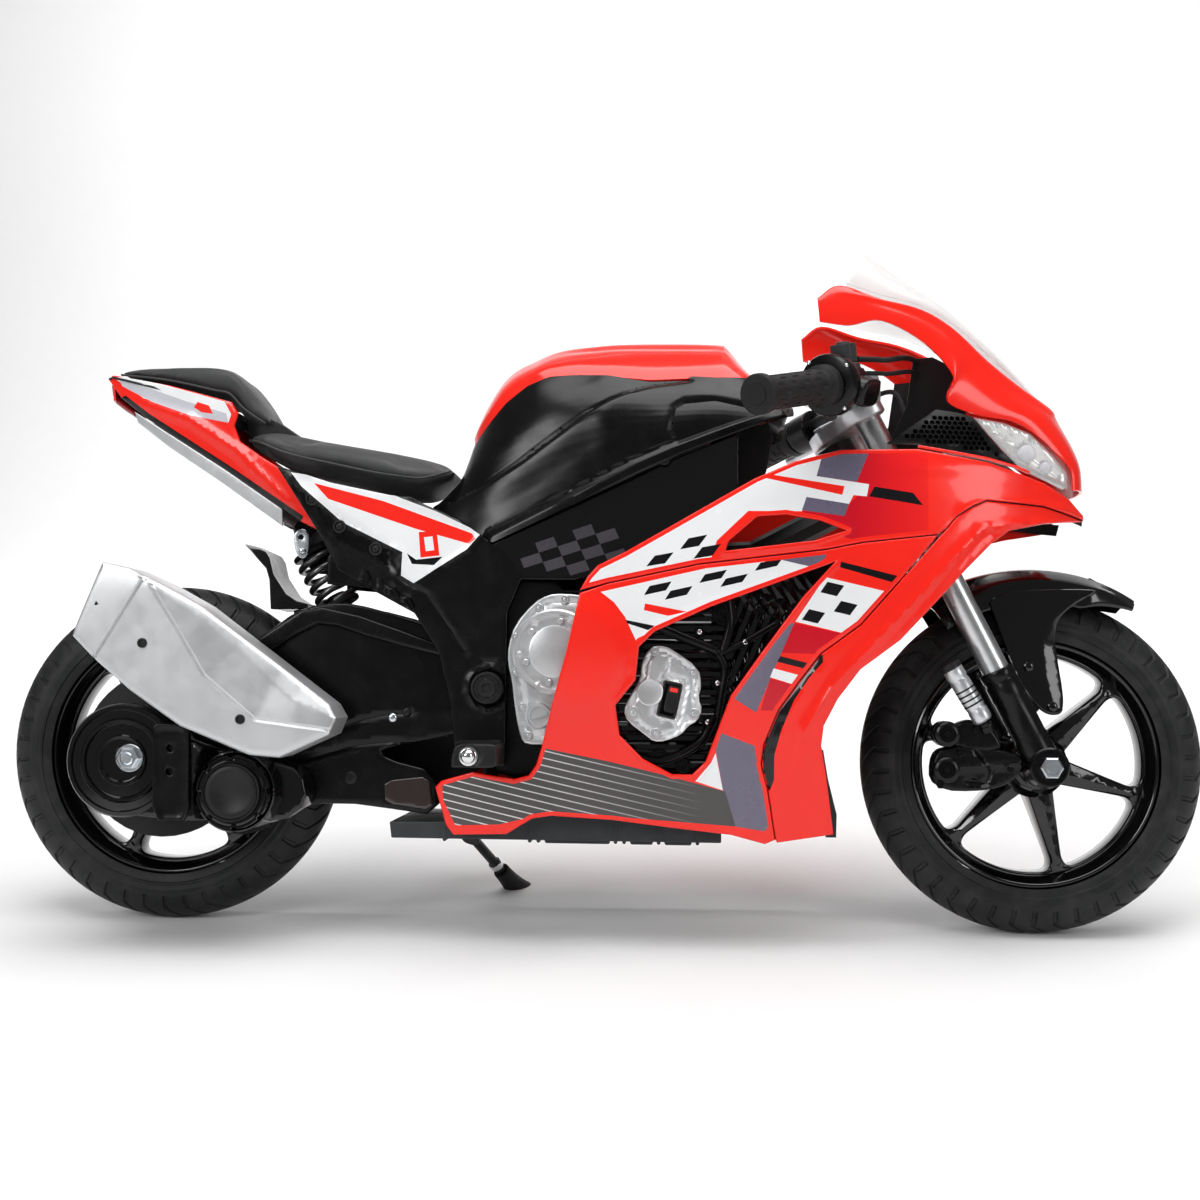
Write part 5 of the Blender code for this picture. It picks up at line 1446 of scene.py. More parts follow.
SIDE_BACK = [(-305, 437), (-252, 420.5), (-194, 408.5)]
SIDE_REST = [(130, 466), (130, 405), (50, 350), (-20, 330), (-70, 330), (-82.5, 300), (-82.5, 157),
             (-128, 157), (-134, 215), (-146, 262), (-170, 298), (-205, 316.5), (-243, 338), (-262, 372)]
SEAT_WHITE = [(-290, 430), (-251, 424), (-201, 412), (-150, 393), (-108, 373), (-121, 358), (-171, 326),
              (-183, 333), (-182, 355), (-205, 366), (-240, 383), (-280, 417)]
SEAT_RED = [(-268, 420), (-201, 403), (-117, 373), (-113, 368), (-119, 363), (-170, 377), (-227, 396),
            (-254, 405)]
SEAT_BLACK = [(-178, 354), (-169, 348), (-144, 351), (-152, 343), (-173, 344)]
SEAT_BADGE = [(-167, 374), (-150, 375), (-147, 352), (-165, 350)]
SEAT_MARK = [(-162, 369), (-154, 370), (-152, 357), (-160, 356)]
BOLT_PLATE = [(-303, 434), (-286, 418), (-192, 361), (-190, 334), (-244, 362), (-256, 374)]
VENTS = [[(-222, 339), (-214, 336), (-211, 316), (-219, 319)],
         [(-208, 332), (-200, 329), (-197, 309), (-205, 312)],
         [(-194, 325), (-186, 322), (-183, 305), (-191, 308)],
         [(-180, 317), (-173, 314), (-170, 300), (-177, 303)]]
SIDE_SEAM = [(-185, 329), (-159, 316), (-147, 299), (-121, 262)]


def side_panels():
    """The covers from the seat to the foot pegs, with their film, vents and screws."""
    outline = SIDE_BACK + shifted(SEAM_LINE[:-1], 0, -0.9) + SIDE_REST
    hole = ring_of(-99, 229, 15.6, 32)
    checks = slanted_blocks((-92, 352), (12, 388), (-78, 318), (30, 350), 6, 4, 0.0, ODD)
    gloss = [(-93, 364), (-20, 398), (76, 444), (128, 464), (128, 408), (50, 353), (-20, 333), (-68, 333)]
    decals = [(gloss, 4), (SEAT_WHITE, 1), (SEAT_RED, 2), (SEAT_BLACK, 0), (SEAT_BADGE, 2), (SEAT_MARK, 1)]
    decals += [(b, 3) for b in checks if fits_in(b, gloss, 0.3)]
    pivot = (-99, 229)

    def relief(points, distance):
        made = np.zeros(len(points))
        for vent in VENTS:
            made -= 4.0 * step_up(depth_inside(points, vent), 0.0, 1.6)
        made -= 2.6 * step_up(depth_inside(points, BOLT_PLATE), 0.0, 2.5)
        made -= 1.8 * ridge(line_distance(points, SIDE_SEAM, False), 2.4)
        around = np.hypot(points[:, 0] - pivot[0], points[:, 1] - pivot[1])
        made -= 1.6 * ridge(np.abs(around - 25), 2.2)
        made += 1.4 * ridge(np.abs(around - 19), 3.0)
        made += 1.3 * ridge(line_distance(points, SEAT_WHITE), 2.0) * step_up(points[:, 1], 330, 340)
        return made

    for side, hand in SIDES:
        mesh = shell(outline, side_width, 2.6, [hole], decals, [SIDE_SEAM, SEAM_LINE[3:6]], 4.5, 1.2, relief,
                     side=side)
        add_piece(f"side_cover_{hand}", mesh, "black white red shade gloss", "root", [f"side_panel_{hand}"])
        heads = []
        for x, z in ((-243, 379), (-208, 358), (-270, 405)):
            place = across(x * MM, z * MM, side * (side_width(x, z) - 2.8) * MM, side)
            heads.append(lathe([(0, -1), (6.4, -1), (6.4, 1.8), (5.8, 2.4), (4.6, 2.4), (4.3, 0.8), (0, 0.8)],
                               place, 28))
            heads.append(screw_mesh(3.6, 1.8, place @ Matrix.Translation((0, 0, 0.0007)), 20))
        add_piece(f"side_screws_{hand}", joined(*heads), "dull", "root")


tank_cap()
tank_cover()
side_panels()


# --- Seat, tail and pillion pad -----------------------------------------------------------------

PAD_SIDES = 44
PAD_SECTIONS = 40
PAD_POWER = 0.5  # 1 gives round cross-sections, less gives squarer ones


def pad_rings(stations, shrink):
    """Rounded cross-sections from (x, low, high, half width, crown) stations."""
    columns = np.array(stations, float)
    rings = []
    for x in np.linspace(columns[0, 0] + shrink, columns[-1, 0] - shrink, PAD_SECTIONS):
        low, high, half, crown = [smooth_value(x, columns[:, 0], columns[:, k]) for k in range(1, 5)]
        ring = []
        for k in range(PAD_SIDES):
            a = 2 * math.pi * k / PAD_SIDES
            c, s = math.cos(a), math.sin(a)
            y = (half - shrink) * math.copysign(abs(c) ** PAD_POWER, c)
            z = (high + low) / 2 + ((high - low) / 2 - shrink) * math.copysign(abs(s) ** PAD_POWER, s)
            z += crown * (1 - (y / half) ** 2) * max(0.0, s)
            ring.append(Vector((x, y, z)) * MM)
        rings.append(ring)
    return rings


PAD_SHRINK = 1.2
PAD_VOXEL = 0.0045


def swollen(name, mesh, cap):
    """The mesh blown up a little as cloth, with no point moved further than the cap."""
    obj = bpy.data.objects.new(name, mesh)
    bpy.context.collection.objects.link(obj)
    bpy.context.view_layer.objects.active = obj
    obj.select_set(True)
    remesh = obj.modifiers.new("remesh", "REMESH")
    remesh.mode = "VOXEL"
    remesh.voxel_size = PAD_VOXEL
    bpy.ops.object.modifier_apply(modifier="remesh")
    rest = np.array([v.co for v in obj.data.vertices])
    cloth = obj.modifiers.new("cloth", "CLOTH")
    cloth.settings.use_pressure = True
    cloth.settings.uniform_pressure_force = 4.0
    cloth.settings.effector_weights.gravity = 0.0
    for number in range(1, 21):
        bpy.context.scene.frame_set(number)
    evaluated = obj.evaluated_get(bpy.context.evaluated_depsgraph_get())
    points = np.array([v.co for v in evaluated.data.vertices])
    obj.modifiers.remove(cloth)
    bpy.context.scene.frame_set(1)
    shift = points - rest
    length = np.maximum(np.linalg.norm(shift, axis=1, keepdims=True), 1e-9)
    shift *= np.minimum(1.0, cap / length)
    obj.data.vertices.foreach_set("co", (rest + shift).astype(np.float32).ravel())
    made = obj.data
    bpy.data.objects.remove(obj)
    return made


def relaxed(mesh):
    """The mesh with its voxel steps smoothed away."""
    bm = bmesh.new()
    bm.from_mesh(mesh)
    for _ in range(2):
        bmesh.ops.smooth_vert(bm, verts=bm.verts, factor=0.5, use_axis_x=True, use_axis_y=True,
                              use_axis_z=True)
    bm.to_mesh(mesh)
    bm.free()
    return mesh


SEAT_STATIONS = [(-347, 463, 474, 38, 0.5), (-338, 460, 476, 47, 1.0), (-303, 443, 470, 58, 2.0),
                 (-254, 430, 460, 68, 2.5), (-199, 418, 451, 72, 2.0), (-172, 417, 447, 64, 1.0),
                 (-150, 430, 443, 51, 0.3), (-138, 438.5, 442.5, 40, 0.0)]
PILLION_STATIONS = [(-481, 533.5, 537.5, 26, 0), (-472, 531.5, 539, 30, 0.4), (-421, 521.5, 539, 42, 1.2),
                    (-375, 508, 538, 49, 1.6), (-360, 504, 534, 50, 1.2), (-349, 492, 523, 50, 0.6),
                    (-335, 484, 504, 48, 0.3), (-321, 479, 484, 42, 0)]


def cushion(name, stations, node, cap, seam_share):
    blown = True
    mesh = loft(pad_rings(stations, PAD_SHRINK if blown else 0.0))
    if blown:
        mesh = relaxed(swollen(name, mesh, cap))
    obj = add_piece(name, mesh, "vinyl", "root", [node], angle=70)
    soft = obj.modifiers.new("soften", "SUBSURF")
    soft.levels = soft.render_levels = 1
    columns = np.array(stations, float)
    for side, hand in SIDES:
        path = []
        for x in np.linspace(columns[0, 0] + 5, columns[-1, 0] - 6, 60):
            low, high, half = [smooth_value(x, columns[:, 0], columns[:, k]) for k in (1, 2, 3)]
            path.append((x * MM, side * (half - 0.2) * MM, (low + seam_share * (high - low)) * MM))
        add_piece(f"{name}_welt_{hand}", tube(path, 0.0011, 10), "vinyl", "root")


TAIL_STATIONS = [(-488.5, (29, 545), (22, 511), 508), (-450, (40, 540), (32, 487), 484),
                 (-400, (51, 530), (41, 453), 450), (-350, (59, 515), (48, 421), 418),
                 (-300, (67, 480), (56, 389), 386), (-245, (74, 450), (64, 357), 354)]
TAIL_TOP = [(-490, 530), (-483, 533), (-421, 520), (-357, 502), (-350, 491), (-354, 479), (-348, 464),
            (-325, 448), (-308, 438), (-256, 372)]
TAIL_LOW = [(-286, 386), (-364, 438), (-447, 489), (-476, 511)]
TRAY = [(-462, 497.5), (-447, 488.2), (-364, 437.2), (-305, 398), (-305, 382), (-368, 425), (-424, 461),
        (-458, 486)]
TAIL_WHITE = [(-484, 531), (-469, 530.5), (-428, 521), (-364, 502.5), (-357, 490), (-360, 482), (-399, 490),
              (-450, 509)]
TAIL_GREY = [(-477, 528), (-460, 524), (-404, 504), (-362, 491), (-360, 482), (-399, 490), (-441, 505),
             (-474, 522)]
TAIL_MARK = [(-392, 503), (-380, 499), (-376, 491), (-388, 493), (-396, 498)]


def tail_width(x, z):
    columns = np.array([[s[0], *s[1], *s[2]] for s in TAIL_STATIONS], float)
    ty, tz, fy, fz = [float(np.interp(x, columns[:, 0], columns[:, k])) for k in range(1, 5)]
    share = (z - fz) / (tz - fz)
    return fy + (ty - fy) * share + 1.6 * math.sin(math.pi * min(1, max(0, share)))


def tail():
    fold = [(-470, 510), (-400, 486), (-352, 455), (-300, 405)]
    black_edge = TAIL_LOW + [(-470, 512.5), (-444, 493.5), (-362, 442.5), (-283, 391)]

    def relief(points, distance):
        return 1.8 * ridge(line_distance(points, fold, False), 9.0)

    for side, hand in SIDES:
        decals = [(TAIL_WHITE, 1), (TAIL_GREY, 2), (TAIL_MARK, 3), (black_edge, 4)]
        mesh = shell(TAIL_TOP + TAIL_LOW, tail_width, 2.4, (), decals, [fold], 4.5, 1.2, relief, side=side)
        nodes = ["tail_cowl"] if side < 0 else []
        add_piece(f"tail_side_{hand}", mesh, "red white pale_grey red film_black", "root", nodes)
        mesh = shell(TRAY, lambda x, z: tail_width(x, z) - 0.3, 2.2, (), (), (), 5.0, 1.0, side=side)
        nodes = ["tail_tray"] if side < 0 else []
        add_piece(f"tail_tray_side_{hand}", mesh, "silver", "root", nodes)
    deck = []
    for x, y, z in ((-489, 28, 531.5), (-484, 29.5, 533.0), (-470, 34, 529.5), (-440, 41, 521.5),
                    (-400, 48, 511.0), (-362, 53, 500.0), (-352, 54, 489), (-353, 54, 480)):
        deck.append([(x, y * k / 10, z - 1.2) for k in range(-10, 11)])
    add_piece("tail_deck", grid_shell(deck, 2.2, None, (-420, 0, 400)), "dull", "root")
    floor = []
    for x in np.linspace(-458, -305, 26):
        low = line_height([(-458, 486), (-424, 461), (-368, 425), (-305, 382)], x)
        half = tail_width(x, low) - 1.4
        floor.append([(x, half * k / 12, low + 1.6 - 1.4 * (1 - (k / 12) ** 2)) for k in range(-12, 13)])

    def ribs(grid):
        return -1.2 * ridge(np.abs(np.abs(grid[..., 1]) - 12), 2.5)

    add_piece("tail_tray_floor", grid_shell(floor, 2.0, ribs, (-380, 0, 600)), "silver", "root")
    back = []
    for share in np.linspace(0, 1, 10):
        z = 509 + 23.5 * share
        half = 21.5 + 7.2 * share
        back.append([(-488.6 + 3.0 * (k / 8) ** 2, half * k / 8, z) for k in range(-8, 9)])
    add_piece("tail_end", grid_shell(back, 2.2, None, (-300, 0, 520)), "red", "root")
    lamp = [(-490.6, 527), (-479, 511), (-463.5, 499.5), (-464, 492), (-475, 499), (-486, 507), (-489.5, 515)]
    rings = []
    for y, shrink in ((-18, 3.0), (-16.5, 1.2), (-13, 0.2), (-5, 0), (5, 0), (13, 0.2), (16.5, 1.2),
                      (18, 3.0)):
        rings.append([Vector((x, y, z)) * MM for x, z in offset_ring(lamp, shrink + 0.01)])
    add_piece("tail_lamp_lens", loft(rings), "tail_lens", "root", ["tail_light"], angle=50)


cushion("seat_pad_soft", SEAT_STATIONS, "seat", 0.004, 0.36)
cushion("pillion_pad_soft", PILLION_STATIONS, "pillion_pad", 0.003, 0.22)
tail()


# --- Nose, screen and lamps ---------------------------------------------------------------------

COWL_EDGES = [((203, -86, 596), (205, -90, 573)), ((224, -83, 609), (232, -93, 569)),
              ((262, -80, 597), (262, -95, 573)), ((300, -75.5, 588), (300, -97, 552)),
              ((330, -65.5, 573), (327, -99, 520)), ((366, -49, 546), (322, -98, 497)),
              ((398, -30, 523), (350, -91.3, 486)), ((431, -10.5, 501), (385, -83, 481)),
              ((438, 0, 494), (410, -77, 467.5)), ((452, 0, 470), (430, -70, 450)),
              ((461, 0, 446), (442, -64, 438)), ((463, 0, 421), (444, -62, 420))]
SCREEN_EDGES = [((257, 0, 660), (224, -78, 615)), ((293, 0, 633), (262, -74.5, 603)),
                ((332, 0, 604), (300, -70, 594)), ((362, 0, 578), (332, -59, 578)),
                ((391, 0, 552.5), (368, -43, 552)), ((415, 0, 528), (400, -24, 530)),
                ((434, 0, 507), (431, -5, 509))]
HEX_STEP = 5.4


def bowed(inner, outer, steps):
    """Points between two edges that bulge outward like a quarter of an ellipse."""
    points = []
    span = Vector(outer) - Vector(inner)
    for i in range(steps + 1):
        angle = math.pi / 2 * i / steps
        rise = 1 - math.cos(angle)
        points.append(Vector(inner) + Vector((span.x * rise, span.y * math.sin(angle), span.z * rise)))
    return points


def nose():
    """The nose cowl, made as its right half and mirrored, and the clear screen over it."""
    inner = curve_through([e[0] for e in COWL_EDGES], 5)
    outer = curve_through([e[1] for e in COWL_EDGES], 5)
    rows = [bowed(a, b, 18) for a, b in zip(inner, outer)]
    rows = [[(p.x, min(p.y, 0.0), p.z) for p in row] for row in rows]

    def relief(grid):
        count, width = grid.shape[:2]
        column = np.arange(width)[None, :] / (width - 1) * np.ones((count, 1))
        row = np.arange(count)[:, None] / (count - 1) * np.ones((1, width))
        fold = 0.42 - 0.10 * row
        folded = step_up(row, 0.05, 0.25) * (1 - step_up(row, 0.62, 0.8))
        grooved = step_up(row, 0.2, 0.3) * (1 - step_up(row, 0.6, 0.66))
        made = 3.0 * ridge(np.abs(column - fold), 0.16) * folded
        made -= 1.8 * ridge(np.abs(column - 0.13), 0.06) * grooved
        return made * step_up(-grid[..., 1], 2, 14)

    right = grid_shell(rows, 2.6, relief, (250, 0, 480))
    add_piece("nose_cowl_skin", joined(right, moved(right, MIRROR)), "red", "root", ["nose_cowl"],
              angle=38, bevel=0.0008)
    centre = curve_through([e[0] for e in SCREEN_EDGES], 5)
    edge = curve_through([e[1] for e in SCREEN_EDGES], 5)
    rows = []
    for a, b in zip(centre, edge):
        right = bowed(a, b, 14)[::-1]
        rows.append([tuple(p) for p in right] + [(p.x, -p.y, p.z) for p in reversed(right[:-1])])
    add_piece("screen_bubble", grid_shell(rows, 2.0, None, (250, 0, 480)), "screen", "root",
              ["windscreen"], angle=50, bevel=0.0006)


LAMP_LENS = [(346, 483.5), (375, 479.6), (401, 470.6), (423, 451.6), (437.5, 436), (438, 420), (412, 429),
             (386, 438.5), (372, 452), (358, 468)]
LAMP_MESH = [(263, 454.6), (311, 489.6), (332, 487), (344.5, 483.8), (357, 467), (371, 450.5), (384.5, 438.8),
             (356, 445), (292, 454)]


def honeycomb(outline):
    """Hexagonal holes that fill an outline."""
    cells = []
    low, high = np.min(outline, axis=0), np.max(outline, axis=0)
    for row in range(int((high[1] - low[1]) / (HEX_STEP * ROW_PITCH)) + 2):
        for column in range(int((high[0] - low[0]) / HEX_STEP) + 2):
            centre = (low[0] + (column + 0.5 * (row % 2)) * HEX_STEP, low[1] + row * HEX_STEP * ROW_PITCH)
            cell = ring_of(*centre, HEX_STEP * 0.47, 6)
            cell = [(centre[0] + (z - centre[1]), centre[1] + (x - centre[0])) for x, z in cell]
            if fits_in(cell, outline, 2.2):
                cells.append(cell)
    return cells


def lamps():
    def raised_edge(points, distance):
        return 0.7 * (1 - step_up(distance, 1.5, 3.0))

    def ribs(points, distance):
        across_lamp = points @ np.array([0.80, 0.60])
        fins = 1.6 * np.abs(np.sin(across_lamp * math.pi / 6.0)) * step_up(points[:, 1], 452, 462)
        return fins + 9.0 * (1 - step_up(distance, 0.0, 14.0))

    lip = [(292, 454), (356, 445), (384, 438.8), (398, 434), (397, 431.5), (383, 436), (355, 442.2),
           (292, 451.2)]
    for side, hand in SIDES:
        lens = shell(LAMP_LENS, fairing_width, 2.0, (), (), (), 4.5, 1.4, side=side)
        add_piece(f"headlight_lens_{hand}", lens, "lens", "root", [f"headlight_{hand}"])
        bowl = shell(offset_ring(LAMP_LENS, 1.2), behind_fairing(13.5), 2.0, (), (), (), 2.2, 0.0, ribs,
                     side=side)
        add_piece(f"headlight_bowl_{hand}", bowl, "reflector", "root", angle=50)
        beam = []
        for x, z, radius in ((398, 452, 8.5), (417, 440, 6.0)):
            place = across(x * MM, z * MM, side * (fairing_width(x, z) - 11.0) * MM, side)
            beam.append(lathe([(0, 0), (radius, 0), (radius, 3.0), (radius - 1, 4.6), (radius - 3, 6.2),
                               (0, 7.0)], place, 32))
        add_piece(f"headlight_bulbs_{hand}", joined(*beam), "pale_grey", "root", angle=50)
        mesh = shell(LAMP_MESH, fairing_width, 2.6, honeycomb(LAMP_MESH), (), (), 4.5, 0.0, raised_edge,
                     side=side)
        back = shell(offset_ring(LAMP_MESH, 1.0), behind_fairing(6.0), 1.6, (), (), (), 8.0, 0.0, side=side)
        add_piece(f"nose_inlet_{hand}", joined(mesh, back), "black", "root")
        strip = shell(lip, behind_fairing(-1.2), 3.4, (), (), (), 4.0, 1.0, side=side)
        add_piece(f"lamp_strip_{hand}", strip, "red", "root")


def cockpit_liner():
    """The dark inner cheeks behind the lamps."""
    cheek = [(296, 544), (314, 546), (330, 538), (345, 520), (345, 470), (330, 455), (268, 452), (280, 478),
             (290, 500), (293, 522)]
    dash = [(126, 408), (126, 488), (160, 492), (166, 474), (160, 440), (146, 408)]
    for side, hand in SIDES:
        meshes = [shell(cheek, flat_front(62.0), 2.0, (), (), (), 6.0, 0.6, side=side),
                  shell(dash, flat_front(36.0), 2.0, (), (), (), 6.0, 0.6, side=side)]
        add_piece(f"cockpit_liner_{hand}", joined(*meshes), "dull", "root")


nose()
lamps()
cockpit_liner()


# --- Muffler ------------------------------------------------------------------------------------

MUFFLER = [(-443, 339), (-418, 333.5), (-388, 320), (-353, 301), (-234, 213), (-227, 201), (-233, 186),
           (-278, 165), (-305, 167), (-369, 192), (-415, 223), (-448, 250), (-470, 272), (-468, 279)]
MUFFLER_CREASE = [(-396, 317), (-370, 277), (-346, 238), (-299, 199), (-228, 190)]
MUFFLER_RIDGE = [(-398, 318), (-355, 290), (-314, 258), (-267, 216), (-231, 201)]
MUFFLER_BAND = [(-405, 322), (-431, 281), (-452, 248)]


def parallel(line, gap):
    """The line moved sideways."""
    moved_line = []
    for i, (x, z) in enumerate(line):
        before, after = line[max(i - 1, 0)], line[min(i + 1, len(line) - 1)]
        way = Vector((after[0] - before[0], after[1] - before[1])).normalized()
        moved_line.append((x - way.y * gap, z + way.x * gap))
    return moved_line


def both_sides(line, *gaps):
    """A line with its parallels, as guides for a crisp fold."""
    return [line] + [parallel(line, side * gap) for gap in gaps for side in (-1, 1)]


def muffler():
    """The faceted can, its bolts, brackets and the outlet ring."""
    above_crease = MUFFLER_CREASE + [(-210, 205), (-210, 360), (-400, 360)]
    above_ridge = MUFFLER_RIDGE + [(-210, 210), (-210, 360), (-405, 360)]
    behind_band = MUFFLER_BAND + [(-490, 240), (-490, 350), (-415, 350)]

    def relief(points, distance):
        from_crease = line_distance(points, MUFFLER_CREASE, False)
        from_ridge = line_distance(points, MUFFLER_RIDGE, False)
        from_band = line_distance(points, MUFFLER_BAND, False)
        high = inside(points, above_crease)
        top = inside(points, above_ridge)
        behind = inside(points, behind_band)
        made = np.where(high, -0.16 * np.minimum(from_crease, 50), -0.09 * from_crease)
        made = np.where(top, made - 0.34 * from_ridge, made)
        made = np.where(behind, made + 1.0 * step_up(from_band, 0.0, 2.2), made)
        made = np.where(points[:, 0] > -262, made - 0.10 * (points[:, 0] + 262), made)
        return np.maximum(made - 1.3 * ridge(from_crease, 2.2) - 1.6 * ridge(from_band, 1.8), -24)

    meshes = [shell(MUFFLER, flat_front(157.6), 0, (), (), both_sides(MUFFLER_CREASE, 2.2) + [MUFFLER_RIDGE]
                    + both_sides(MUFFLER_BAND, 1.1, 2.2), 3.6, 4.0, relief, flat_front(104.0))]
    meshes.append(shell(offset_ring(MUFFLER, 5), flat_front(104.2), 0, (), (), (), 9.0, 0.0, None,
                        flat_front(100.2)))
    add_piece("muffler_can", joined(*meshes), "silver", "swingarm", ["muffler"], angle=24)
    dark = []
    for x, z, y in ((-403.5, 266, -0.1552), (-312.5, 199, -0.1575)):  # y in metres
        dark.append(lathe([(0, -2), (4.4, -2), (4.4, 0.4), (3.6, 0.9), (3.0, 0.9), (2.6, -0.4), (0, -0.4)],
                          across(x * MM, z * MM, y), 24))
        dark.append(lathe([(0, 0), (8, 0), (8, 22.5), (0, 22.5)], across(x * MM, z * MM, -0.0775), 28))
    add_piece("muffler_bolts", joined(*dark), "dull", "swingarm")
    rear = Vector((-0.4480, -0.130, 0.3022))
    place = along(rear, rear + Vector((-0.927, 0, 0.374))) @ Matrix.Diagonal((1.0, 0.62, 1.0, 1.0))
    ring = [(0, -4.5), (17, -4.5), (18.5, -2.0), (19.5, 0.2), (22.5, 0.4), (24.0, -0.4), (24.0, -4.5)]
    add_piece("muffler_outlet", lathe(ring, place @ Matrix.Rotation(math.pi / 2, 4, "Z"), 48), "dull",
              "swingarm")


# --- Swingarm, drive unit and rear axle ---------------------------------------------------------

ARM = [(-447, 165), (-440, 188), (-410, 202), (-365, 216), (-424, 252), (-420, 276), (-395, 280),
       (-340, 262),
       (-328, 266), (-298, 292), (-275, 304), (-254, 307.5), (-233, 308), (-181, 295), (-134, 279),
       (-100, 264), (-72, 250), (-64, 229), (-72, 207), (-99, 194), (-142, 182), (-202, 171), (-198, 162),
       (-148, 150), (-148, 109), (-187, 114), (-238, 120), (-300, 114), (-345, 114), (-400, 130),
       (-436, 140)]
ARM_BAND = [(-345, 258), (-335, 263), (-309, 281), (-280, 300.5), (-259, 303.5), (-224, 296), (-183, 282),
            (-130, 262), (-140, 257), (-182, 267), (-218, 276), (-245, 285), (-264, 287), (-284, 277),
            (-308, 262), (-335, 248)]
ARM_LINE = [(-300, 178), (-245, 189), (-219, 198), (-193, 203), (-173, 204)]
ARM_LOWER = [(-300, 150), (-262, 163), (-227, 173), (-193, 177), (-158, 172)]
ARM_BOX = [(-198, 141), (-155, 146), (-151, 114), (-196, 120)]


def swingarm():
    """The rear arm's two cheeks with a raised band, and the cross pieces that join them."""
    holes = [ring_of(-99, 229, 7.2, 28)]

    def relief(points, distance):
        hollow = np.minimum(1.0, np.abs(points[:, 0] + 232) / 110) ** 2
        made = -3.5 - 7.0 * hollow * step_up(points[:, 1], 192, 212)
        made -= 1.8 * ridge(line_distance(points, ARM_LINE, False), 2.6)
        made -= 2.2 * ridge(line_distance(points, ARM_LOWER, False), 3.5)
        return np.maximum(made, -14.0)

    meshes = []
    for side in (-1, 1):
        meshes.append(shell(rounded(ARM, 1), flat_front(77.0), 0, holes, (), both_sides(ARM_LINE, 2.6)
                            + both_sides(ARM_LOWER, 3.5), 4.6, 3.0, relief, flat_front(50.0), side))
        meshes.append(shell(ARM_BAND, flat_front(77.6), 0, (), (), (), 4.0, 3.0, None, flat_front(60.0),
                            side))
    for x0, z0, x1, z1 in ((-292, 288.5, -238, 302.5), (-225, 135, -200, 155)):
        meshes.append(prism(rounded([(x0, z0), (x1, z0), (x1, z1), (x0, z1)], 1, 0.12), -54, 54))
    add_piece("swingarm_moulding", joined(*meshes), "black", "swingarm", ["swingarm"],
              angle=40)
    pads = [shell(rounded(ARM_BOX, 1, 0.15), flat_front(76.6), 6.0, (), (), (), 3.0, 1.6, side=side)
            for side in (-1, 1)]
    add_piece("swingarm_pads", joined(*pads), "brown", "swingarm")
    bright = screw_mesh(4.6, 3.0, across(-0.191, 0.200, -0.0722), 24)
    add_piece("swingarm_screw", joined(bright), "zinc", "swingarm")
    dark = [screw_mesh(6.4, 2.4, across(-0.230, 0.143, -0.0722), 28),
            screw_mesh(4.0, 2.4, across(-0.178, 0.2055, -0.0722), 24),
            screw_mesh(6.4, 2.4, across(-0.230, 0.143, 0.0722, 1), 28),
            screw_mesh(4.6, 2.4, across(-0.191, 0.200, 0.0722, 1), 28)]
    add_piece("swingarm_bolts", joined(*dark), "dull", "swingarm")


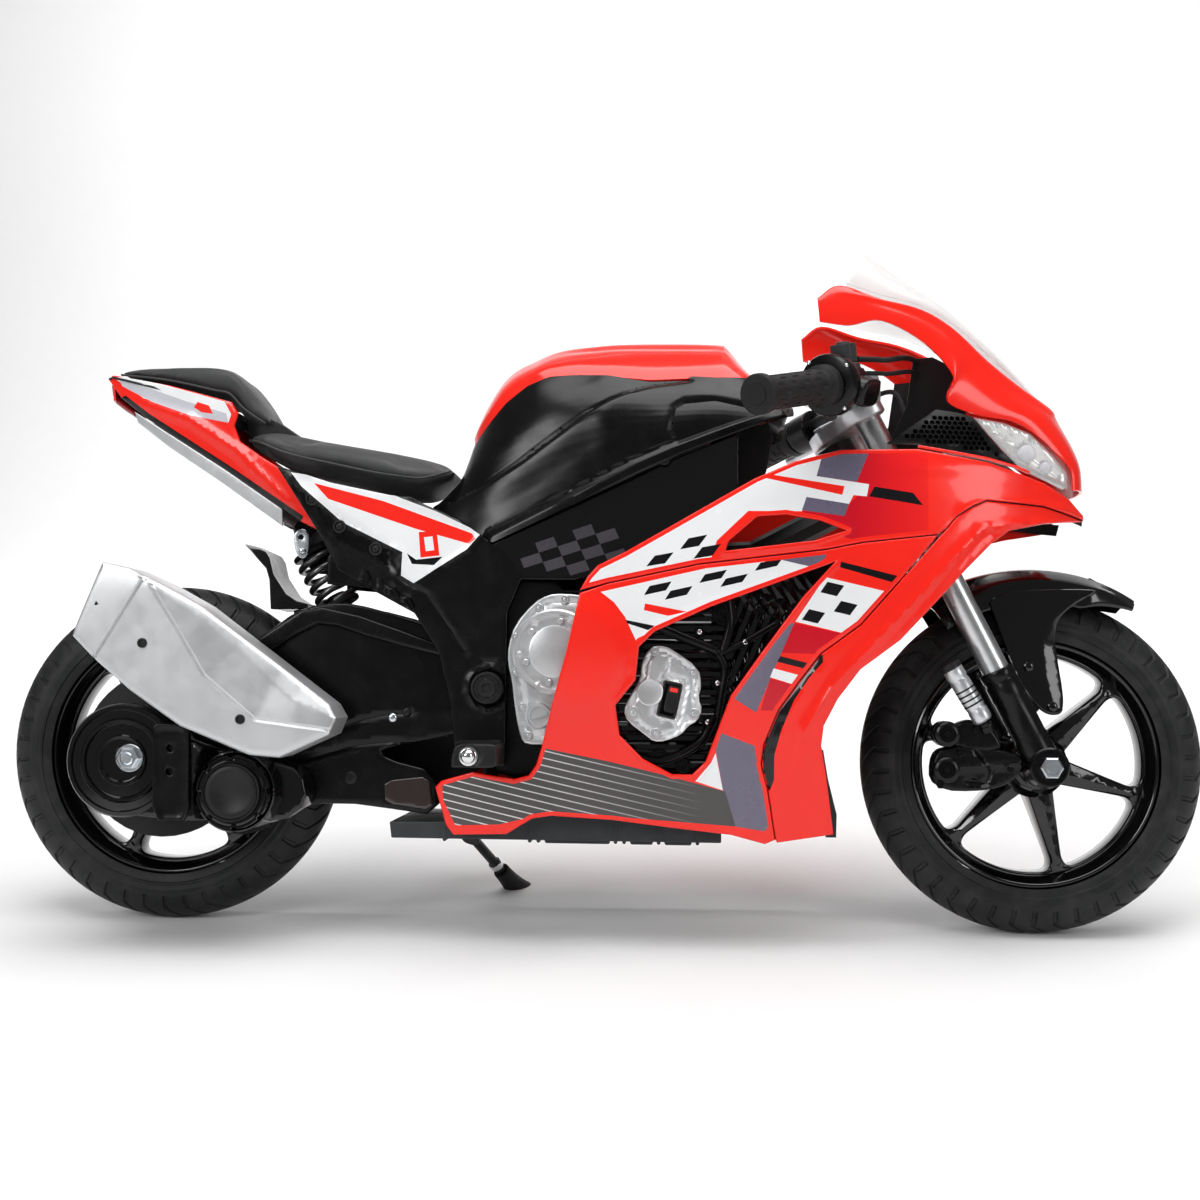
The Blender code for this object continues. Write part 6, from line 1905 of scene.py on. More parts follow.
def drive_unit():
    """The chain case and motor on the right of the rear wheel, their bracket and the rear axle."""
    centre = (-425.0, 160.0)
    outline = [(centre[0] + 52 * math.cos(math.radians(a)), centre[1] + 52 * math.sin(math.radians(a)))
               for a in range(75, 246, 10)]
    outline += [(-400, 109), (-355, 106), (-300, 104), (-279, 108), (-266, 118), (-262, 130), (-265, 144),
                (-274, 154), (-290, 159), (-310, 160), (-369, 180), (-395, 200)]
    bore = ring_of(MOTOR_AXIS.x / MM, MOTOR_AXIS.z / MM, 26.4, 48)

    def front(x, z):
        share = float(step_up(np.array(x), -364, -340))
        return 136.5 - 23.0 * share

    meshes = [shell(outline, front, 0, [bore], (), (), 3.6, 2.4, None, flat_front(77.6))]
    rings = [(0, 0.4), (10.8, 0.4), (11.2, -0.8), (18.4, -0.8), (19.6, 2.2), (22.0, 2.4), (23.2, 0.4),
             (32.6, 0.0), (34.2, 2.4), (36.8, 2.6), (38.4, 0.6), (45.0, 0.2), (46.4, 2.2), (49.6, 2.0),
             (51.4, -0.6), (51.8, -5.0), (51.8, -20.0), (0, -20.0)]
    meshes.append(lathe(rings, across(centre[0] * MM, centre[1] * MM, -0.1376), 120))
    cone = [(35.2, -8.4), (36.6, -9.0), (40.8, -34), (41.2, -60), (35.2, -60)]

    def flats(angle, radius, height):
        return -1.2 if radius > 36 and (math.degrees(angle) % 45) < 4 else 0.0

    meshes.append(lathe(cone, across(MOTOR_AXIS.x, MOTOR_AXIS.z, -0.1405), 180, True, flats))
    collar = [(26.5, -30), (26.5, 0.2), (28.2, 0.2), (28.6, -1.2), (30.4, -1.4), (31.4, -0.4), (33.0, -0.4),
              (33.4, -2.0), (35.6, -26), (35.6, -30)]

    def notches(angle, radius, height):
        if radius < 30 or height < -5:
            return 0.0
        return -1.6 if (math.degrees(angle) % 45) < 9 else 0.0

    meshes.append(lathe(collar, across(MOTOR_AXIS.x, MOTOR_AXIS.z, -0.1405), 160, True, notches))
    add_piece("drive_housing", joined(*meshes), "gloss", "swingarm", ["drive_cover"], angle=38)
    plate = [(-395, 191), (-390, 194), (-368, 193), (-362, 188), (-360, 108), (-393, 107.5)]
    holes = [ring_of(-379, 151, 3.4, 20), ring_of(-379, 172, 3.4, 20)]

    def plate_relief(points, distance):
        return -1.2 * step_up(line_distance(points, rounded(plate, 1, 0.15)), 2.4, 3.4)

    bracket = shell(rounded(plate, 1, 0.15), flat_front(146.9), 9.5, holes, (), [offset_ring(plate, 3.0)],
                    3.2, 1.0, plate_relief)
    add_piece("drive_bracket", bracket, "black", "swingarm", angle=38)
    cap = [(0, 64.6), (16, 64.6), (17.2, 65.4), (22.6, 65.4), (24.2, 64.4), (25.0, 66.3), (25.9, 65.6),
           (26.0, 0.2), (0, 0.2)]
    add_piece("motor_end_cap", lathe(cap, across(MOTOR_AXIS.x, MOTOR_AXIS.z, -0.0800), 64), "dull",
              "swingarm", ["drive_motor"])
    nuts = [hex_nut(10.5, 8.0, across(REAR_AXLE.x, REAR_AXLE.z, -0.1408), 12.5),
            hex_nut(10.5, 8.0, across(REAR_AXLE.x, REAR_AXLE.z, 0.0778, 1), 12.5),
            lathe([(0, -86.2), (4.6, -86.2), (5.8, -85), (5.8, 148), (4.6, 149.3), (0, 149.3)],
                  across(REAR_AXLE.x, REAR_AXLE.z), 28)]
    add_piece("rear_axle_bolt", joined(*nuts), "zinc", "swingarm", ["rear_axle"])


def rear_guard():
    outline = [(-355, 369), (-340, 365.5), (-331, 361.5), (-325, 354), (-319, 337), (-306, 318),
               (-295, 311), (-284, 308.5), (-284, 303.4), (-322, 303.4), (-325, 333), (-330, 345),
               (-341, 355)]
    rings = []
    for k in range(-16, 17):
        share = k / 16
        lift = -8 * share * share
        ring = []
        for x, z in outline:
            taper = max(0.0, (-318 - x) / 40)
            ring.append(Vector((x + 14 * taper * share * share, 32 * share, z + lift * taper)) * MM)
        rings.append(ring)
    add_piece("rear_splash_guard", loft(rings), "black", "swingarm", ["rear_mudguard"],
              angle=30, bevel=0.0012)


SPRING_LOW = Vector((-0.258, 0, 0.3075))
SPRING_HIGH = Vector((-0.2885, 0, 0.3625))


def rear_spring():
    """The shock absorber's parts; returns the coil, which runs between its cups."""
    place = along(SPRING_LOW, SPRING_HIGH)
    length = (SPRING_HIGH - SPRING_LOW).length
    turns, wire, steps = 4.5, 0.0033, 28
    path = []
    for step in range(int(turns * steps) + 1):
        angle = 2 * math.pi * step / steps
        share = step / (turns * steps)
        height = 0.0055 + (length - 0.011) * share
        radius = 0.0182 if 0.06 < share < 0.94 else 0.0172
        path.append(place @ Vector((radius * math.cos(angle), radius * math.sin(angle), height)))
    coil = add_piece("shock_coil", tube(path, wire, 14), "spring", "root", ["rear_spring"])
    cup = [(0, 0), (19.5, 0), (20.6, 1.2), (20.6, 4.2), (19.4, 5.2), (12, 5.2), (11, 11), (9, 13), (0, 13)]
    add_piece("shock_lower_cup", lathe(cup, place, 44), "rubber", "swingarm")
    high_place = place @ Matrix.Translation((0, 0, length)) @ Matrix.Rotation(math.pi, 4, "X")
    add_piece("shock_upper_cup", lathe(cup, high_place, 44), "dull", "root")
    bracket = [(-302, 378), (-290, 384), (-284, 374), (-286, 354), (-296, 352)]
    mesh = shell(rounded(bracket, 2), flat_front(28.5), 3.0, [ring_of(-293, 374, 2.6, 16)], (), (), 4.0, 0.8)
    screw = screw_mesh(3.6, 2.4, across(-0.291, 0.360, -0.0283), 22)
    add_piece("shock_bracket", joined(mesh, screw), "zinc", "root")
    return coil


muffler()
swingarm()
drive_unit()
rear_guard()
SPRING_COIL = rear_spring()


# --- Engine -------------------------------------------------------------------------------------

CLUTCH = [(-57, 308), (-44, 315.5), (-30, 317), (0, 314), (14, 303), (20, 290), (20, 215), (0, 188),
          (-43, 178), (-62, 178), (-67, 183), (-71, 200), (-74, 218), (-76, 236), (-80, 252), (-80, 268),
          (-74, 288)]
PUMP = [(50, 267), (60, 270), (70, 267), (95, 250), (98, 234), (95, 222), (99, 212), (94, 201), (86, 197),
        (80, 189), (66, 183), (55, 182), (46, 189), (31, 200), (27, 210), (32, 222), (42, 238), (43, 254)]


def bolt_boss(x, z, y, radius=4.2):
    place = across(x * MM, z * MM, -y * MM)
    boss = lathe([(0, -4), (radius, -4), (radius, 0.4), (radius - 0.7, 1.1), (radius * 0.62, 1.1),
                  (radius * 0.55, 0.3), (0, 0.3)], place, 28)
    return joined(boss, screw_mesh(radius * 0.46, 0.9, place @ Matrix.Translation((0, 0, 0.0002)), 18))


def clutch_cover():
    def relief(points, distance):
        made = -1.8 * step_up(distance, 4.0, 6.0) + 1.8 * step_up(distance, 8.5, 12.0)
        low = np.hypot(points[:, 0] + 50, points[:, 1] - 204)
        return made + 1.2 * (1 - step_up(np.abs(low - 13.5), 0.0, 1.6))

    meshes = [shell(rounded(CLUTCH, 1), flat_front(103.4), 0, (), (), (), 3.6, 1.6, relief,
                    flat_front(83.6))]
    drum = [(0, 7.6), (22.5, 7.6), (24.0, 7.0), (24.6, 5.0), (30.0, 4.4), (33.0, 5.0), (34.6, 7.0),
            (37.4, 7.2), (39.2, 5.6), (39.8, 0.0), (39.8, -4), (0, -4)]

    def lugs(angle, radius, height):
        if not 24.3 < radius < 33.5:
            return 0.0
        return -2.4 if (math.degrees(angle) % 60) < 8 else 0.0

    meshes.append(lathe(drum, across(-0.036, 0.263, -0.1038), 120, False, lugs))
    for k in range(6):
        a = math.radians(20 + 60 * k)
        meshes.append(moved(lathe([(0, 4.0), (2.8, 4.0), (2.8, 6.6), (2.0, 7.2), (0, 7.2)], None, 16),
                            across(-0.036, 0.263, -0.1038)
                            @ Matrix.Translation((0.0285 * math.cos(a), 0.0285 * math.sin(a), 0))))
    plug = [(0, -3), (11.4, -3), (11.4, 1.6), (10.4, 2.6), (8.6, 2.6), (8.2, 1.4), (0, 1.4)]
    meshes.append(lathe(plug, across(-0.050, 0.204, -0.1034), 40))
    slot_bar = [(-58, 203.2), (-57, 201.4), (-42, 205.0), (-43, 206.8)]
    meshes.append(prism(slot_bar, -107.0, -103.0))
    for x, z in ((-28, 311.5), (-52, 303.5), (-73, 276), (-73, 244), (-66, 212), (-60, 186)):
        meshes.append(bolt_boss(x, z, 103.2, 4.0))
    add_piece("clutch_casting", joined(*meshes), "silver", "root", ["clutch_cover"],
              angle=30)


def switch_cover():
    step = [(36, 255), (57, 262), (83, 251), (97, 239)]
    seam = [(71, 257), (62, 239), (57, 228)]
    rocker = [(64.5, 237.3), (79.7, 234.1), (73.2, 203.6), (58.0, 206.8)]

    def relief(points, distance):
        made = -1.5 * step_up(distance, 2.6, 4.0) + 1.5 * step_up(distance, 5.5, 7.5)
        made -= 1.6 * ridge(line_distance(points, seam, False), 1.8)
        made -= 1.0 * ridge(line_distance(points, step, False), 1.8)
        around = line_distance(points, rocker) * np.where(inside(points, rocker), -1, 1)
        return made + 0.9 * (1 - step_up(np.abs(around - 2.0), 0.4, 1.6))

    meshes = [shell(rounded(PUMP, 1), flat_front(110.8), 0, [rocker], (), [step, seam], 2.8, 1.4, relief,
                    flat_front(83.6))]
    boss = [(0, -3), (12.2, -3), (12.2, 1.0), (11.2, 1.4), (10.0, 1.0), (0, 1.0)]
    meshes.append(lathe(boss, across(0.051, 0.227, -0.1106), 44))
    for x, z, r in ((55, 264.5, 4.2), (90, 245, 5.0), (91, 208, 5.2), (57, 190, 5.0), (36, 208, 6.4)):
        meshes.append(bolt_boss(x, z, 110.6, r))
    add_piece("switch_casting", joined(*meshes), "silver", "root", ["switch_cover"],
              angle=30)
    inner = offset_ring(rocker, 0.05)
    frame_mesh = shell(inner, flat_front(111.8), 9.0, [offset_ring(rocker, 1.6)], (), (), 3.0, 0.5)
    floor = shell(inner, flat_front(101.0), 6.0, (), (), (), 6.0, 0.0)
    add_piece("switch_bezel", joined(frame_mesh, floor), "dull", "root")


def rocker_switch():
    tip = local_axis("rocker_tip")
    place = Matrix.Translation(SWITCH_PLACE) @ Matrix.Rotation(math.atan2(-tip.z, tip.x), 4, "Y")
    outline = rounded([(-5.6, -12.2), (5.6, -12.2), (5.6, 12.2), (-5.6, 12.2)], 2, 0.12)

    def front(x, z):
        return 2.6 + 0.013 * z * z

    body = moved(shell(outline, front, 0, (), (), (), 2.0, 0.8, None, flat_front(-7.0)), place)
    mark = [(-3.6, 6.6), (3.6, 6.6), (3.6, 10.4), (-3.6, 10.4)]
    red = moved(shell(mark, lambda x, z: front(x, z) + 0.35, 1.0, (), (), (), 1.6, 0.2), place)
    add_piece("rocker_button", joined(body, red, slots=[0, 1]), "dull red", "rocker", ["rocker_switch"])


# Each pipe's radius in millimetres, and its route in metres
ENGINE_PIPES = (
    (4.6, (0.020, -0.088, 0.291), (0.054, -0.089, 0.288), (0.083, -0.088, 0.277), (0.112, -0.086, 0.266)),
    (4.0, (0.112, -0.086, 0.266), (0.120, -0.087, 0.250), (0.117, -0.087, 0.226), (0.112, -0.086, 0.196)),
    (3.0, (0.112, -0.087, 0.262), (0.134, -0.088, 0.272), (0.166, -0.087, 0.291)),
    (4.4, (0.118, -0.087, 0.266), (0.124, -0.088, 0.290), (0.122, -0.087, 0.312)),
    (5.0, (0.030, -0.087, 0.170), (0.060, -0.088, 0.163), (0.096, -0.087, 0.180), (0.110, -0.086, 0.205)),
)


def engine_block():
    """The finned block behind the fairing windows, with its pipes, bosses and screws."""
    block = [(-56, 190), (-56, 300), (-45, 321), (150, 321), (191, 300), (195, 240), (168, 180), (140, 126),
             (-50, 126)]

    def relief(points, distance):
        fins = 2.2 * np.sin(points[:, 1] * 2 * math.pi / 8.5)
        lean = points[:, 0] * 0.92 - points[:, 1] * 0.38
        slant = 3.0 * np.sin(lean * 2 * math.pi / 9.0)
        front = step_up(points[:, 0], 122, 130)
        mid = (1 - front) * step_up(points[:, 1], 150, 158)
        return -3.0 + (fins * mid * 0.9 + slant * front) * step_up(distance, 1.0, 5.0)

    meshes = []
    for side in (-1, 1):
        meshes.append(shell(block, flat_front(82.5), 3.0, (), (), (), 2.8, 1.5, relief, side=side))
    meshes.append(prism(offset_ring(block, 1.5), -79.6, 79.6))
    add_piece("engine_case", joined(*meshes), "gloss", "root", ["engine_block"], angle=50)
    pipes = []
    for radius, *points in ENGINE_PIPES:
        pipes.append(tube(curve_through(points, 8), radius * MM, 18))
    for x, z, r in ((112, 266, 8.5), (119, 300, 12.0), (96, 283, 5.0), (113, 236, 6.5), (60, 166, 9.0),
                    (82, 160, 7.0), (138, 274, 4.0), (104, 200, 5.0)):
        ring = [(0, -5), (r, -5), (r, 6), (r - 0.8, 7), (r * 0.7, 7), (r * 0.62, 5.6), (r * 0.3, 5.6),
                (r * 0.22, 6.6), (0, 6.6)]
        pipes.append(lathe(ring, across(x * MM, z * MM, -0.0822), 32))
    add_piece("engine_pipes", joined(*pipes), "black", "root", angle=35)
    bolts = [screw_mesh(2.8, 2.0, across(x * MM, z * MM, -0.0890), 18)
             for x, z in ((138, 274), (104, 200), (96, 283), (113, 236))]
    add_piece("engine_screws", joined(*bolts), "chrome", "root")


def pivot_bolt():
    meshes = [lathe([(0, -98), (6.7, -98), (6.7, 98), (0, 98)], across(ARM_PIVOT.x, ARM_PIVOT.z), 32)]
    for side in (-1, 1):
        place = across(ARM_PIVOT.x, ARM_PIVOT.z, side * 0.0966, side)
        cap = [(0, 0), (14.4, 0), (15.0, 0.8), (15.0, 8.0), (14.2, 9.6), (12.6, 9.8), (11.8, 8.4), (9.2, 8.4),
               (8.6, 9.6), (4.6, 9.6), (4.0, 8.4), (0, 8.4)]

        def cross(angle, radius, height):
            return -1.0 if height > 9 and radius < 10 and (math.degrees(angle) % 90) < 14 else 0.0

        meshes.append(lathe(cap, place, 72, False, cross))
        for a in (30, 120, 210, 300):
            turn_by = Matrix.Rotation(math.radians(a), 4, "Z")
            bar = prism([(4.0, -1.1), (11.8, -1.1), (11.8, 1.1), (4.0, 1.1)], 8.2, 9.4)
            meshes.append(moved(bar, place @ turn_by @ Matrix.Rotation(math.radians(90), 4, "X")))
    add_piece("swingarm_pivot_plug", joined(*meshes), "dull", "root", ["swingarm_bolt"],
              angle=30)


def pegs():
    outline = rounded([(-123, 160), (-120, 178), (-112, 180.4), (-84, 180.4), (-82, 176), (-82, 162),
                       (-86, 159.6), (-118, 159.6)], 1, 0.2)
    for side, hand in SIDES:
        def relief(points, distance):
            around = np.hypot(points[:, 0] + 107, points[:, 1] - 169.5)
            return -1.6 * (1 - step_up(around, 10.0, 11.5)) - 1.0 * step_up(points[:, 0], -90, -88)

        body = shell(outline, flat_front(165.8), 0, (), (), (), 2.6, 2.0, relief, flat_front(101.2), side)
        grooves = []
        for y in range(110, 158, 8):
            low, high = sorted((side * y, side * (y + 4)))
            grooves.append(prism([(-121, 180.0), (-84, 180.0), (-84, 182.0), (-121, 181.4)], low, high))
        add_piece(f"peg_block_{hand}", joined(body, *grooves), "dull", "root", [f"foot_peg_{hand}"],
                  angle=35)
        dome = [(0, 6.6), (2.6, 6.2), (4.8, 4.8), (6.2, 2.8), (6.9, 0.6), (7.0, 0), (8.4, -0.2), (8.4, -1.8),
                (0, -1.8)]
        add_piece(f"peg_nut_{hand}", lathe(dome, across(-0.107, 0.1695, side * 0.1652, side), 40), "chrome",
                  "root", angle=40)


def belly_pan():
    """The ribbed tray under the body, with a notch for the side stand."""
    whole = [(-192, 103), (-190, 88), (118, 88), (118, 124.5), (-70, 124.5), (-85, 104)]
    behind_notch = [(-192, 103), (-190, 88), (-158, 88), (-158, 103.6)]
    ahead_of_notch = [(-90, 103.9), (-90, 88)] + whole[2:]
    slabs = ((whole, -75, 14), (whole, 66, 75), (behind_notch, 14, 66), (ahead_of_notch, 14, 66))
    meshes = [prism(*slab) for slab in slabs]
    for x in (-140, -60, -52, 20, 28, 60, 96):
        for low, high in ((-75.6, 13), (66.5, 75.6)):
            rib = [(x - 2.2, 104), (x - 2.2, 85.6), (x + 2.2, 85.6), (x + 2.2, 104)]
            meshes.append(prism(rounded(rib, 1, 0.2), low, high))
    for x0, x1 in ((-48, 16), (32, 56), (64, 92)):
        meshes.append(prism([(x0, 92), (x0 + 2, 84.8), (x1 - 2, 84.8), (x1, 92)], -70, 70))
    add_piece("belly_tray", joined(*meshes), "grey", "root", ["belly_pan"], angle=30,
              bevel=0.0012)


def kickstand():
    """The side stand: leg, ring and a rubber boot that is cut flat along the floor."""
    tip = Vector((-0.0925, 0.125, 0.0176))
    down = along(STAND_PIVOT, tip)
    eye_place = along(STAND_PIVOT, STAND_PIVOT + local_axis("kickstand_fold"))
    leg = lathe([(0, 2), (4.9, 2), (4.9, 84), (0, 84)], down, 28)
    eye = lathe([(0, -5), (8.9, -5), (9.5, -4.2), (9.5, 4.2), (8.9, 5), (0, 5)], eye_place, 36)
    add_piece("stand_tube", joined(leg, eye), "steel_black", "kickstand", ["kickstand_leg"])
    ring = [(5.0, 53), (6.4, 53), (7.0, 54), (7.0, 60), (6.4, 61), (5.0, 61)]
    add_piece("stand_ring", lathe(ring, down, 36, True), "chrome", "kickstand")
    flare = [(5.6, 70), (8.2, 70), (8.6, 71), (8.8, 78), (9.6, 90), (11.4, 104), (13.6, 116), (14.4, 118),
             (14.2, 120), (15.6, 127), (16.0, 131), (16.4, 150), (5.6, 150), (5.6, 84)]
    mesh = lathe(flare, down, 56, True)
    bm = bmesh.new()
    bm.from_mesh(mesh)
    floor_normal = TO_BIKE.to_3x3() @ Vector((0, 0, 1))
    bmesh.ops.bisect_plane(bm, geom=bm.verts[:] + bm.edges[:] + bm.faces[:], dist=0.000001,
                           plane_co=local((0, 0, 0.0002)), plane_no=floor_normal, clear_inner=True)
    bmesh.ops.holes_fill(bm, edges=[e for e in bm.edges if e.is_boundary])
    bmesh.ops.recalc_face_normals(bm, faces=bm.faces)
    bm.to_mesh(mesh)
    bm.free()
    add_piece("stand_boot", mesh, "rubber", "kickstand", ["kickstand_foot"], angle=40)


def fillers():
    """Dark liners that close the view through the body behind its covers."""
    behind_clutch = [(-92, 150), (-88, 330), (-40, 330), (-30, 320), (-30, 150), (-50, 140)]
    upper_liner = [(-40, 300), (20, 322), (100, 345), (210, 360), (236, 352), (205, 305), (160, 262),
                   (150, 240), (120, 300)]
    slats = [[(x, 338), (x + 30, 300)] for x in range(120, 200, 9)]

    def louvres(points, distance):
        made = np.zeros(len(points))
        for slat in slats:
            made += 2.4 * ridge(line_distance(points, slat, False), 2.6)
        return made

    for side, hand in SIDES:
        meshes = [shell(behind_clutch, flat_front(81.8), 2.2, (), (), (), 9.0, 0.6, side=side),
                  shell(upper_liner, flat_front(79.0), 2.2, (), (), slats, 5.0, 0.6, louvres, side=side)]
        add_piece(f"engine_liner_{hand}", joined(*meshes), "black", "root")
    shroud = [(-262, 327), (-262, 352), (-240, 392), (-170, 384), (-150, 323), (-172, 320), (-214, 323)]
    far = [(-308, 384), (-300, 400), (-240, 400), (-235, 341), (-262, 339), (-284, 340), (-298, 352)]
    grooves = [[(x, 346 - (x + 230) * 0.25), (x + 2, 331 - (x + 230) * 0.25)]
               for x in (-226, -212, -198, -184)]

    def slots(points, distance):
        made = np.zeros(len(points))
        for groove in grooves:
            made -= 2.0 * (1 - step_up(line_distance(points, groove, False), 2.0, 3.2))
        return made

    meshes = [shell(far, flat_front(1.0), 2.0, (), (), (), 9.0, 0.5)]
    for side in (-1, 1):
        meshes.append(shell(shroud, flat_front(47.0), 3.2, (), (), grooves, 3.6, 1.0, slots, side=side))
    add_piece("shock_shroud", joined(*meshes), "black", "root")
    web = [(-250, 210), (-125, 214), (-116, 200), (-116, 150), (-150, 122), (-250, 132)]
    add_piece("swingarm_web", shell(web, flat_front(3.0), 0, (), (), (), 9.0, 1.5, None, flat_front(-3.0)),
              "dull", "swingarm")
    base = [(-352, 496), (-340, 497), (-312, 484), (-296, 472), (-298, 462), (-345, 464)]
    add_piece("pillion_base", shell(base, flat_front(30.0), 0, (), (), (), 7.0, 1.5, None, flat_front(-30.0)),
              "dull", "root")


fillers()
clutch_cover()
switch_cover()
rocker_switch()
engine_block()
pivot_bolt()
pegs()
belly_pan()
kickstand()


# --- Bars and controls --------------------------------------------------------------------------

BAR_END = BAR_ROOT + BAR_OUT * 0.1269
BAR = along(BAR_ROOT, BAR_END)
LEFT_BAR = MIRROR @ BAR @ Matrix.Diagonal((-1, 1, 1, 1))
LEVER_PIVOT = local(joint_point("brake_lever_pull"))
RIB_START, RIB_STOP = 30.0, 112.0
RIB_PITCH = 10.25
BAR_RADIUS = 0.0089
LEAD_RADIUS = 0.0026
SECOND_LEAD_RADIUS = 0.0022


def bar_route():
    right = [BAR_END, BAR_ROOT, Vector((0.244, -0.080, 0.520)), Vector((0.252, -0.050, 0.523))]
    return right + [Vector((p.x, -p.y, p.z)) for p in reversed(right)]


def grip_mesh(place):
    """A ribbed sleeve with raised pads, a thick collar and a round end flange."""
    profile = [(9.4, 12), (18.2, 12), (19.0, 13), (19.0, 21), (18.0, 22), (15.0, 24)]
    heights = np.linspace(26, 115, 90)
    profile += [(14.6 - 0.6 * (h - 26) / 89, h) for h in heights]
    profile += [(14.0, 116.6), (17.0, 118.4), (17.5, 119.4), (17.5, 124.6), (16.6, 125.8), (14.4, 126.2),
                (11.4, 125.4), (8.6, 126.2), (4, 126.2), (0, 126.2)]

    def pads(angle, radius, height):
        if not RIB_START < height < RIB_STOP:
            return 0.0
        band = (height - RIB_START) / RIB_PITCH
        row = int(band)
        across_band = band - row
        sector = (math.degrees(angle) + 22.5 * (row % 2)) % 45
        raised = 0.12 < across_band < 0.88 and 5 < sector < 40
        return 0.85 if raised else 0.0

    return lathe(profile, place, 144, False, pads)


def bars():
    path = []
    route = bar_route()
    for a, b in zip(route, route[1:]):
        path += [a.lerp(b, k / 8) for k in range(8)]
    path.append(route[-1])
    for _ in range(4):
        path = [path[0]] + [(a + 2 * b + c) / 4 for a, b, c in zip(path, path[1:], path[2:])] + [path[-1]]
    add_piece("handlebar_tube", tube(path, BAR_RADIUS, 28), "steel_black", "steering", ["handlebar"])
    add_piece("throttle_sleeve", grip_mesh(BAR), "rubber", "throttle", ["throttle_grip"],
              angle=32)
    add_piece("left_sleeve", grip_mesh(LEFT_BAR), "rubber", "steering", ["left_grip"],
              angle=32)
    case = [(9.5, 10.2), (25.6, 10.2), (27.2, 9.4), (28.0, 7.4), (28.2, -1.0), (27.6, -3.4), (25.4, -4.4),
            (25.0, -9.5), (23.8, -10.6), (23.2, -24.0), (21.0, -26.0), (9.5, -26.0)]

    def splines(angle, radius, height):
        return -1.3 if height < -5 and radius > 20 and (math.degrees(angle) % 30) < 8 else 0.0

    meshes = [lathe(case, BAR, 144, True, splines)]
    block = [(-10, -31), (10, -31), (13, -22), (13, -6), (9, 0), (-9, 0), (-13, -8), (-13, -24)]
    ahead = BAR.to_3x3().inverted() @ Vector((1, 0, -0.2))
    facing = math.atan2(ahead.y, ahead.x) + math.pi / 2
    meshes.append(moved(shell(rounded(block, 1), flat_front(33.0), 24.0, (), (), (), 4.0, 2.0),
                        BAR @ Matrix.Rotation(facing, 4, "Z")))
    add_piece("throttle_case", joined(*meshes), "black", "steering", ["throttle_housing"],
              angle=35)
    screws = []
    for a in (35, 125, 215, 305):
        x, y = 0.0268 * math.cos(math.radians(a)), 0.0268 * math.sin(math.radians(a))
        screws.append(screw_mesh(2.0, 1.4, BAR @ Matrix.Translation((x, y, 0.0098)), 18))
    add_piece("throttle_case_screws", joined(*screws), "chrome", "steering")
    perch = [(9.5, 9), (19.2, 9), (20, 8), (20, -17), (19.2, -18), (9.5, -18)]
    mesh = lathe(perch, LEFT_BAR, 56, True)
    arm = prism([(-20, -11), (9, -11), (9, -4.6), (-20, -4.6)], -7, 7)
    add_piece("lever_perch", joined(mesh, moved(arm, Matrix.Translation(LEVER_PIVOT))), "black", "steering",
              ["brake_perch"], bevel=0.0008)
    lever()
    switch = prism(rounded([(-11, -9), (11, -9), (11, 9), (-11, 9)], 2, 0.2), -8, 9)
    place = BAR @ Matrix.Translation((0.004, 0.026, -0.0200))
    block_mesh = moved(switch, place)
    knob = moved(lathe([(0, 9), (5.6, 9), (6.4, 8), (6.4, 0), (0, 0)], None, 30),
                 place @ Matrix.Translation((0, 0.002, 0)) @ Matrix.Rotation(math.radians(-90), 4, "X"))
    add_piece("signal_block", joined(block_mesh, knob), "grey", "steering", bevel=0.0010)


def lever():
    """The brake lever: a tapered blade with an eye on its pivot."""
    outward = Vector((BAR_OUT.x, -BAR_OUT.y, BAR_OUT.z))
    tip = LEVER_PIVOT + outward * 0.104 + Vector((0.012, 0, 0))
    middle = LEVER_PIVOT + outward * 0.045 + Vector((0.010, 0, 0))
    route = curve_through([LEVER_PIVOT + Vector((0, 0, 0.004)), middle, tip], 14)
    radii = [0.0040 + 0.0004 * math.sin(i * 0.4) for i in range(len(route))]
    radii[-3:] = [0.0044, 0.0046, 0.0040]
    eye = lathe([(0, -2.4), (8.4, -2.4), (9, -1.8), (9, 8.2), (8.2, 8.9), (3.0, 8.9), (2.6, 8.2), (0, 8.2)],
                Matrix.Translation(LEVER_PIVOT), 36)
    add_piece("brake_lever_blade", joined(tube(route, 0.004, 18, radii=radii), eye), "alloy", "brake_lever",
              ["brake_lever"])


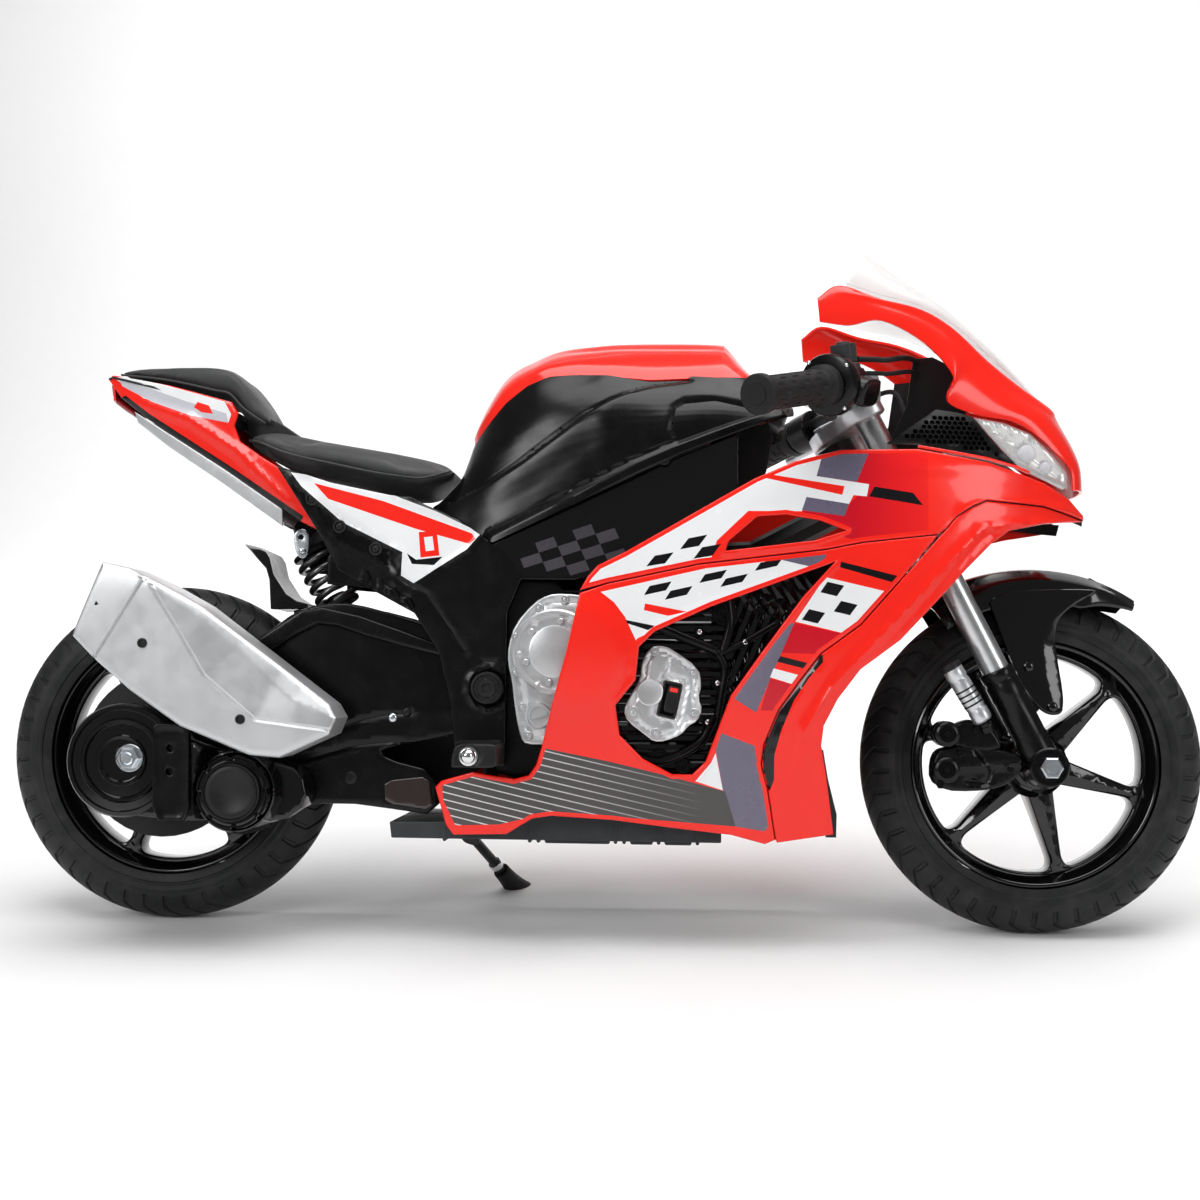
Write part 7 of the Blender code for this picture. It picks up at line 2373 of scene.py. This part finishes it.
def cables():
    """Two throttle leads and the brake lead, which meet in a clip ahead of the steering stem."""
    meet = FORK @ Vector((0.034, 0, 0.290))
    clip = FORK @ Vector((0.034, 0, 0.268))
    throttle = [BAR @ Vector((0.012, 0.020, -0.029)), (0.262, -0.100, 0.535), (0.300, -0.060, 0.540),
                (0.310, -0.030, 0.490), meet]
    brake = [LEFT_BAR @ Vector((0.0, 0.012, -0.022)), (0.262, 0.100, 0.530), (0.296, 0.060, 0.535),
             (0.306, 0.030, 0.490), meet]
    meshes = [tube(curve_through(route, 14), LEAD_RADIUS, 16) for route in (throttle, brake)]
    second = [Vector(p) + Vector((0.004, 0.004, -0.012)) for p in throttle[:-1]] + [meet]
    meshes.append(tube(curve_through(second, 14), SECOND_LEAD_RADIUS, 14))
    length = (meet - clip).length / MM
    clamp = [(0, -1), (5.0, -1), (6.0, 0), (6.0, length - 1), (5.2, length), (3.2, length + 4),
             (0, length + 4)]
    meshes.append(lathe(clamp, along(clip, meet), 28))
    add_piece("control_leads", joined(*meshes), "rubber", "steering", ["control_cables"])


STEM_BACK = 0.028


def yokes():
    top = [(-46, 30), (-46, -30), (-34, -62), (-16, -82), (8, -84), (18, -76), (19, -52), (8, -30), (8, 30),
           (19, 52), (18, 76), (8, 84), (-16, 82), (-34, 62)]
    for name, low, high, node, material, slot in (
            ("top_yoke_casting", 362.2, 375.8, "upper_yoke", "alloy", "alloy"),
            ("lower_yoke_casting", 248.2, 265.8, "steering_stem", "steel_black", "frame_steel")):
        holes = [ring_of(0, side * FORK_SPREAD / MM, 13.1, 32) for side in (-1, 1)]
        plate = moved(shell(rounded(top, 1), flat_front(-low), 0, holes, (), (), 5.0, 1.6, None,
                            flat_front(-high)), Matrix.Rotation(math.pi / 2, 4, "X"))
        meshes = [moved(plate, FORK)]
        if node == "steering_stem":
            meshes.append(lathe([(0, 255), (9.9, 255), (9.9, 361.4), (0, 361.4)],
                                FORK @ Matrix.Translation((-STEM_BACK, 0, 0)), 32))
        else:
            for side in (-1, 1):
                low_y, high_y = sorted((side * 22.4, side * 43.6))
                clamp = [(236, 494), (268, 494), (268, 528), (262, 536.5), (242, 536.5), (236, 528)]
                meshes.append(prism(rounded(clamp, 2), low_y, high_y))
                for x in (241, 263):
                    spot = Matrix.Translation((x * MM, side * 0.033, 0.5345))
                    meshes.append(screw_mesh(3.2, 3.0, spot, 20))
            meshes.append(hex_nut(12.0, 7.0, FORK @ Matrix.Translation((-STEM_BACK, 0, 0.3758)), 14.5))
        add_piece(name, joined(*meshes), material, "steering", [node], angle=35)


bars()
cables()
yokes()


# --- What stays of the CAD nodes ----------------------------------------------------------------

KEPT_NODES = {"frame_spine": "steel_black", "battery": "grey", "drive_gear": "dull", "motor_pinion": "dull"}


def paint_kept_nodes():
    for name, material in KEPT_NODES.items():
        obj = frame["nodes"][name]
        for slot in obj.material_slots:
            slot.material = MAT[material]


paint_kept_nodes()
bpy.context.view_layer.update()
SPRING_COIL.parent = None
SPRING_COIL.matrix_world = BIKE
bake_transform(SPRING_COIL)
